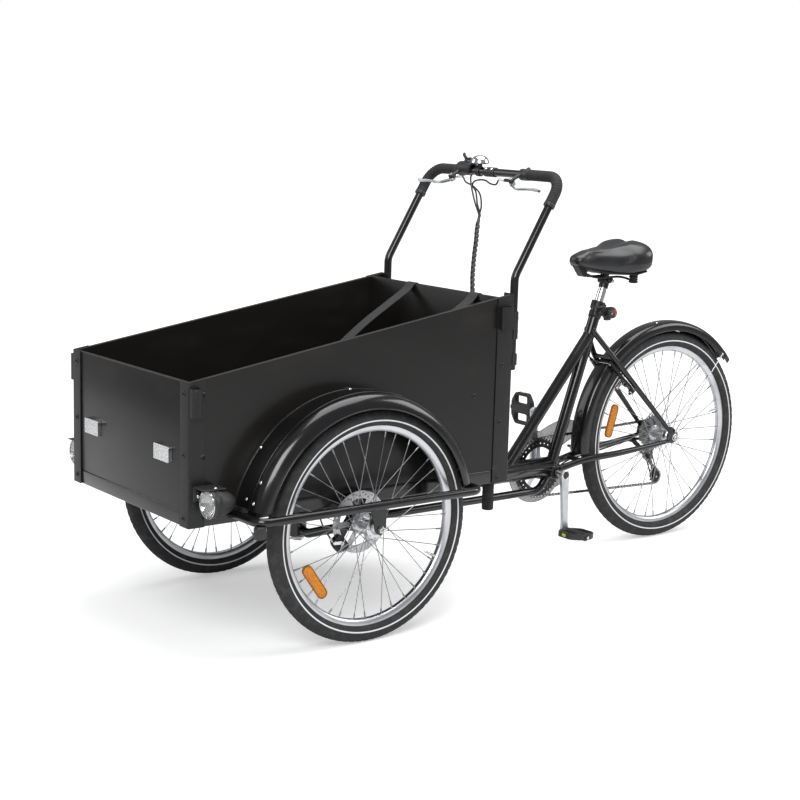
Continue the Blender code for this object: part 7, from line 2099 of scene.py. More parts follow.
def main_tubes():
    """Head tube, beam, truss tube, bottom bracket shell, seat tube and down tube, with their welds."""
    head = turned(
        [
            (0.0140, 0.237), (0.0295, 0.237), (0.0310, 0.2385), (0.0310, 0.2435), (0.0300, 0.2450),
            (0.0300, 0.3035), (0.0310, 0.3050), (0.0310, 0.3100), (0.0295, 0.3115), (0.0140, 0.3115)
        ], spot(0, KING_Y, 0), "Z", 48
    )
    beam_start, beam_end = spot(0, KING_Y + 0.012, BEAM_Z), spot(0, CRANK_Y - 0.004, BEAM_Z)
    beam = rod(beam_start, beam_end, BEAM_R, 48, 0.0012)
    route = [spot(0, 0.150, BEAM_Z - 0.010), spot(0, 0.225, TRUSS_Z), spot(0, CRANK_Y - 0.040, TRUSS_Z),
             spot(0, CRANK_Y, CRANK[2] - 0.004)]
    truss = tube(bent(route, 0.045, 14), TRUSS_R, 24, reference=(1, 0, 0))
    half = [(0.0165, SHELL_HALF), (0.0203, SHELL_HALF), (0.0210, SHELL_HALF - 0.0008)]
    shell = turned([(r, -x) for r, x in half] + half[::-1], CRANK, "X", 40)
    wall = [(0.0142, 0.012), (0.0170, 0.012), (0.0170, 0.528), (0.0142, 0.528)]
    seat = turned(wall, (0, 0, 0), "Z", 40).by(facing(CRANK, SEAT_WAY))
    down_foot, down_top = spot(0, CRANK_Y - 0.176, BEAM_Z + 0.012), CRANK + SEAT_WAY * 0.426
    down = rod(down_foot, down_top, TUBE_R, 40)
    welds = [
        meeting_weld(beam_end, beam_start, BEAM_R, spot(0, KING_Y, 0.2), (0, 0, 1), 0.0300),
        meeting_weld(down_top, down_foot, TUBE_R, beam_start, (0, 1, 0), BEAM_R),
        meeting_weld(down_foot, down_top, TUBE_R * 0.97, CRANK, SEAT_WAY, TUBE_R, 0.0019),
        meeting_weld(SEAT_TOP, CRANK, TUBE_R, CRANK, (1, 0, 0), SHELL_R),
        meeting_weld(
            spot(0, 0.225, TRUSS_Z), spot(0, 0.150, BEAM_Z - 0.010), TRUSS_R, beam_start, (0, 1, 0),
            BEAM_R, 0.0018
        ),
        meeting_weld(
            spot(0, CRANK_Y - 0.040, TRUSS_Z), CRANK, TRUSS_R, CRANK, (1, 0, 0), SHELL_R, 0.0018
        ),
        both(
            meeting_weld(
                CRANK + (0.030, 0.10, 0.022), CRANK + (0.028, 0, 0.006), 0.0100, CRANK, (1, 0, 0),
                SHELL_R, 0.0016
            )
        ),
    ]
    return together([head, beam, truss, shell, seat, down] + welds)


def stays_shape():
    """Left chain stay and seat stay, tapered and flattened at the dropout, which is cut from plate."""
    x, z = DROPOUT_X, REAR_AXLE[2]
    chain_route = [spot(0.028, CRANK_Y + 0.012, CRANK[2] + 0.008), spot(0.033, CRANK_Y + 0.098, 0.286),
                   spot(0.042, CRANK_Y + 0.155, 0.293), spot(0.052, CRANK_Y + 0.241, 0.299),
                   spot(x - 0.0025, REAR_Y - 0.052, z - 0.0125), spot(x, REAR_Y - 0.022, z - 0.005)]
    chain = tube_between(chain_route, 0.010, (1, 1, 1, 1, 0.97, 0.90, 0.82, 0.74, 0.62))
    top = CRANK + SEAT_WAY * (0.528 - 0.090)
    near, middle, foot = (REAR_AXLE + STAY_WAY * reach for reach in (0.360, BRAKE_REACH, 0.022))
    top, near, middle, foot = (
        top + (0.012, 0, 0), near + (0.0445, 0, 0), middle + (BRAKE_X, 0, 0), foot + (x, 0, 0)
    )
    seat = tube_between([top, near, middle, foot], 0.0085, (1, 1, 1, 1, 1, 0.97, 0.92, 0.84, 0.68))
    lines = np.array(
        [
            (-0.034, -0.014), (-0.006, -0.017), (0.013, -0.010), (0.014, 0.010), (-0.006, 0.030),
            (-0.020, 0.038), (-0.028, 0.018)
        ]
    ) + REAR_AXLE[1:]
    plate = cut_plate([softened(lines, 0.008, 6)], 0.0050, "X", x)
    boss = rod(middle, middle - BOSS_WAY * 0.0120, 0.0062, 24, 0.0008)
    boss = boss + rod(middle, middle - BOSS_WAY * 0.0345, 0.0042, 20)
    welds = meeting_weld(near, top, 0.0085, CRANK, SEAT_WAY, TUBE_R, 0.0016)
    x = x + 0.0024
    line = [spot(x, REAR_Y - 0.040, z - 0.0145), spot(x, REAR_Y - 0.018, z - 0.0090)]
    welds = welds + weld(line, 0.0013)
    return chain + seat + plate + boss + welds


def bridge_shapes():
    """Cross tubes between the stays, arms for the chain guard, lamp clip and cable stops."""
    upper = REAR_AXLE + STAY_WAY * (REAR_FENDER_R + 0.0071)
    lower = spot(0, CRANK_Y + 0.102, 0.286)
    made = [
        rod(upper - (0.044, 0, 0), upper + (0.044, 0, 0), 0.0062, 20),
        rod(lower - (0.034, 0, 0), lower + (0.034, 0, 0), 0.0070, 20)
    ]
    made += [both(collar_weld(upper + (0.0375, 0, 0), (1, 0, 0), 0.0066, 0.0013)),
             both(collar_weld(lower + (0.0240, 0, 0), (1, 0, 0), 0.0074, 0.0013))]
    reach = GUARD_X + 0.0012
    front, back = CRANK + (reach, -0.1005, -0.002), CRANK + (reach, 0.130, 0.052)
    made.append(rod(CRANK + (-0.020, -0.1005, -0.002), front, 0.0042, 18))
    root = CRANK + (-0.036, 0.130, 0.030)
    made.append(tube(bent([root, (root[0] - 0.012, back[1], back[2]), back], 0.007, 8), 0.0042, 18))
    return together(made)


def collar_shapes():
    """Seat collar with its split ears, lamp clip and the lamp's arm."""
    basis = facing(SEAT_TOP, SEAT_WAY)
    ring = turned(
        [
            (0.0172, -0.0236), (0.0203, -0.0240), (0.0210, -0.0232), (0.0210, -0.0008),
            (0.0203, 0.0008), (0.0140, 0.0010), (0.0140, -0.0020)
        ], (0, 0, 0), "Z", 48
    )
    band = turned(
        [
            (0.0172, -0.0500), (0.0186, -0.0500), (0.0192, -0.0490), (0.0192, -0.0310),
            (0.0186, -0.0300), (0.0172, -0.0300)
        ], (0, 0, 0), "Z", 48
    )
    start = SEAT_TOP - SEAT_WAY * 0.040 + (0, 0.016, 0)
    arm = block((-0.0058, 0, -0.0058), (0.0058, 0.0238, 0.0058), 0.0018).at(start)
    return ring.by(basis) + band.by(basis) + arm


def axle_fittings():
    """Rear axle ends with washers and nuts, and the bottom bracket's cups."""
    made = []
    for side in (1, -1):
        face = side * (DROPOUT_X + 0.0025)
        place = REAR_AXLE + (face, 0, 0)
        made.append(rod(place, place + (side * 0.0140, 0, 0), 0.0047, 20, 0.0008))
        washer = [(0.0050, 0.0), (0.0118, 0.0), (0.0118, 0.0012), (0.0112, 0.0016), (0.0050, 0.0016)]
        made.append(turned(washer, (0, 0, 0), "Z", 32).by(facing(place, (side, 0, 0))))
        nut = facing(place + (side * 0.0014, 0, 0), (side, 0, 0), (0, 0.3, 1))
        made.append(hex_bolt(0.0105, 0.0072).by(nut))
    return together(made)


def cup_shapes():
    """Cups at both ends of the bottom bracket shell."""
    profile = [
        (0.0128, -0.002), (0.0196, 0.0), (0.0196, 0.0), (0.0190, 0.0012), (0.0150, 0.0016),
        (0.0130, 0.0016), (0.0128, 0.0016)
    ]
    x = SHELL_HALF - 0.0014
    places = [facing(CRANK + (side * x, 0, 0), (side, 0, 0)) for side in (1, -1)]
    return copies(turned(profile, (0, 0, 0), "Z", 40), places)


def make_rear_frame():
    """The welded rear frame with its axle nuts and bottom bracket cups."""
    piece(
        "frame_tubes", main_tubes(), gloss_paint(), "rear_frame", "main_frame", "gloss_black_paint", 50
    )
    piece("frame_stays", both(stays_shape()), gloss_paint(), "rear_frame", "main_frame")
    piece("frame_bridges", bridge_shapes(), gloss_paint(), "rear_frame", "main_frame")
    piece("seat_collar", collar_shapes(), satin_steel(), "rear_frame", "main_frame")
    piece("axle_nuts", axle_fittings(), bright_steel(), "rear_frame", "main_frame", angle=30)
    piece("bracket_cups", cup_shapes(), satin_steel(), "rear_frame", "main_frame", angle=30)


# Rear mudguard and chain guard

def rear_fender_shapes():
    """Round-backed mudguard with a skirt and rolled edges, its flap, its wire stays and its bolts."""
    half = [
        (0.0303, 0.3310), (0.0303, 0.3375), (0.0301, 0.3435), (0.0288, 0.3490), (0.0262, 0.3535),
        (0.0215, 0.3570), (0.0130, 0.3593)
    ]
    line = spline([*half, (0.0, 0.3602), *[(-x, r) for x, r in reversed(half)]], 56)
    low, high = 42.0, 184.0
    sheet = guard_sheet(line, FENDER_SHEET, REAR_AXLE, low, high, 141)
    for side in (1, -1):
        sheet = sheet + ring_bead(side * 0.0301, 0.3312, REAR_AXLE, low, high, 0.0012, 150)
    t = np.linspace(0, 1, 13)[:, None]
    angle = np.radians(44.5 - 6.4 * t)
    section = line[3:-3]
    outer = np.stack(
        np.broadcast_arrays(
            section[None, :, 0] * (1 - 0.10 * t ** 2), section[None, :, 1] + 0.0014 + 0.002 * t ** 2,
            angle
        ), -1
    )
    inner = outer - np.array([0.0, 0.0018, 0.0])
    ring = np.concatenate([outer, inner[:, ::-1]], 1)
    points = on_axle(ring[..., 0], ring[..., 1], ring[..., 2], REAR_AXLE)
    columns = ring.shape[1]
    i = np.arange(columns // 2 - 1)
    cap = np.stack([i, i + 1, columns - 2 - i, columns - 1 - i], 1)
    flap = Shape(points, [quads(13, columns, False, True), cap[:, ::-1], cap + 12 * columns])
    wires, bolts = [], []
    for side in (1, -1):
        tip, _ = around_axle(REAR_AXLE, side * 0.0318, 0.3390, 45.5)
        start = REAR_AXLE + (side * (DROPOUT_X + 0.0058), 0.0, 0.022)
        route = np.stack([start, start + (0, 0.004, 0.006), tip - (0, 0.009, 0.010), tip])
        wires.append(tube(route, 0.0020, 14))
        eye = on_axle(0, 0.0040, around(24), start)
        wires.append(tube(eye, 0.0019, 10, closed=True, reference=(1, 0, 0)))
        bolts.append(facing(start + (side * 0.0006, 0, 0), (side, 0, 0)))
        bolts.append(facing(tip + (side * 0.0010, 0, 0), (side, 0, 0)))
    for angle, x in ((98, 0.012), (98, -0.012), (134.2, 0.0), (44, 0.013), (44, -0.013)):
        place, way = around_axle(REAR_AXLE, x, 0.3608 if x == 0 else 0.3600, angle)
        bolts.append(facing(place, way, (1, 0, 0)))
    return sheet, flap.outward(), together(wires), copies(dome_bolt(0.0040, 0.0022), bolts)


GUARD_X, GUARD_R = -0.0590, 0.109


def guard_shape():
    """Flat guard outside the chainring with a broad tail and a raised lip round it and its hole."""
    front = polar(GUARD_R, np.radians(np.arange(84, 320.1, 3.0)))
    tail = softened(
        [
            front[-1], (0.122, -0.060), (0.112, -0.034), (0.0905, -0.016), (0.0905, 0.050),
            (0.150, 0.078), (0.162, 0.124), (0.105, 0.140), (0.040, 0.121), front[0]
        ], 0.014, 7
    )
    outline = np.vstack([front, tail[7:-7]]) + CRANK[1:]
    hole = circle(0.0830, 96) + CRANK[1:]
    plate = cut_plate([outline, hole], 0.0016, "X", GUARD_X)
    lips = []
    for line in (outline, hole):
        path = np.column_stack([np.full(len(line), GUARD_X), line])
        lips.append(tube(path, 0.0010, 8, closed=True, reference=(1, 0, 0)))
    return plate + together(lips)


def make_guards():
    """Rear mudguard with its flap and wire stays, and the chain guard."""
    sheet, flap, wires, bolts = rear_fender_shapes()
    piece(
        "rear_fender_sheet", sheet, gloss_paint(), "rear_frame", "rear_fender", "gloss_black_paint", 50
    )
    piece("rear_fender_flap", flap, moulded_plastic(), "rear_frame", "rear_fender")
    piece("rear_fender_wires", wires, bright_steel(), "rear_frame", "rear_fender")
    piece("rear_fender_bolts", bolts, bright_steel(), "rear_frame", "rear_fender", angle=50)
    piece("guard_plate", guard_shape(), smoke_plastic(), "rear_frame", "chain_guard", "smoke_plastic")
    places = [
        facing(CRANK + (GUARD_X - 0.0008, y, z), (-1, 0, 0))
        for y, z in ((-0.1005, -0.002), (0.130, 0.052))
    ]
    piece(
        "guard_screws", copies(dome_bolt(0.0042, 0.0018), places), bright_steel(), "rear_frame",
        "chain_guard", angle=50
    )


# Rear brake

# From the brake's own directions, along the stay and across it, to the tricycle's
BRAKE_FRAME = np.eye(4)
BRAKE_FRAME[:3] = np.stack([(1, 0, 0), STAY_WAY, -BOSS_WAY, REAR_AXLE], 1)


def brake_shapes():
    """Left brake arm: arm on its pivot, rubber pad, bright holder, post and bolts, and spring."""
    outline = softened(
        [
            (0.0440, 0.2345), (0.0590, 0.2345), (0.0604, 0.2620), (0.0520, 0.3000), (0.0472, 0.3560),
            (0.0455, 0.3735), (0.0368, 0.3735), (0.0372, 0.3560), (0.0392, 0.3000), (0.0437, 0.2620)
        ], 0.006
    )
    arm = cut_plate([outline], 0.0075, "Z", 0.0190)
    barrel = turned(
        [
            (0.0050, 0.0098), (0.0085, 0.0098), (0.0090, 0.0105), (0.0090, 0.0262), (0.0082, 0.0275),
            (0.0050, 0.0275)
        ], (BRAKE_X, BRAKE_REACH, 0), "Z", 32
    )
    seat = turned(
        [
            (0.0044, -0.0045), (0.0076, -0.0045), (0.0082, -0.0035), (0.0082, 0.0035), (0.0076, 0.0045),
            (0.0044, 0.0045)
        ], (0.0455, 0.2715, 0.0195), "X", 28
    )
    rubber = block((0.0171, 0.2660, -0.0035), (0.0208, 0.2770, 0.0435), 0.0016)
    holder = block((0.0204, 0.2664, -0.0015), (0.0243, 0.2766, 0.0415), 0.0014)
    t = np.arange(0, 44)
    post = tube(
        np.column_stack([0.0235 + t * 0.00072, np.full(44, 0.2715), np.full(44, 0.0195)]),
        0.0031 + 0.0002 * (t % 2), 18, reference=(0, 0, 1)
    )
    washers = []
    edge = 0.0006
    for a, b, r in ((0.0275, 0.0315, 0.0066), (0.0322, 0.0352, 0.0072), (0.0362, 0.0402, 0.0076)):
        ring = [(0.0032, a), (r - edge, a), (r, a + edge), (r, b - edge), (r - edge, b), (0.0032, b)]
        washers.append(turned(ring, (0, 0.2715, 0.0195), "X", 28))
    nut = hex_bolt(0.0052, 0.0048).by(facing((0.0500, 0.2715, 0.0195), (1, 0, 0), (0, 0.4, 1)))
    cap = dome_bolt(0.0068, 0.0026).by(facing((BRAKE_X, BRAKE_REACH, 0.0275), (0, 0, 1), (1, 0, 0)))
    spring = tube(
        spline(
            [
                (0.0590, 0.2400, 0.0165), (0.0622, 0.2520, 0.0165), (0.0610, 0.2700, 0.0160),
                (0.0560, 0.2920, 0.0158), (0.0525, 0.3060, 0.0158)
            ], 30
        ), 0.0009, 10
    )
    pinch = hex_bolt(0.0044, 0.0034).by(facing((0.0412, 0.3660, 0.0228), (0, 0, 1), (1, 0, 0)))
    return arm + barrel + seat, rubber, holder + post + together(washers) + nut + cap + pinch, spring


def make_rear_brake():
    """Both rim brake arms with their pads, the boot between them and the inner wire."""
    frame_piece, rubber, bright, spring = (shape.by(BRAKE_FRAME) for shape in brake_shapes())
    for side in ("left", "right"):
        for part, shape, finish, slot, angle, bevel in (
            ("casting", frame_piece, satin_steel(), "satin_black_steel", 40, 0.0007),
            ("rubber", rubber, reflector_plastic(0.16, 0.045, 0.012), None, 40, 0),
            ("fittings", bright, bright_steel(), None, 30, 0),
            ("spring", spring, bright_steel(), None, 40, 0),
        ):
            shape = shape if side == "left" else shape.mirror()
            body, node = side + "_rear_brake_arm", side + "_brake_arm"
            piece(side + "_brake_" + part, shape, finish, body, node, slot, angle, bevel)
    along, across = 0.3660, 0.0212
    wire = rod((-0.0068, along, across), (0.0440, along, across), 0.0008, 10)
    x = np.linspace(-0.0365, -0.0060, 46)
    ribs = 0.0036 - 0.0016 * np.linspace(0, 1, 46) + 0.0006 * np.sin(np.arange(46) * 2 * np.pi / 4.6)
    line = np.column_stack([x, np.full(46, along), np.full(46, across)])
    boot = tube(line, ribs, 18, reference=(0, 0, 1)).by(BRAKE_FRAME)
    wire = wire.by(BRAKE_FRAME)
    piece("brake_inner_wire", wire, bright_steel(), "left_rear_brake_arm", "left_brake_arm")
    piece("brake_boot", boot, moulded_plastic(), "right_rear_brake_arm", "right_brake_arm")


# Rear cables

DERAILLEUR_PIVOT = REAR_AXLE + (-0.0695, 0.008, -0.030)
DERAILLEUR_FRONT = DERAILLEUR_PIVOT + (-0.012, -0.046, 0.002)


def make_rear_cables():
    """Cable loop under the box, then the gear and brake housings with their sleeves and ties."""
    loop = [MEET, MEET + MEET_WAY * 0.008, spot(-0.0395, 0.0865, 0.300), spot(-0.0385, 0.0885, 0.287),
            spot(-0.0365, 0.100, 0.2770), spot(-0.0352, 0.122, 0.2740), spot(-0.0350, 0.155, 0.2740),
            spot(-0.0350, 0.195, 0.2740)]
    made = placed("cable_loop", cable(loop, 90, 0.0042, 16), housing(), 60)
    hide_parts("rear_cables")
    spot(-0.0352, 0.122, 0.2740)
    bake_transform(made)
    diagonal = (BEAM_R + CABLE_R + 0.0006) * math.sqrt(0.5)
    under = BEAM_Z - diagonal
    shell_under = CRANK[2] - SHELL_R - CABLE_R - 0.0014
    gear_end = DERAILLEUR_FRONT + (0.0030, -0.0122, 0.0)
    gear = [
        spot(-0.0348, 0.185, 0.2735), spot(-0.0322, 0.235, BEAM_Z - 0.0130),
        spot(-diagonal, 0.290, under), spot(-diagonal, 0.500, under), spot(-diagonal, 0.700, under),
        spot(-diagonal, CRANK_Y - 0.060, under), spot(-0.0240, CRANK_Y - 0.024, shell_under),
        spot(-0.0240, CRANK_Y + 0.014, shell_under), spot(-0.0300, CRANK_Y + 0.060, 0.2550),
        spot(-0.0345, CRANK_Y + 0.100, 0.2715), spot(-0.0430, CRANK_Y + 0.160, 0.2790),
        spot(-0.0520, CRANK_Y + 0.241, 0.2850), spot(-0.0620, CRANK_Y + 0.345, 0.2960),
        spot(-0.0720, REAR_Y - 0.060, 0.2990), gear_end
    ]
    side = TUBE_R + CABLE_R + 0.0006
    brake_end = (BRAKE_FRAME @ (-0.0410, BRAKE_TOP + 0.0008, 0.0195, 1))[:3]
    brake = [
        spot(-0.0348, 0.185, 0.2745), spot(-0.0318, 0.235, BEAM_Z + 0.0125),
        spot(-0.0290, 0.290, BEAM_Z + 0.0170), spot(-0.0290, 0.500, BEAM_Z + 0.0170),
        spot(-0.0290, 0.690, BEAM_Z + 0.0170), spot(-0.0255, 0.745, 0.2990), spot(-side, 0.800, 0.3388),
        spot(-side, 0.880, 0.4347), spot(-side, 0.960, 0.5307), spot(-side, 1.030, 0.6120),
        spot(-0.0215, 1.065, 0.6350), spot(-0.0270, 1.092, 0.6290), spot(-0.0360, 1.111, 0.6065),
        brake_end + STAY_WAY * 0.008, brake_end
    ]
    piece(
        "rear_housings", cable(gear, 260) + cable(brake, 240), housing(), "rear_frame", "rear_cables",
        "cable_black", 60
    )
    sleeves = [ferrule(gear_end, gear[-2]), ferrule(brake_end, brake[-2])]
    piece("rear_cable_sleeves", together(sleeves), bright_steel(), "rear_frame", "rear_cables")
    places = [spot(0, y, BEAM_Z) for y in (0.300, 0.480, 0.660)]
    ties = [collar_band(place, (0, 1, 0), BEAM_R + 0.0007, 0.0058) for place in places]
    piece("cable_ties", together(ties), moulded_plastic(), "rear_frame", "rear_cables")


def collar_band(centre, axis, radius, size):
    """A cable tie round a tube: a ring that swells over the cable on the right side."""
    basis = facing(centre, axis, (1, 0, 0))
    line = np.column_stack([circle(radius, 72), np.zeros(72)]) @ basis[:3, :3].T
    right = np.clip(-unit(line)[:, 0], 0, 1) ** 10
    line = line * (1 + right * size / radius)[:, None] + centre
    ring = rounded_rectangle(0.0020, 0.0007, 0.0005, 3)
    return swept(line, ring[:, ::-1], 1.0, True, reference=unit(axis))


# Chain and toothed wheels

PITCH = 0.0127
CHAIN_X = -0.047
RING_TEETH, COG_TEETH, PULLEY_TEETH = 44, 18, 11
CASSETTE = (28, 24, 22, 20, 18, 16, 14)
COG_SPACING, COG_T = 0.005, 0.0018
GUIDE, TENSION = axle("guide_pulley_spin"), axle("tension_pulley_spin")
ROLLER_R = 0.0038


def pitch_radius(teeth):
    """Radius of the circle on which the rollers of a wheel lie: pitch / (2 sin(pi / teeth))."""
    return PITCH / 2 / math.sin(math.pi / teeth)


def chain_rollers():
    """Centres (y, z) of the rollers, the links from each to the next, and each wheel's phase.

    The phase is the angle of one roller about the wheel. The path runs round four circles, the guide
    pulley's the other way. A straight run between two circles of signed radii r1 and r2 turns from
    their line of centres by the arc sine of (r2 - r1) / distance.
    """
    teeth = np.array([RING_TEETH, PULLEY_TEETH, PULLEY_TEETH, COG_TEETH])
    sign = np.array([1, 1, -1, 1])
    centre = np.array([CRANK[1:], TENSION[1:], GUIDE[1:], REAR_AXLE[1:]])
    radius = sign * PITCH / 2 / np.sin(np.pi / teeth)
    along = np.roll(centre, -1, 0) - centre
    lean = np.arcsin((np.roll(radius, -1) - radius) / np.linalg.norm(along, axis=1))
    leave = np.arctan2(along[:, 1], along[:, 0]) - lean
    arrive = np.roll(leave, 1)
    wrap = (sign * (leave - arrive)) % (2 * np.pi)
    places, lengths, phases = [], [], []
    start = 0.0
    for k in range(4):
        turn = wrap[k] * teeth[k] / (2 * np.pi)
        t = np.linspace(0, 1, 160)
        swing = arrive[k] + sign[k] * wrap[k] * t
        places.append(centre[k] + radius[k] * np.stack([np.sin(swing), -np.cos(swing)], 1))
        lengths.append(start + turn * t)
        first = math.ceil(start - 1e-9) - start
        phases.append(arrive[k] + sign[k] * first * 2 * np.pi / teeth[k] - sign[k] * np.pi / 2)
        start += turn
        left = np.array([-math.sin(leave[k]), math.cos(leave[k])])
        run = (np.roll(centre, -1, 0)[k] - left * np.roll(radius, -1)[k]) - places[-1][-1]
        start += np.linalg.norm(run) / PITCH
    places.append(places[0][:1])
    lengths.append([start])
    places, lengths = np.vstack(places), np.concatenate(lengths)
    where = np.arange(int(round(start))) * start / round(start)
    rollers = np.stack([np.interp(where, lengths, places[:, k]) for k in (0, 1)], 1)
    return rollers, np.roll(rollers, -1, 0) - rollers, phases


def peanut(length, end, waist, count=9):
    """Outline of a link plate: two round ends about eyes a length apart, drawn in between them."""
    t = np.radians(np.linspace(-115, 115, count))
    right = polar(end, t) + (length / 2, 0)
    return np.vstack([right, [(0.0, waist)], -right, [(0.0, -waist)]])


def chain_shapes(rollers, chord):
    """Rollers with the ends of their pins, then outer and inner plates in turn."""
    count = len(rollers)
    places = np.tile(np.eye(4), (count, 1, 1))
    way = unit(chord)
    zero = np.zeros(count)
    places[:, :3, 0] = (1, 0, 0)
    places[:, :3, 1] = np.column_stack([zero, way])
    places[:, :3, 2] = np.column_stack([zero, -way[:, 1], way[:, 0]])
    middle = places.copy()
    places[:, :3, 3] = np.column_stack([zero + CHAIN_X, rollers])
    middle[:, :3, 3] = np.column_stack([zero + CHAIN_X, rollers + chord / 2])
    outline = peanut(PITCH, 0.0039, 0.0029)
    inner = cut_plate([outline], 0.0008, "X", 0.0019) + cut_plate([outline], 0.0008, "X", -0.0019)
    outer = cut_plate([outline], 0.0008, "X", 0.0028) + cut_plate([outline], 0.0008, "X", -0.0028)
    roller = rod((-0.0015, 0, 0), (0.0015, 0, 0), ROLLER_R, 12)
    pin = rod((-0.0034, 0, 0), (0.0034, 0, 0), 0.0017, 8)
    return copies(roller + pin, places), copies(outer, middle[0::2]) + copies(inner, middle[1::2])


def toothed(teeth, phase, centre, bore, thickness, x, holes=(), tip=0.0030, seat=0.0041):
    """A toothed plate: round seats for the rollers with narrow teeth between, a bore and holes."""
    radius = pitch_radius(teeth)
    t = np.radians([250, 215, 180, 145, 110])
    flat = np.array([-0.0007, 0.0007]) / radius
    one = np.vstack([polar(seat, t) + (radius, 0), polar(radius + tip, math.pi / teeth + flat)])
    swing = phase + around(teeth)
    c, s = np.cos(swing)[:, None], np.sin(swing)[:, None]
    line = np.stack([c * one[:, 0] - s * one[:, 1], s * one[:, 0] + c * one[:, 1]], -1).reshape(-1, 2)
    lines = [line, circle(bore, 48)]
    for count, distance, size, turn in holes:
        for angle in around(count) + turn:
            lines.append(circle(size, 14) + polar(distance, angle))
    return cut_plate([line + centre[1:] for line in lines], thickness, "X", x)


def cassette_shapes(phase):
    """Seven cogs on their carrier, the larger ones drilled, with spacers and the lockring."""
    cogs = []
    drilled = {
        28: ((12, 0.0410, 0.0042, 0.1), (12, 0.0300, 0.0030, 0.35)), 24: ((12, 0.0350, 0.0036, 0.2),)
    }
    for index, teeth in enumerate(CASSETTE):
        x = CHAIN_X + (CASSETTE.index(COG_TEETH) - index) * COG_SPACING
        turn, tip = (phase, 0.0030) if teeth == COG_TEETH else (0.07 * index, 0.0020)
        holes = drilled.get(teeth, ())
        cogs.append(toothed(teeth, turn, REAR_AXLE, 0.0190, COG_T - 0.0002, x, holes, tip))
    sleeve = turned(
        [
            (0.0056, -0.0262), (0.0200, -0.0262), (0.0200, -0.0585), (0.0160, -0.0597),
            (0.0118, -0.0622), (0.0056, -0.0622)
        ], REAR_AXLE, "X", 40
    )
    t = around(96)
    ring = polar(0.0178 + 0.0008 * np.sign(np.sin(12 * t)), t) + REAR_AXLE[1:]
    lock = cut_plate([ring, circle(0.0125, 48) + REAR_AXLE[1:]], 0.0016, "X", -0.0598)
    return together(cogs), sleeve + lock


# Cranks and pedals

ARM_X, ARM_T = 0.0685, 0.013
PEDAL_X = 0.12025
# Side, name, place of the pedal axle, and turn of the pedal in degrees
LEGS = (
    (1, "left", CRANK + (0, 0.008, -0.170), -4.0), (-1, "right", CRANK + (0, -0.008, 0.170), 90.0)
)


def link_line(start, end, start_r, end_r, neck=0.0, count=13):
    """(y, z) points round a link with round ends, drawn in beside each eye where a neck is given."""
    start, end = np.asarray(start, float), np.asarray(end, float)
    along = unit(end - start)
    across = np.array([-along[1], along[0]])
    points = []
    for centre, radius, turn, way, far, far_r in (
        (start, start_r, 90, 1, end, end_r), (end, end_r, -90, -1, start, start_r)
    ):
        t = np.radians(turn + np.linspace(0, 180, count))[:, None]
        points.append(centre + radius * (along * np.cos(t) + across * np.sin(t)))
        if neck:
            points.append([centre + along * way * radius * 1.9 - across * way * (radius - neck),
                           far - along * way * far_r * 1.9 - across * way * (far_r - neck)])
    return np.vstack(points)


def crank_arm(side, foot):
    """A forged arm crowned by three stacked outlines on each face, and its pedal axle and flats."""
    x = side * ARM_X
    levels = []
    for inset, half in (
        (0.0, ARM_T / 2 - 0.0030), (0.0007, ARM_T / 2 - 0.0014), (0.0022, ARM_T / 2 - 0.0002)
    ):
        line = link_line(CRANK[1:], foot[1:], 0.0165 - inset, 0.0135 - inset, 0.0030)
        low, high = (np.column_stack([np.full(len(line), x + way * half), line]) for way in (-1, 1))
        levels = [low, *levels, high]
    rings = np.stack(levels)
    columns = rings.shape[1]
    ends = np.arange(columns)
    arm = Shape(
        rings.reshape(-1, 3),
        [quads(6, columns, False, True), ends[None, ::-1], 5 * columns + ends[None]]
    ).outward()
    axle_rod = rod((x, *foot[1:]), (side * 0.1735, *foot[1:]), 0.0044, 20, 0.0006)
    flats = hex_bolt(0.0078, 0.0032).by(facing((side * (ARM_X + 0.0066), *foot[1:]), (side, 0, 0)))
    return arm, axle_rod + flats


def crank_cap(side):
    """Washer ring and dust cap on the arm's eye."""
    place = facing((side * (ARM_X + 0.0060), *CRANK[1:]), (side, 0, 0))
    ring = turned(
        [
            (0.0112, 0.0), (0.0143, 0.0), (0.0143, 0.0010), (0.0136, 0.0015), (0.0118, 0.0013),
            (0.0112, 0.0005)
        ], (0, 0, 0), "Z", 40
    )
    cap = turned(
        [
            (0.0002, 0.0013), (0.0070, 0.0012), (0.0100, 0.0009), (0.0112, 0.0003), (0.0112, -0.0006),
            (0.0002, -0.0006)
        ], (0, 0, 0), "Z", 40, closed=False
    )
    return ring.by(place), cap.by(place)


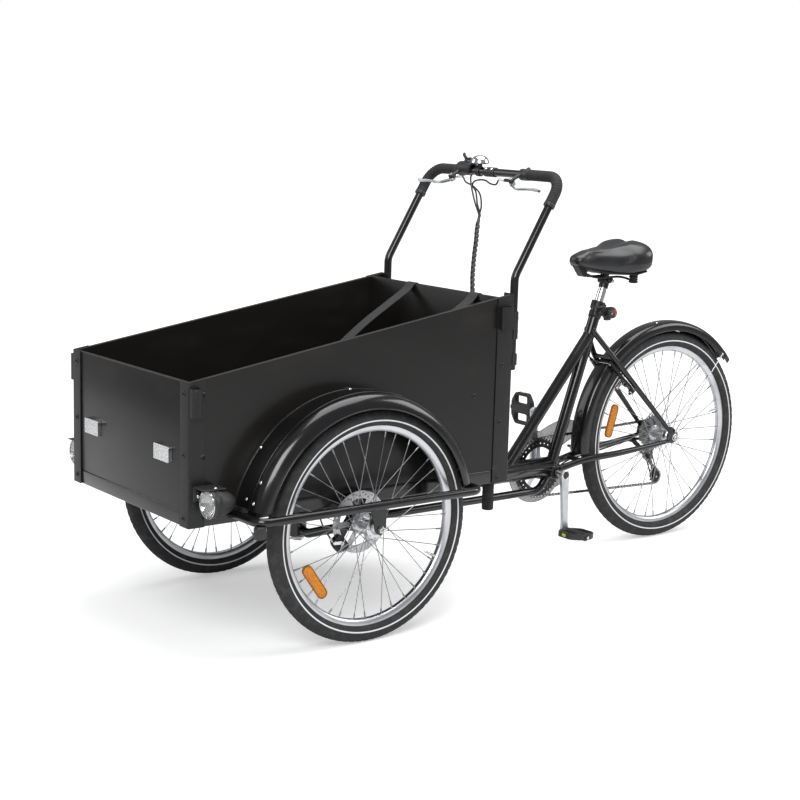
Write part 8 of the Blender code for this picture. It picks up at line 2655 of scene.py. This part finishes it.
def make_cranks(phase):
    """Both crank arms, the spider and the chainring with its bolts."""
    for side, name, foot, _ in LEGS:
        node = name + "_crank"
        arm, steel = crank_arm(side, foot)
        ring, cap = crank_cap(side)
        piece(node + "_arm", arm, cast_alloy(), "crank_body", node, "crank_alloy", 25)
        spindle = rod((side * 0.0362, *CRANK[1:]), (side * 0.0625, *CRANK[1:]), 0.0105, 28, 0.0006)
        piece(node + "_steel", steel + spindle, bright_steel(), "crank_body", node, angle=30)
        piece(node + "_ring", ring, chrome(), "crank_body", node)
        piece(node + "_cap", cap, moulded_plastic(), "crank_body", node)
    star = []
    for angle in phase + around(5):
        out = polar(1.0, angle)
        across = np.array([-out[1], out[0]])
        star += [
            out * 0.020 - across * 0.0125, out * 0.040 - across * 0.0066,
            out * 0.0695 - across * 0.0072, out * 0.0700, out * 0.0695 + across * 0.0072,
            out * 0.040 + across * 0.0066, out * 0.020 + across * 0.0125
        ]
    spider = cut_plate([softened(np.array(star) + CRANK[1:], 0.004)], 0.0044, "X", -0.0501)
    spider = spider + rod((-0.0508, *CRANK[1:]), (-0.0620, *CRANK[1:]), 0.0188, 40, 0.0008)
    piece("spider", spider, cast_alloy(), "crank_body", "right_crank", bevel=0.0006)
    ring = toothed(RING_TEETH, phase, CRANK, 0.0625, 0.0020, CHAIN_X, ((30, 0.0745, 0.0026, 0.05),))
    piece("chainring", ring, satin_steel(), "crank_body", "right_crank", angle=30)
    places = on_axle(-0.0522, 0.0660, phase + around(5), CRANK)
    heads = copies(dome_bolt(0.0048, 0.0012), [facing(place, (-1, 0, 0)) for place in places])
    piece("chainring_bolts", heads, bright_steel(), "crank_body", "right_crank", angle=50)


def pedal_shapes():
    """A platform pedal about its own middle: cage with two windows, studs, barrel and reflectors."""
    width, length = 0.04375, 0.0485
    short = width - 0.018
    half = [(-width, -0.022), (-short, -length), (short, -length), (width, -0.022)]
    outer = softened(half + [(-x, -y) for x, y in half], 0.008, 6)
    holes = []
    side = width - 0.016
    for low, high in ((0.0145, 0.0395), (-0.0145, -0.0395)):
        holes.append(softened([(-side, low), (side, low), (side, high), (-side, high)], 0.006, 6))
    cage = cut_plate([outer] + holes, 0.0150, "Z", 0)
    for z in (0.0078, -0.0078):
        cage = cage + cut_plate([outer * 0.97] + holes, 0.0016, "Z", z)
    places = [(x, y) for x in (-0.015, 0.0, 0.015) for y in (-0.0440, 0.0440)]
    places += [(x, y) for x in (-0.0365, 0.0365) for y in (-0.014, 0.0, 0.014)]
    studs = [
        facing((x, y, way * 0.0085), (0, 0, way), (1, 0, 0)) for x, y in places for way in (1, -1)
    ]
    profile = [(0.0024, -0.001), (0.0020, 0.0009), (0.0002, 0.0009), (0.0002, -0.001)]
    stud = turned(profile, (0, 0, 0), "Z", 10)
    barrel = turned(
        [
            (0.0052, -0.0444), (0.0100, -0.0444), (0.0118, -0.0420), (0.0124, -0.0300), (0.0116, 0.0),
            (0.0124, 0.0330), (0.0118, 0.0430), (0.0100, 0.0446), (0.0052, 0.0446)
        ], (0, 0, 0), "X", 32
    )
    lights = block((-0.0075, 0.0478, -0.0042), (0.0075, 0.0495, 0.0042), 0.0008)
    lights = lights + lights.by(np.diag([1, -1, 1, 1]))
    return cage + copies(stud, studs) + barrel, lights


def make_pedals():
    """Both pedals, each turned as it hangs in the photograph."""
    body, lights = pedal_shapes()
    for side, name, foot, turn in LEGS:
        centre = (side * PEDAL_X, *foot[1:])
        place = np.array(Matrix.Translation(centre) @ Matrix.Rotation(math.radians(turn), 4, "X"))
        if side < 0:
            place = place @ np.diag([-1, 1, 1, 1])
        node = name + "_pedal"
        piece(
            node + "_cage", body.by(place), moulded_plastic(), node + "_body", node, "black_plastic",
            bevel=0.0007
        )
        yellow = reflector_plastic(0.62, 0.70, 0.03)
        piece(node + "_reflectors", lights.by(place), yellow, node + "_body", node)


# Derailleur

def make_derailleur(tension_phase, guide_phase):
    """Both pulleys, the cage between them, and the body with its links and screws."""
    for name, centre, phase in (("guide", GUIDE, guide_phase), ("tension", TENSION, tension_phase)):
        wheel = toothed(
            PULLEY_TEETH, phase, centre, 0.0062, 0.0020, CHAIN_X, ((5, 0.0115, 0.0021, 0.3),), 0.0026
        )
        bush = [(0.0040, -0.0034), (0.0072, -0.0034), (0.0072, 0.0034), (0.0040, 0.0034)]
        wheel = wheel + turned(bush, (CHAIN_X, *centre[1:]), "X", 28)
        node = name + "_pulley"
        piece(
            name + "_wheel", wheel, moulded_plastic(), node + "_body", node, "black_plastic", angle=30
        )
    plates = []
    way = unit(TENSION - GUIDE)
    for x, wide in ((CHAIN_X - 0.0062, 0.0133), (CHAIN_X + 0.0062, 0.0118)):
        start, end = GUIDE + way * 0.030, TENSION - way * 0.030
        slot = link_line(start[1:], end[1:], wide * 0.50, wide * 0.50)
        outline = link_line(GUIDE[1:], TENSION[1:], wide, wide, 0.0022)
        plates.append(cut_plate([outline, slot[::-1]], 0.0017, "X", x))
    piece(
        "cage_plates", together(plates), satin_steel(), "rear_frame", "derailleur_cage",
        "satin_black_steel", bevel=0.0004
    )
    bolts = [
        rod((CHAIN_X - 0.0088, *c[1:]), (CHAIN_X + 0.0088, *c[1:]), 0.0029, 14, 0.0004)
        for c in (GUIDE, TENSION)
    ]
    bolts += [
        hex_bolt(0.0046, 0.0022).by(facing((CHAIN_X - 0.0071, *c[1:]), (-1, 0, 0)))
        for c in (GUIDE, TENSION)
    ]
    piece("cage_bolts", together(bolts), bright_steel(), "rear_frame", "derailleur_cage", angle=30)
    upper, front = DERAILLEUR_PIVOT, DERAILLEUR_FRONT
    lower = np.array([CHAIN_X - 0.0215, GUIDE[1] + 0.001, GUIDE[2] + 0.001])
    y, z = REAR_AXLE[1:]
    hanger = softened(
        [
            (y - 0.0060, z - 0.0120), (y + 0.0120, z - 0.0120), (y + 0.0160, z - 0.0340),
            (y + 0.0080, z - 0.0390), (y - 0.0020, z - 0.0360)
        ], 0.006
    )
    body = cut_plate([hanger], 0.0050, "X", -DROPOUT_X - 0.0057)
    body = body + rod(upper - (0.018, 0, 0), upper + (0.0005, 0, 0), 0.0103, 32, 0.0012)
    body = body + rod(lower - (0.0083, 0, 0), lower + (0.0110, 0, 0), 0.0113, 32, 0.0012)
    body = body + block((-0.0065, -0.0095, -0.0085), (0.0065, 0.0110, 0.0085), 0.004, 5).at(front)
    for shift in (0.0048, -0.0048):
        for end in (upper - (0.010, 0, 0), lower - (0.002, 0, 0)):
            start = front + (shift * 0.5, 0.001, shift * 0.5)
            middle = front * 0.5 + end * 0.5 + (shift * 0.9, 0, shift * 0.4)
            line = spline([start, middle, end], 14)
            body = body + swept(line, rounded_rectangle(0.0032, 0.0050, 0.0016, 3), reference=(1, 0, 0))
    piece(
        "derailleur_casting", body, satin_steel(), "rear_frame", "derailleur_body", "satin_black_steel",
        bevel=0.0005
    )
    bright = [hex_bolt(0.0062, 0.0030).by(facing(upper - (0.0178, 0, 0), (-1, 0, 0))),
              hex_bolt(0.0050, 0.0024).by(facing(lower - (0.0082, 0, 0), (-1, 0, 0))),
              rod(front + (0.0030, -0.0120, 0), front + (0.0030, -0.0060, 0), 0.0034, 14, 0.0004)]
    bright += [
        rod(front + (x, 0.004, 0.0070), front + (x, 0.004, 0.0112), 0.0016, 10)
        for x in (-0.0030, 0.0030)
    ]
    piece(
        "derailleur_screws", together(bright), bright_steel(), "rear_frame", "derailleur_body", angle=30
    )


def make_drive():
    """Chain, cranks with the chainring, cassette, derailleur and pedals."""
    places, links, phases = chain_rollers()
    rollers, plates = chain_shapes(places, links)
    piece("chain_rollers", rollers, bright_steel(), "rear_frame", "chain", angle=30)
    piece("chain_plates", plates, chain_steel(), "rear_frame", "chain", "chain_steel", angle=30)
    cogs, sleeve = cassette_shapes(phases[3])
    piece("cassette_cogs", cogs, chain_steel(), "cassette_body", "cassette", "bright_steel", angle=30)
    piece("cassette_sleeve", sleeve, bright_steel(), "cassette_body", "cassette", angle=30)
    make_cranks(phases[0])
    make_pedals()
    make_derailleur(phases[1], phases[2])


# Saddle, seat post, quick release and rear light

# Middle of the rails in the post's clamp
CLAMP = SEAT_TOP + SEAT_WAY * 0.070
SADDLE_Z = 0.948
PAN_Z = SADDLE_Z - 0.1025
# y from the clamp, half width, top and bottom below the saddle's highest line
SADDLE_ROWS = [
    (-0.1385, 0.007, -0.0555, -0.0650), (-0.1365, 0.015, -0.0500, -0.0680),
    (-0.1220, 0.030, -0.0420, -0.0760), (-0.0600, 0.046, -0.0325, -0.0930),
    (0.0000, 0.078, -0.0255, -0.1000), (0.0450, 0.102, -0.0130, -0.1010),
    (0.0880, 0.104, -0.0060, -0.0940), (0.1090, 0.086, -0.0115, -0.0810),
    (0.1165, 0.058, -0.0230, -0.0660),
]


def saddle_shape():
    """Saddle before it is blown up.

    x = half cos^0.6 t and z = middle + upper sin^1.1 t, or lower sin^0.4 t below, with a channel of
    depth exp(-(x / 0.020)^2) along the crown.
    """
    rows = spline(SADDLE_ROWS, 60)
    t = around(56)[None]
    y, half, top, bottom = (rows[:, i:i + 1] for i in range(4))
    middle = 0.55 * top + 0.45 * bottom
    cosine, sine = np.cos(t), np.sin(t)
    x = half * np.sign(cosine) * np.abs(cosine) ** 0.6
    upper = (top - middle) * np.abs(sine) ** 1.1
    lower = (bottom - middle) * np.abs(sine) ** 0.4
    z = middle + np.where(sine >= 0, upper, lower)
    depth = 0.0075 * np.clip((y + 0.10) / 0.10, 0, 1) * np.clip((0.125 - y) / 0.05, 0.3, 1)
    z = z - np.where(sine > 0, depth * np.exp(-(x / 0.020) ** 2), 0)
    points = np.stack(np.broadcast_arrays(x + CLAMP[0], y + CLAMP[1], z + SADDLE_Z), -1)
    count = len(rows)
    ends = np.arange(56)
    faces = [quads(count, 56, False, True), ends[None], ends[None, ::-1] + (count - 1) * 56]
    return Shape(points, faces).outward()


def evaluated_mesh(made):
    """The mesh with its modifiers worked out."""
    graph = bpy.context.evaluated_depsgraph_get()
    return bpy.data.meshes.new_from_object(made.evaluated_get(graph))


def mesh_points(mesh):
    """The mesh's points as an array."""
    values = np.empty(3 * len(mesh.vertices))
    mesh.vertices.foreach_get("co", values)
    return values.reshape(-1, 3)


def blown_up(made, voxel, pressure, cap):
    """Points after a remesh in voxels, and then swelled as cloth under pressure.

    Each point moves its own way, but no further than the cap.
    """
    remesh = made.modifiers.new("voxels", "REMESH")
    remesh.mode = "VOXEL"
    remesh.voxel_size = voxel
    fine = evaluated_mesh(made)
    made.modifiers.clear()
    made.data = fine
    before = mesh_points(fine)
    scene = bpy.context.scene
    cloth = made.modifiers.new("cloth", "CLOTH")
    cloth.settings.use_pressure = True
    cloth.settings.uniform_pressure_force = pressure
    cloth.settings.effector_weights.gravity = 0.0
    last = 20
    cloth.point_cache.frame_start = 1
    cloth.point_cache.frame_end = last
    for frame in range(1, last + 1):
        scene.frame_set(frame)
    after = mesh_points(evaluated_mesh(made))
    made.modifiers.clear()
    scene.frame_set(1)
    move = after - before
    length = np.linalg.norm(move, axis=1, keepdims=True)
    before = before + move * np.minimum(1.0, cap / np.maximum(length, 1e-9))
    return before


def sewn(points, line, depth, width):
    """Points drawn in towards the pad's middle along a seam: depth exp(-(distance / width)^2)."""
    gap = np.full(len(points), 1.0)
    for start in range(0, len(line), 8):
        part = line[start:start + 9]
        near = np.linalg.norm(points[:, None] - part[None], axis=2).min(axis=1)
        gap = np.minimum(gap, near)
    inwards = np.array([CLAMP[0], 0, SADDLE_Z - 0.055]) - points
    inwards[:, 1] = 0
    inwards = inwards / np.maximum(np.linalg.norm(inwards, axis=1, keepdims=True), 1e-6)
    return points + inwards * (depth * np.exp(-(gap / width) ** 2))[:, None]


def seam_line(side):
    """A seam low on one side of the saddle, from the nose to the back."""
    rows = spline(SADDLE_ROWS[1:-1], 160)
    x = side * rows[:, 1] * 0.985
    z = rows[:, 3] + 0.024
    return np.stack([x + CLAMP[0], rows[:, 0] + CLAMP[1], z + SADDLE_Z], 1)


def make_saddle():
    """The padded saddle as cloth under pressure, with its lower seam, and one subdivision."""
    made = placed("saddle_cushion", saddle_shape(), vinyl(), 60)
    points = blown_up(made, 0.005, 4.0, 0.005)
    for side in (1, -1):
        points = sewn(points, seam_line(side), 0.0013, 0.0028)
    points[:, 2] = np.maximum(points[:, 2], SADDLE_Z - 0.1035)
    mesh = made.data
    mesh.vertices.foreach_set("co", points.astype(np.float32).ravel())
    mesh.update()
    mesh.shade_smooth()
    mesh.materials.clear()
    mesh.materials.append(vinyl())
    soft = made.modifiers.new("soft", "SUBSURF")
    soft.levels = 1
    soft.render_levels = 1
    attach(made, "seat")
    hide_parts("saddle")


def post_shapes():
    """Seat post with a swaged top, and the black clamp with its cheeks, bolt and nuts."""
    low = SEAT_TOP - SEAT_WAY * 0.190
    length = float(np.linalg.norm(CLAMP - low))
    profile = [
        (0.0, 0.0), (0.0127, 0.0), (0.0133, 0.0008), (0.0133, length - 0.040), (0.0128, length - 0.034),
        (0.0111, length - 0.026), (0.0111, length - 0.004), (0.0, length - 0.004)
    ]
    post = turned(profile, (0, 0, 0), "Z", 48).by(facing(low, SEAT_WAY, (1, 0, 0)))
    base = CLAMP + (0, 0, -0.0025)
    band = rod(CLAMP - SEAT_WAY * 0.026, CLAMP - SEAT_WAY * 0.0045, 0.0145, 40, 0.001)
    parts = [band, block(base + (-0.0165, -0.019, -0.0065), base + (0.0165, 0.019, 0.0078), 0.004, 4)]
    cheek = [(0.0, 0.0165), (0.0065, 0.0165), (0.0075, 0.0185), (0.0075, 0.0205), (0.0050, 0.0238),
             (0.0, 0.0238)]
    for side in (1, -1):
        profile = [(radius, side * x) for radius, x in cheek]
        parts.append(turned(profile, base + (0, 0, 0.0005), "X", 36))
    middle = base + (0, 0.010, -0.001)
    bolt = rod(middle - (0.0238, 0, 0), middle + (0.0238, 0, 0), 0.0036, 20, 0.0005)
    places = [facing(middle + (side * 0.0200, 0, 0), (side, 0, 0)) for side in (1, -1)]
    return post, together(parts), bolt + copies(hex_bolt(0.0055, 0.0035), places)


def seat_frame_shapes():
    """The pan with its nose socket, the two rails, and the ribbed rubber springs."""
    rows = spline(SADDLE_ROWS[2:-2], 40)
    ring = rounded_rectangle(1.0, 1.0, 0.45, 5)
    wide, deep = 0.84 * rows[:, 1:2], 0.0036
    z = SADDLE_Z + (rows[:, 3:4] + 0.0016) + deep * ring[None, :, 1]
    x, y = CLAMP[0] + wide * ring[None, :, 0], CLAMP[1] + rows[:, 0:1]
    points = np.stack(np.broadcast_arrays(x, y, z), -1)
    count, columns = len(rows), len(ring)
    ends = np.arange(columns)
    pan = Shape(
        points,
        [quads(count, columns, False, True), ends[None], ends[None, ::-1] + (count - 1) * columns]
    ).outward()
    keel = softened(
        [
            (CLAMP[1] - 0.1300, SADDLE_Z - 0.0720), (CLAMP[1] - 0.1020, SADDLE_Z - 0.1085),
            (CLAMP[1] - 0.0920, SADDLE_Z - 0.1095), (CLAMP[1] - 0.0860, SADDLE_Z - 0.0860)
        ], 0.004
    )
    socket = cut_plate([keel], 0.0260, "X", 0.0)
    rail_z = CLAMP[2] + 0.0093
    x, y = CLAMP[0], CLAMP[1]
    rail = spline(
        [
            (x + 0.008, y - 0.096, PAN_Z + 0.004), (x + 0.0095, y - 0.084, PAN_Z + 0.000),
            (x + 0.014, y - 0.062, rail_z + 0.0022), (x + 0.021, y - 0.036, rail_z),
            (x + 0.022, y, rail_z), (x + 0.022, y + 0.030, rail_z),
            (x + 0.036, y + 0.044, rail_z - 0.002), (x + 0.052, y + 0.053, rail_z - 0.0075),
            (x + 0.062, y + 0.058, PAN_Z - 0.0225)
        ], 70
    )
    rails = both(tube(rail, 0.0035, 18))
    foot = np.array([x + 0.062, y + 0.056, PAN_Z - 0.0260])
    bands = [
        (0.0, 0.0), (0.0090, 0.0), (0.0130, 0.0016), (0.0142, 0.0040), (0.0135, 0.0062),
        (0.0112, 0.0070)
    ]
    for i in range(2):
        z = 0.0082 + 0.0072 * i
        bands += [
            (0.0112 + 0.0004 * i, z), (0.0138, z + 0.0020), (0.0140, z + 0.0040),
            (0.0114 + 0.0004 * i, z + 0.0060)
        ]
    bands += [(0.0126, 0.0230), (0.0150, 0.0250), (0.0150, 0.0265), (0.0, 0.0265)]
    springs = both(turned(bands, foot, "Z", 40))
    return pan + socket + rails, springs


def quick_release_shape():
    """Cam barrel and its curved lever, whose size follows a sine and ends in a quarter circle."""
    place = SEAT_TOP - SEAT_WAY * 0.012 + (0.02697, 0, 0)
    barrel = rod(place - SEAT_WAY * 0.007, place + SEAT_WAY * 0.007, 0.0065, 36, 0.0007)
    path = spline(
        [
            place, place + (0.0056, -0.010, 0.0014), place + (0.0062, -0.028, 0.0016),
            place + (0.0040, -0.0520, 0.0)
        ], 44
    )
    t = np.linspace(0, 1, 44)
    swell = (0.0036 + 0.0014 * np.sin(np.pi * np.clip(t * 1.15, 0, 1))) / 0.0050
    end = np.sqrt(np.clip(1.0 - (np.clip(t - 0.9, 0, 1) / 0.104) ** 2, 0.03, 1))
    profile = rounded_rectangle(0.0050, 0.0031, 0.0026, 5)
    return barrel + swept(path, profile, swell * end, reference=SEAT_WAY)


def light_shapes():
    """Rear light: oval housing with its bracket, the domed red lens, and the screws."""
    oval = np.diag([1.12, 1, 1, 1])
    start = SEAT_TOP - SEAT_WAY * 0.040 + (0, 0.0403, 0)
    middle = start + (0, 0, 0.002)
    t = np.linspace(0, np.pi / 2, 10)
    body = [(0.0, 0.0004), (0.0120, 0.0004)]
    body += [(0.0120 + 0.0060 * math.sin(a), 0.0004 + 0.0075 * (1 - math.cos(a))) for a in t[1:]]
    body += [(0.0180, 0.0235), (0.0176, 0.0243), (0.0, 0.0243)]
    housing_body = turned(body, (0, 0, 0), "Y", 64).by(oval).at(*middle)
    keel = block(start + (-0.0070, 0.0005, -0.0205), start + (0.0070, 0.0220, -0.0100), 0.003, 4)
    dome = [(0.0, 0.0245), (0.0178, 0.0245), (0.0181, 0.0252), (0.0181, 0.0300)]
    dome += [
        (0.0181 * math.cos(a), 0.0300 + 0.0100 * math.sin(a))
        for a in np.linspace(0.10, np.pi / 2 - 0.05, 18)
    ]
    dome += [(0.0, 0.0400)]
    lens_shape = turned(dome, (0, 0, 0), "Y", 64).by(oval).at(*middle)
    places = [facing(middle + (side * 0.0199, 0.012, 0.0), (side, 0, 0)) for side in (1, -1)]
    return housing_body + keel, lens_shape, copies(dome_bolt(0.0030, 0.0018), places)


def make_seat():
    """Saddle, its frame, the post with its clamp, the quick release and the rear light."""
    make_saddle()
    frame_shape, springs = seat_frame_shapes()
    post, clamp, bolt = post_shapes()
    body, red, screws = light_shapes()
    lever = quick_release_shape()
    steel, bright, plastic = satin_steel(), bright_steel(), moulded_plastic()
    for row in (
        ("saddle_pan_rails", frame_shape, steel, "seat", "saddle_frame", "satin_black_steel", 40),
        ("saddle_springs", springs, grip_rubber(), "seat", "saddle_frame", "black_rubber", 50),
        ("seat_post_tube", post, chrome(), "seat", "seat_post", "chrome", 30),
        ("saddle_clamp", clamp, steel, "seat", "seat_post", "satin_black_steel", 30),
        ("saddle_clamp_bolt", bolt, bright, "seat", "seat_post", "bright_steel", 30),
        ("seat_release_lever", lever, plastic, "seat_lever", "seat_quick_release",
         "satin_black_steel", 40),
        ("rear_light_body", body, plastic, "rear_frame", "rear_light", "black_plastic", 35),
        ("rear_light_lens", red, lens(0.55, 0.008, 0.010, 0.92), "rear_frame", "rear_light",
         "red_lens", 50),
        ("rear_light_screws", screws, bright, "rear_frame", "rear_light", "bright_steel", 40),
    ):
        piece(*row)


# Settings, operators and panel

class TricycleSettings(bpy.types.PropertyGroup):
    """Colours and spokes that the finishes and the wheels take."""

    paint: bpy.props.FloatVectorProperty(
        name="Paint", description="Colour of the painted frame and mudguards", subtype="COLOR",
        default=(0.005, 0.005, 0.0055), min=0.0, max=1.0,
    )
    film: bpy.props.FloatVectorProperty(
        name="Panel film", description="Colour of the film on the plywood panels", subtype="COLOR",
        default=(0.008, 0.0072, 0.0066), min=0.0, max=1.0,
    )
    spokes: bpy.props.IntProperty(
        name="Spokes", description="Spokes in each wheel, a multiple of four", default=36, min=16,
        max=48,
    )


class TRICYCLE_OT_stage(bpy.types.Operator):
    """Floor, lamps and camera"""

    bl_idname = "tricycle.stage"
    bl_label = "Stage"

    def execute(self, context):
        make_stage()
        return {"FINISHED"}


class TRICYCLE_OT_front_wheels(bpy.types.Operator):
    """Both front wheels with their rotors"""

    bl_idname = "tricycle.front_wheels"
    bl_label = "Front wheels"

    def execute(self, context):
        make_front_wheels()
        return {"FINISHED"}


class TRICYCLE_OT_rear_wheel(bpy.types.Operator):
    """The rear wheel and its spoke protector"""

    bl_idname = "tricycle.rear_wheel"
    bl_label = "Rear wheel"

    def execute(self, context):
        make_rear_wheel()
        return {"FINISHED"}


class TRICYCLE_OT_carrier(bpy.types.Operator):
    """Welded carrier with rails, dropouts, brace, kingpin and stops"""

    bl_idname = "tricycle.carrier"
    bl_label = "Carrier"

    def execute(self, context):
        make_carrier()
        return {"FINISHED"}


class TRICYCLE_OT_box(bpy.types.Operator):
    """Panels, posts, pockets, clamps, bolts and front reflectors"""

    bl_idname = "tricycle.box"
    bl_label = "Box"

    def execute(self, context):
        make_box()
        return {"FINISHED"}


class TRICYCLE_OT_front_fittings(bpy.types.Operator):
    """Front mudguards, headlights and disc calipers"""

    bl_idname = "tricycle.front_fittings"
    bl_label = "Front fittings"

    def execute(self, context):
        make_front_fittings()
        return {"FINISHED"}


class TRICYCLE_OT_handle(bpy.types.Operator):
    """Push bar, grips, brake levers, gear shifter and bell"""

    bl_idname = "tricycle.handle"
    bl_label = "Handle"

    def execute(self, context):
        make_handle()
        return {"FINISHED"}


class TRICYCLE_OT_cables_and_straps(bpy.types.Operator):
    """Straps, control cables, spiral wrap and brake hoses"""

    bl_idname = "tricycle.cables_and_straps"
    bl_label = "Cables and straps"

    def execute(self, context):
        make_cables_and_straps()
        return {"FINISHED"}


class TRICYCLE_OT_rear_frame(bpy.types.Operator):
    """Rear frame with its welds, axle nuts and bottom bracket cups"""

    bl_idname = "tricycle.rear_frame"
    bl_label = "Rear frame"

    def execute(self, context):
        make_rear_frame()
        return {"FINISHED"}


class TRICYCLE_OT_guards(bpy.types.Operator):
    """Rear mudguard and chain guard"""

    bl_idname = "tricycle.guards"
    bl_label = "Guards"

    def execute(self, context):
        make_guards()
        return {"FINISHED"}


class TRICYCLE_OT_rear_brake(bpy.types.Operator):
    """Rim brake arms with their pads"""

    bl_idname = "tricycle.rear_brake"
    bl_label = "Rear brake"

    def execute(self, context):
        make_rear_brake()
        return {"FINISHED"}


class TRICYCLE_OT_rear_cables(bpy.types.Operator):
    """Gear and brake housings on the rear frame"""

    bl_idname = "tricycle.rear_cables"
    bl_label = "Rear cables"

    def execute(self, context):
        make_rear_cables()
        return {"FINISHED"}


class TRICYCLE_OT_drive(bpy.types.Operator):
    """Chain, cranks, chainring, cassette, derailleur and pedals"""

    bl_idname = "tricycle.drive"
    bl_label = "Drive"

    def execute(self, context):
        make_drive()
        return {"FINISHED"}


class TRICYCLE_OT_seat(bpy.types.Operator):
    """Saddle, seat post, quick release and rear light"""

    bl_idname = "tricycle.seat"
    bl_label = "Seat"

    def execute(self, context):
        make_seat()
        return {"FINISHED"}


STEPS = [
    TRICYCLE_OT_stage, TRICYCLE_OT_front_wheels, TRICYCLE_OT_rear_wheel, TRICYCLE_OT_carrier,
    TRICYCLE_OT_box, TRICYCLE_OT_front_fittings, TRICYCLE_OT_handle, TRICYCLE_OT_cables_and_straps,
    TRICYCLE_OT_rear_frame, TRICYCLE_OT_guards, TRICYCLE_OT_rear_brake, TRICYCLE_OT_rear_cables,
    TRICYCLE_OT_drive, TRICYCLE_OT_seat,
]


class TRICYCLE_PT_panel(bpy.types.Panel):
    """The tricycle's settings and its steps in order."""

    bl_label = "Box cargo tricycle"
    bl_space_type = "VIEW_3D"
    bl_region_type = "UI"
    bl_category = "Tricycle"

    def draw(self, context):
        for name in ("paint", "film", "spokes"):
            self.layout.prop(context.scene.tricycle, name)
        for step in STEPS:
            self.layout.operator(step.bl_idname)


CLASSES = [TricycleSettings, *STEPS, TRICYCLE_PT_panel]


def register():
    """Registers the classes and the scene's settings."""
    for known in CLASSES:
        bpy.utils.register_class(known)
    bpy.types.Scene.tricycle = bpy.props.PointerProperty(type=TricycleSettings)


def unregister():
    """Takes the settings and the classes out again."""
    del bpy.types.Scene.tricycle
    for known in reversed(CLASSES):
        bpy.utils.unregister_class(known)


def corners():
    """Lowest and highest corner of what shows, as plain numbers."""
    return [[float(value) for value in corner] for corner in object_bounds()]


def main():
    """Runs every step in order."""
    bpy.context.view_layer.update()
    register()
    for step in STEPS:
        group, name = step.bl_idname.split(".")
        getattr(getattr(bpy.ops, group), name)()


if __name__ == "__main__":
    main()
